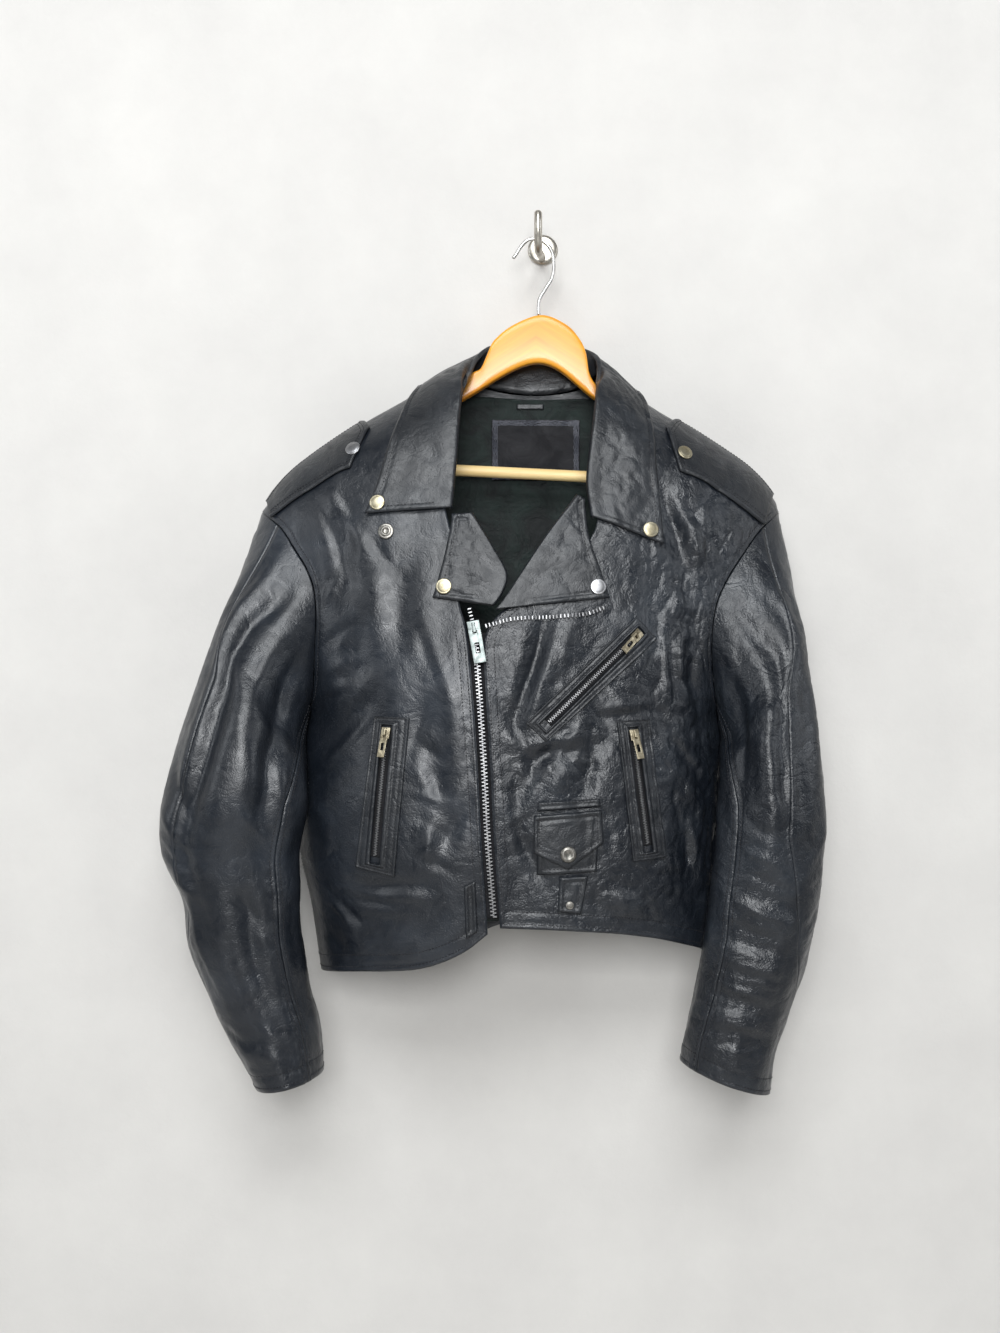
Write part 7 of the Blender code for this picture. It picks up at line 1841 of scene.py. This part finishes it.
def lining_grid(columns, rows):
    top = along(spline(LINING_TOP), np.linspace(0, 1, columns + 1))
    low = along(np.array(LINING_LOW), np.linspace(0, 1, columns + 1))
    v = np.linspace(0, 1, rows + 1)[:, None, None] ** 1.3
    flat = top[None] * (1 - v) + low[None] * v
    x, z = flat[..., 0], flat[..., 1]
    y = body_y(x, z, 1) - LEATHER - 0.0040 - np.abs(fold_height(x, z, BACK_FOLDS))
    drop = v[..., 0] * np.ones_like(x)
    soft = 0.0018 * noise_at(x, z * 0.22, 0.020, 12.0) + 0.0010 * noise_at(x, z, 0.024, 13.0)
    ripple = 0.0010 * noise_at(x, z * 2.5, 0.016, 14.0) * np.exp(-drop / 0.10)
    free = rising(drop, 0.05) * rising(1 - drop, 0.04)
    points = np.stack([x, y - 0.0012 + (soft + ripple) * free, z], axis=-1)
    sewn_on = Under([panels["back"]])
    for row in (0, rows):
        for column in range(columns + 1):
            start = Vector((points[row, column, 0], -0.0560, points[row, column, 2]))
            hit = sewn_on.tree.ray_cast(start, Vector((0.0, 1.0, 0.0)), 0.1)
            if hit[0] is not None:
                points[row, column, 1] = hit[0].y - LINING - 0.0005
    for row in range(1, 4):
        points[row, :, 1] = np.minimum(points[row, :, 1], points[0, :, 1] + 0.002 * row)
    return points


points = lining_grid(96, 130)
lining = cloth_sheet("back_lining_satin", points, points + np.array([0.0, LINING, 0.0]), lining_satin)
on_lining = Under([lining])


def inside_piece(name, corners, columns, rows, lift, thickness, material):
    """A flat piece sewn on the lining, thinner along its rim."""
    flat = four_sided(corners, columns, rows)
    points = np.stack([flat[..., 0], body_y(flat[..., 0], flat[..., 1], 1), flat[..., 1]], axis=-1)
    normals = np.broadcast_to(np.array([0.0, -1.0, 0.0]), points.shape)
    points = smooth_grid(on_lining.lay(points, normals, lift, 0.002), normals, 6)
    away = np.min([from_edge(points, side) for side in ALL_SIDES], axis=0)
    top = points + normals * (thickness - 0.0003 * (away < 0.0005))[..., None]
    cloth_sheet(name, top, points, material)
    return top, normals


label_top, label_out = inside_piece("neck_label_cloth", LABEL, 50, 34, 0.0004, 0.0008, label_weave)
inside_piece("hanging_loop_leather", LOCKER_LOOP, 20, 6, 0.0006, 0.0012, trim_leather)
border = Stitches()
random_shift = np.random.default_rng(5)
for distance in np.arange(0.0014, 0.0070, 0.0008):
    for side in ALL_SIDES:
        line, way = inset_line(label_top, label_out, side, distance)
        line = line + random_shift.normal(0.0, 0.00030, line.shape) * np.array([1.0, 0.3, 1.0])
        border.run(line, way, 0.0015, 0.0022, TRIM_THREAD)
border.piece("neck_label_border", label_thread)

# %% [markdown]
# ## The hanger and the wall hook
# The hanger is a varnished wooden one: two arms cut from a board, rounded along their edges, a round
# bar let into them, and a bent wire hook. The hook on the wall is turned and cast metal.

# %% Hanger
HANGER_TOP = [(-0.2300, -0.2435), (-0.1900, -0.2148), (-0.1450, -0.1898), (-0.1100, -0.1712), (-0.0860, -0.1610),
              (-0.0720, -0.1545), (-0.0640, -0.1500), (-0.0570, -0.1340), (-0.0500, -0.1205), (-0.0300, -0.1045),
              (0.0000, -0.0940), (0.0260, -0.1040), (0.0400, -0.1190), (0.0470, -0.1340), (0.0505, -0.1560),
              (0.0600, -0.1705), (0.0720, -0.1730), (0.1150, -0.1959), (0.1600, -0.2228), (0.1900, -0.2416)]
HANGER_BOTTOM = [(-0.2300, -0.2830), (-0.1900, -0.2520), (-0.1450, -0.2220), (-0.0810, -0.1830), (-0.0040, -0.1450),
                 (0.0550, -0.1820), (0.1150, -0.2250), (0.1600, -0.2560), (0.1900, -0.2830)]
HANGER_THICK = 0.0160
HANGER_Y = -0.0575
BAR_ENDS = [(-0.2080, -0.2520), (0.1780, -0.2710)]
BAR_RADIUS = 0.0060
WIRE = [(-0.0030, -0.0942), (-0.0025, -0.0780), (0.0040, -0.0660), (0.0110, -0.0540), (0.0130, -0.0400),
        (0.0110, -0.0260), (0.0040, -0.0165), (-0.0060, -0.0125), (-0.0150, -0.0140), (-0.0220, -0.0210),
        (-0.0270, -0.0290), (-0.0305, -0.0335)]
WIRE_RADIUS = 0.0019


def hanger_arms():
    """A rounded section carried along the arms, closed at both ends."""
    x = np.linspace(-0.2290, 0.1890, 181)
    top_line, low_line = spline(HANGER_TOP), spline(HANGER_BOTTOM)
    top = np.interp(x, top_line[:, 0], top_line[:, 1])
    low = np.interp(x, low_line[:, 0], low_line[:, 1])
    turn = np.linspace(0, 2 * np.pi, 40, endpoint=False)
    power = 0.34
    across = np.sign(np.cos(turn)) * np.abs(np.cos(turn)) ** power
    upward = np.sign(np.sin(turn)) * np.abs(np.sin(turn)) ** power
    tip = np.minimum((x - x[0]) / 0.010, (x[-1] - x) / 0.010).clip(0, 1)
    size = 0.55 + 0.45 * np.sqrt(1 - (1 - tip) ** 2)
    middle, half = (top + low) / 2, (top - low) / 2
    y = HANGER_Y + HANGER_THICK / 2 * 0.99 * across[:, None] * size
    z = middle + half * upward[:, None] * (0.8 + 0.2 * size)
    grid = np.stack([np.repeat(x[None], len(turn), axis=0), y, z], axis=-1)
    count = len(x)
    tips = [[x[0] - 0.0008, HANGER_Y, middle[0]], [x[-1] + 0.0008, HANGER_Y, middle[-1]]]
    points = np.concatenate([grid.reshape(-1, 3), tips])
    faces = []
    for r in range(len(turn)):
        n = (r + 1) % len(turn)
        faces += [(r * count + c, n * count + c, n * count + c + 1, r * count + c + 1) for c in range(count - 1)]
        faces.append((len(points) - 2, n * count, r * count))
        faces.append((len(points) - 1, r * count + count - 1, n * count + count - 1))
    finish_piece(mesh_of("hanger_arms_wood", points, faces), hanger_wood, "jacket", "hanger_arms")


def rod(name, path, radius, sides, steps, material, node_name, rounded=False):
    """A round rod along a smooth path; rounded ends close like a dome."""
    line = spline(path, steps) if len(path) > 2 else np.linspace(path[0], path[1], steps)
    run = run_along(line)
    size = np.full(len(line), radius)
    if rounded:
        near = np.minimum(run, run[-1] - run)
        size = radius * np.sqrt(np.clip(1 - (1 - rising(near, radius)) ** 2, 0.03, 1))
    forward = unit(np.gradient(line, axis=0))
    side = unit(np.cross(forward[0], [0.0, 1.0, 0.02]))
    turn = np.linspace(0, 2 * np.pi, sides, endpoint=False)
    rings = []
    for point, ahead, r in zip(line, forward, size):
        side = unit(side - ahead * np.dot(side, ahead))
        other = np.cross(ahead, side)
        rings.append(point + r * (np.cos(turn)[:, None] * side + np.sin(turn)[:, None] * other))
    rings = np.array(rings)
    count = len(line)
    points = np.concatenate([rings.reshape(-1, 3), line[:1], line[-1:]])
    faces = []
    for c in range(sides):
        n = (c + 1) % sides
        faces += [(r * sides + c, r * sides + n, (r + 1) * sides + n, (r + 1) * sides + c) for r in range(count - 1)]
        faces.append((count * sides, n, c))
        faces.append((count * sides + 1, (count - 1) * sides + c, (count - 1) * sides + n))
    finish_piece(mesh_of(name, points, faces), material, "jacket", node_name)


hanger_arms()
rod("hanger_bar_wood", [(x, HANGER_Y, z) for x, z in BAR_ENDS], BAR_RADIUS, 32, 40, bar_wood, "hanger_bar")
rod("hanger_hook_wire", [(x, HANGER_Y, z) for x, z in WIRE], WIRE_RADIUS, 20, 12, wire_metal,
    "hanger_hook", True)

# %% Wall hook
HOOK_ARM = [(0.0020, -0.0052, -0.0180), (0.0005, -0.0240, -0.0205), (-0.0015, -0.0430, -0.0240),
            (-0.0035, -0.0565, -0.0222), (-0.0038, -0.0665, -0.0120), (-0.0038, -0.0695, 0.0030),
            (-0.0038, -0.0665, 0.0150)]
plate_place = frame_at((0.0030, 0.0, -0.0080), (0.0, 0.0, 1.0), (0.0, -1.0, 0.0))
PLATE = [(0.0, 0.0040), (0.0040, 0.0040), (0.0080, 0.0040), (0.0112, 0.0039), (0.0128, 0.0036), (0.0146, 0.0031),
         (0.0158, 0.0024), (0.0164, 0.0014), (0.0165, 0.0004), (0.0160, 0.0)]
turned_cap("wall_hook_plate_metal", PLATE, 64, plate_place, hook_metal, "wall_hook_plate")
rod("wall_hook_arm_metal", HOOK_ARM, 0.0042, 28, 12, hook_metal, "wall_hook_arm", True)
print("hanger and hook ready")

# %% [markdown]
# ## Seams under the edges
# Where two panels are sewn, their edges turn inward and lie on each other, so nobody sees through the
# seam. A thin dark core under each long seam stands for these turned edges.

# %% Seam cores
CORE_DEPTH = 0.0017
for side in ("right", "left"):
    shares = np.linspace(0.0, 1.0, 28)
    (front, front_out), (rear, rear_out) = armhole(side, shares, -1), armhole(side, shares[::-1], 1)
    hole = np.concatenate([front - front_out * CORE_DEPTH, (rear - rear_out * CORE_DEPTH)[1:]])
    rod(f"{side}_armhole_seam", hole, 0.0012, 6, 2, trim_leather, ())
    outer, out = sleeve_grids[side, "top"]
    for name, column in (("outer", 0), ("inner", -1)):
        line = (outer[:, column] - out[:, column] * CORE_DEPTH)[4::6]
        rod(f"{side}_{name}_sleeve_seam", line, 0.0011, 6, 2, trim_leather, ())
print("seam cores: 6")

# %% [markdown]
# ## The wall, the floor and the light
# A photograph of a black jacket needs a pale background and large soft lights: the leather shows its
# form only by what it reflects. One big light hangs above and in front, weaker ones stand at the sides.

# %% Stage
wall_finish, tree, shader, place = new_finish("pale plaster")
cloud = texture(tree, place, "Noise", Scale=6.0, Detail=6.0, Roughness=0.65)
grit = texture(tree, place, "Noise", Scale=160.0, Detail=4.0, Roughness=0.6)
tone = ramp(tree, cloud.outputs["Fac"], 0.30, 0.72, (0.555, 0.540, 0.520), (0.615, 0.600, 0.575))
tree.links.new(tone, shader.inputs["Base Color"])
tree.links.new(bump(tree, grit.outputs["Fac"], 0.25, 0.0012), shader.inputs["Normal"])
set_inputs(shader, Roughness=0.9)
# Seen from behind, the wall is clear, so the jacket's back can be looked at.
behind, clear = node(tree, "NewGeometry").outputs["Backfacing"], node(tree, "BsdfTransparent").outputs["BSDF"]
either = node(tree, "MixShader")
for socket, output in enumerate((behind, shader.outputs["BSDF"], clear)):
    tree.links.new(output, either.inputs[socket])
tree.links.new(either.outputs[0], tree.nodes["Material Output"].inputs["Surface"])
WALL_Y, WALL_TOP, BEND_Z, BEND, FLOOR_END, HALF_WIDTH = 0.0006, 1.6, -1.35, 0.25, -5.0, 3.2
profile = [(WALL_Y, WALL_TOP), (WALL_Y, BEND_Z)]
for a in np.linspace(0.05, math.pi / 2, 14):
    profile.append((WALL_Y - BEND * (1 - math.cos(a)), BEND_Z - BEND * math.sin(a)))
profile.append((FLOOR_END, BEND_Z - BEND))
points = [(x, y, z) for y, z in profile for x in (-HALF_WIDTH, HALF_WIDTH)]
faces = [(2 * k + 2, 2 * k + 3, 2 * k + 1, 2 * k) for k in range(len(profile) - 1)]
backdrop = mesh_of("backdrop", points, faces)
backdrop.data.materials.append(wall_finish)
for polygon in backdrop.data.polygons:
    polygon.use_smooth = True
backdrop.visible_shadow = False


JACKET_MIDDLE = Vector((-0.04, -0.08, -0.46))


def soft_light(name, place, size, power, colour):
    """A large rectangular light that looks at the middle of the jacket."""
    data = bpy.data.lights.new(name, "AREA")
    data.shape = "RECTANGLE"
    data.size, data.size_y = size
    data.energy = power
    data.color = colour
    made = bpy.data.objects.new(name, data)
    made.location = place
    made.rotation_euler = (JACKET_MIDDLE - Vector(place)).to_track_quat("-Z", "Y").to_euler()
    scene.collection.objects.link(made)


soft_light("key light", (-0.25, -2.60, 1.60), (2.2, 1.3), 84.0, (0.96, 0.985, 1.0))
soft_light("front light", (-0.10, -2.70, 0.05), (0.9, 0.7), 44.0, (0.97, 0.985, 1.0))
soft_light("left light", (-1.9, -0.9, 0.10), (0.5, 1.3), 9.0, (0.93, 0.965, 1.0))
soft_light("right light", (1.9, -0.9, 0.10), (0.5, 1.3), 9.0, (0.93, 0.965, 1.0))
# One more light stands behind the wall, which throws no shadow. It lights only the jacket's back.
soft_light("rear light", (-0.04, 2.60, 0.30), (2.0, 1.2), 40.0, (0.96, 0.985, 1.0))
world = bpy.data.worlds.new("studio")
scene.world = world
world.use_nodes = True
set_inputs(world.node_tree.nodes["Background"], Color=(0.92, 0.95, 1.0, 1.0), Strength=0.07)
scene.view_settings.view_transform = "Standard"
print("lights ready")

# %% [markdown]
# ## The count of triangles
# The dressed jacket is meant to stay the size of its solids. Here its triangles are counted and printed.

# %% Finish
bpy.context.view_layer.update()
print("triangles:", sum(sum(len(p.vertices) - 2 for p in made.data.polygons) for made in everything.values()))
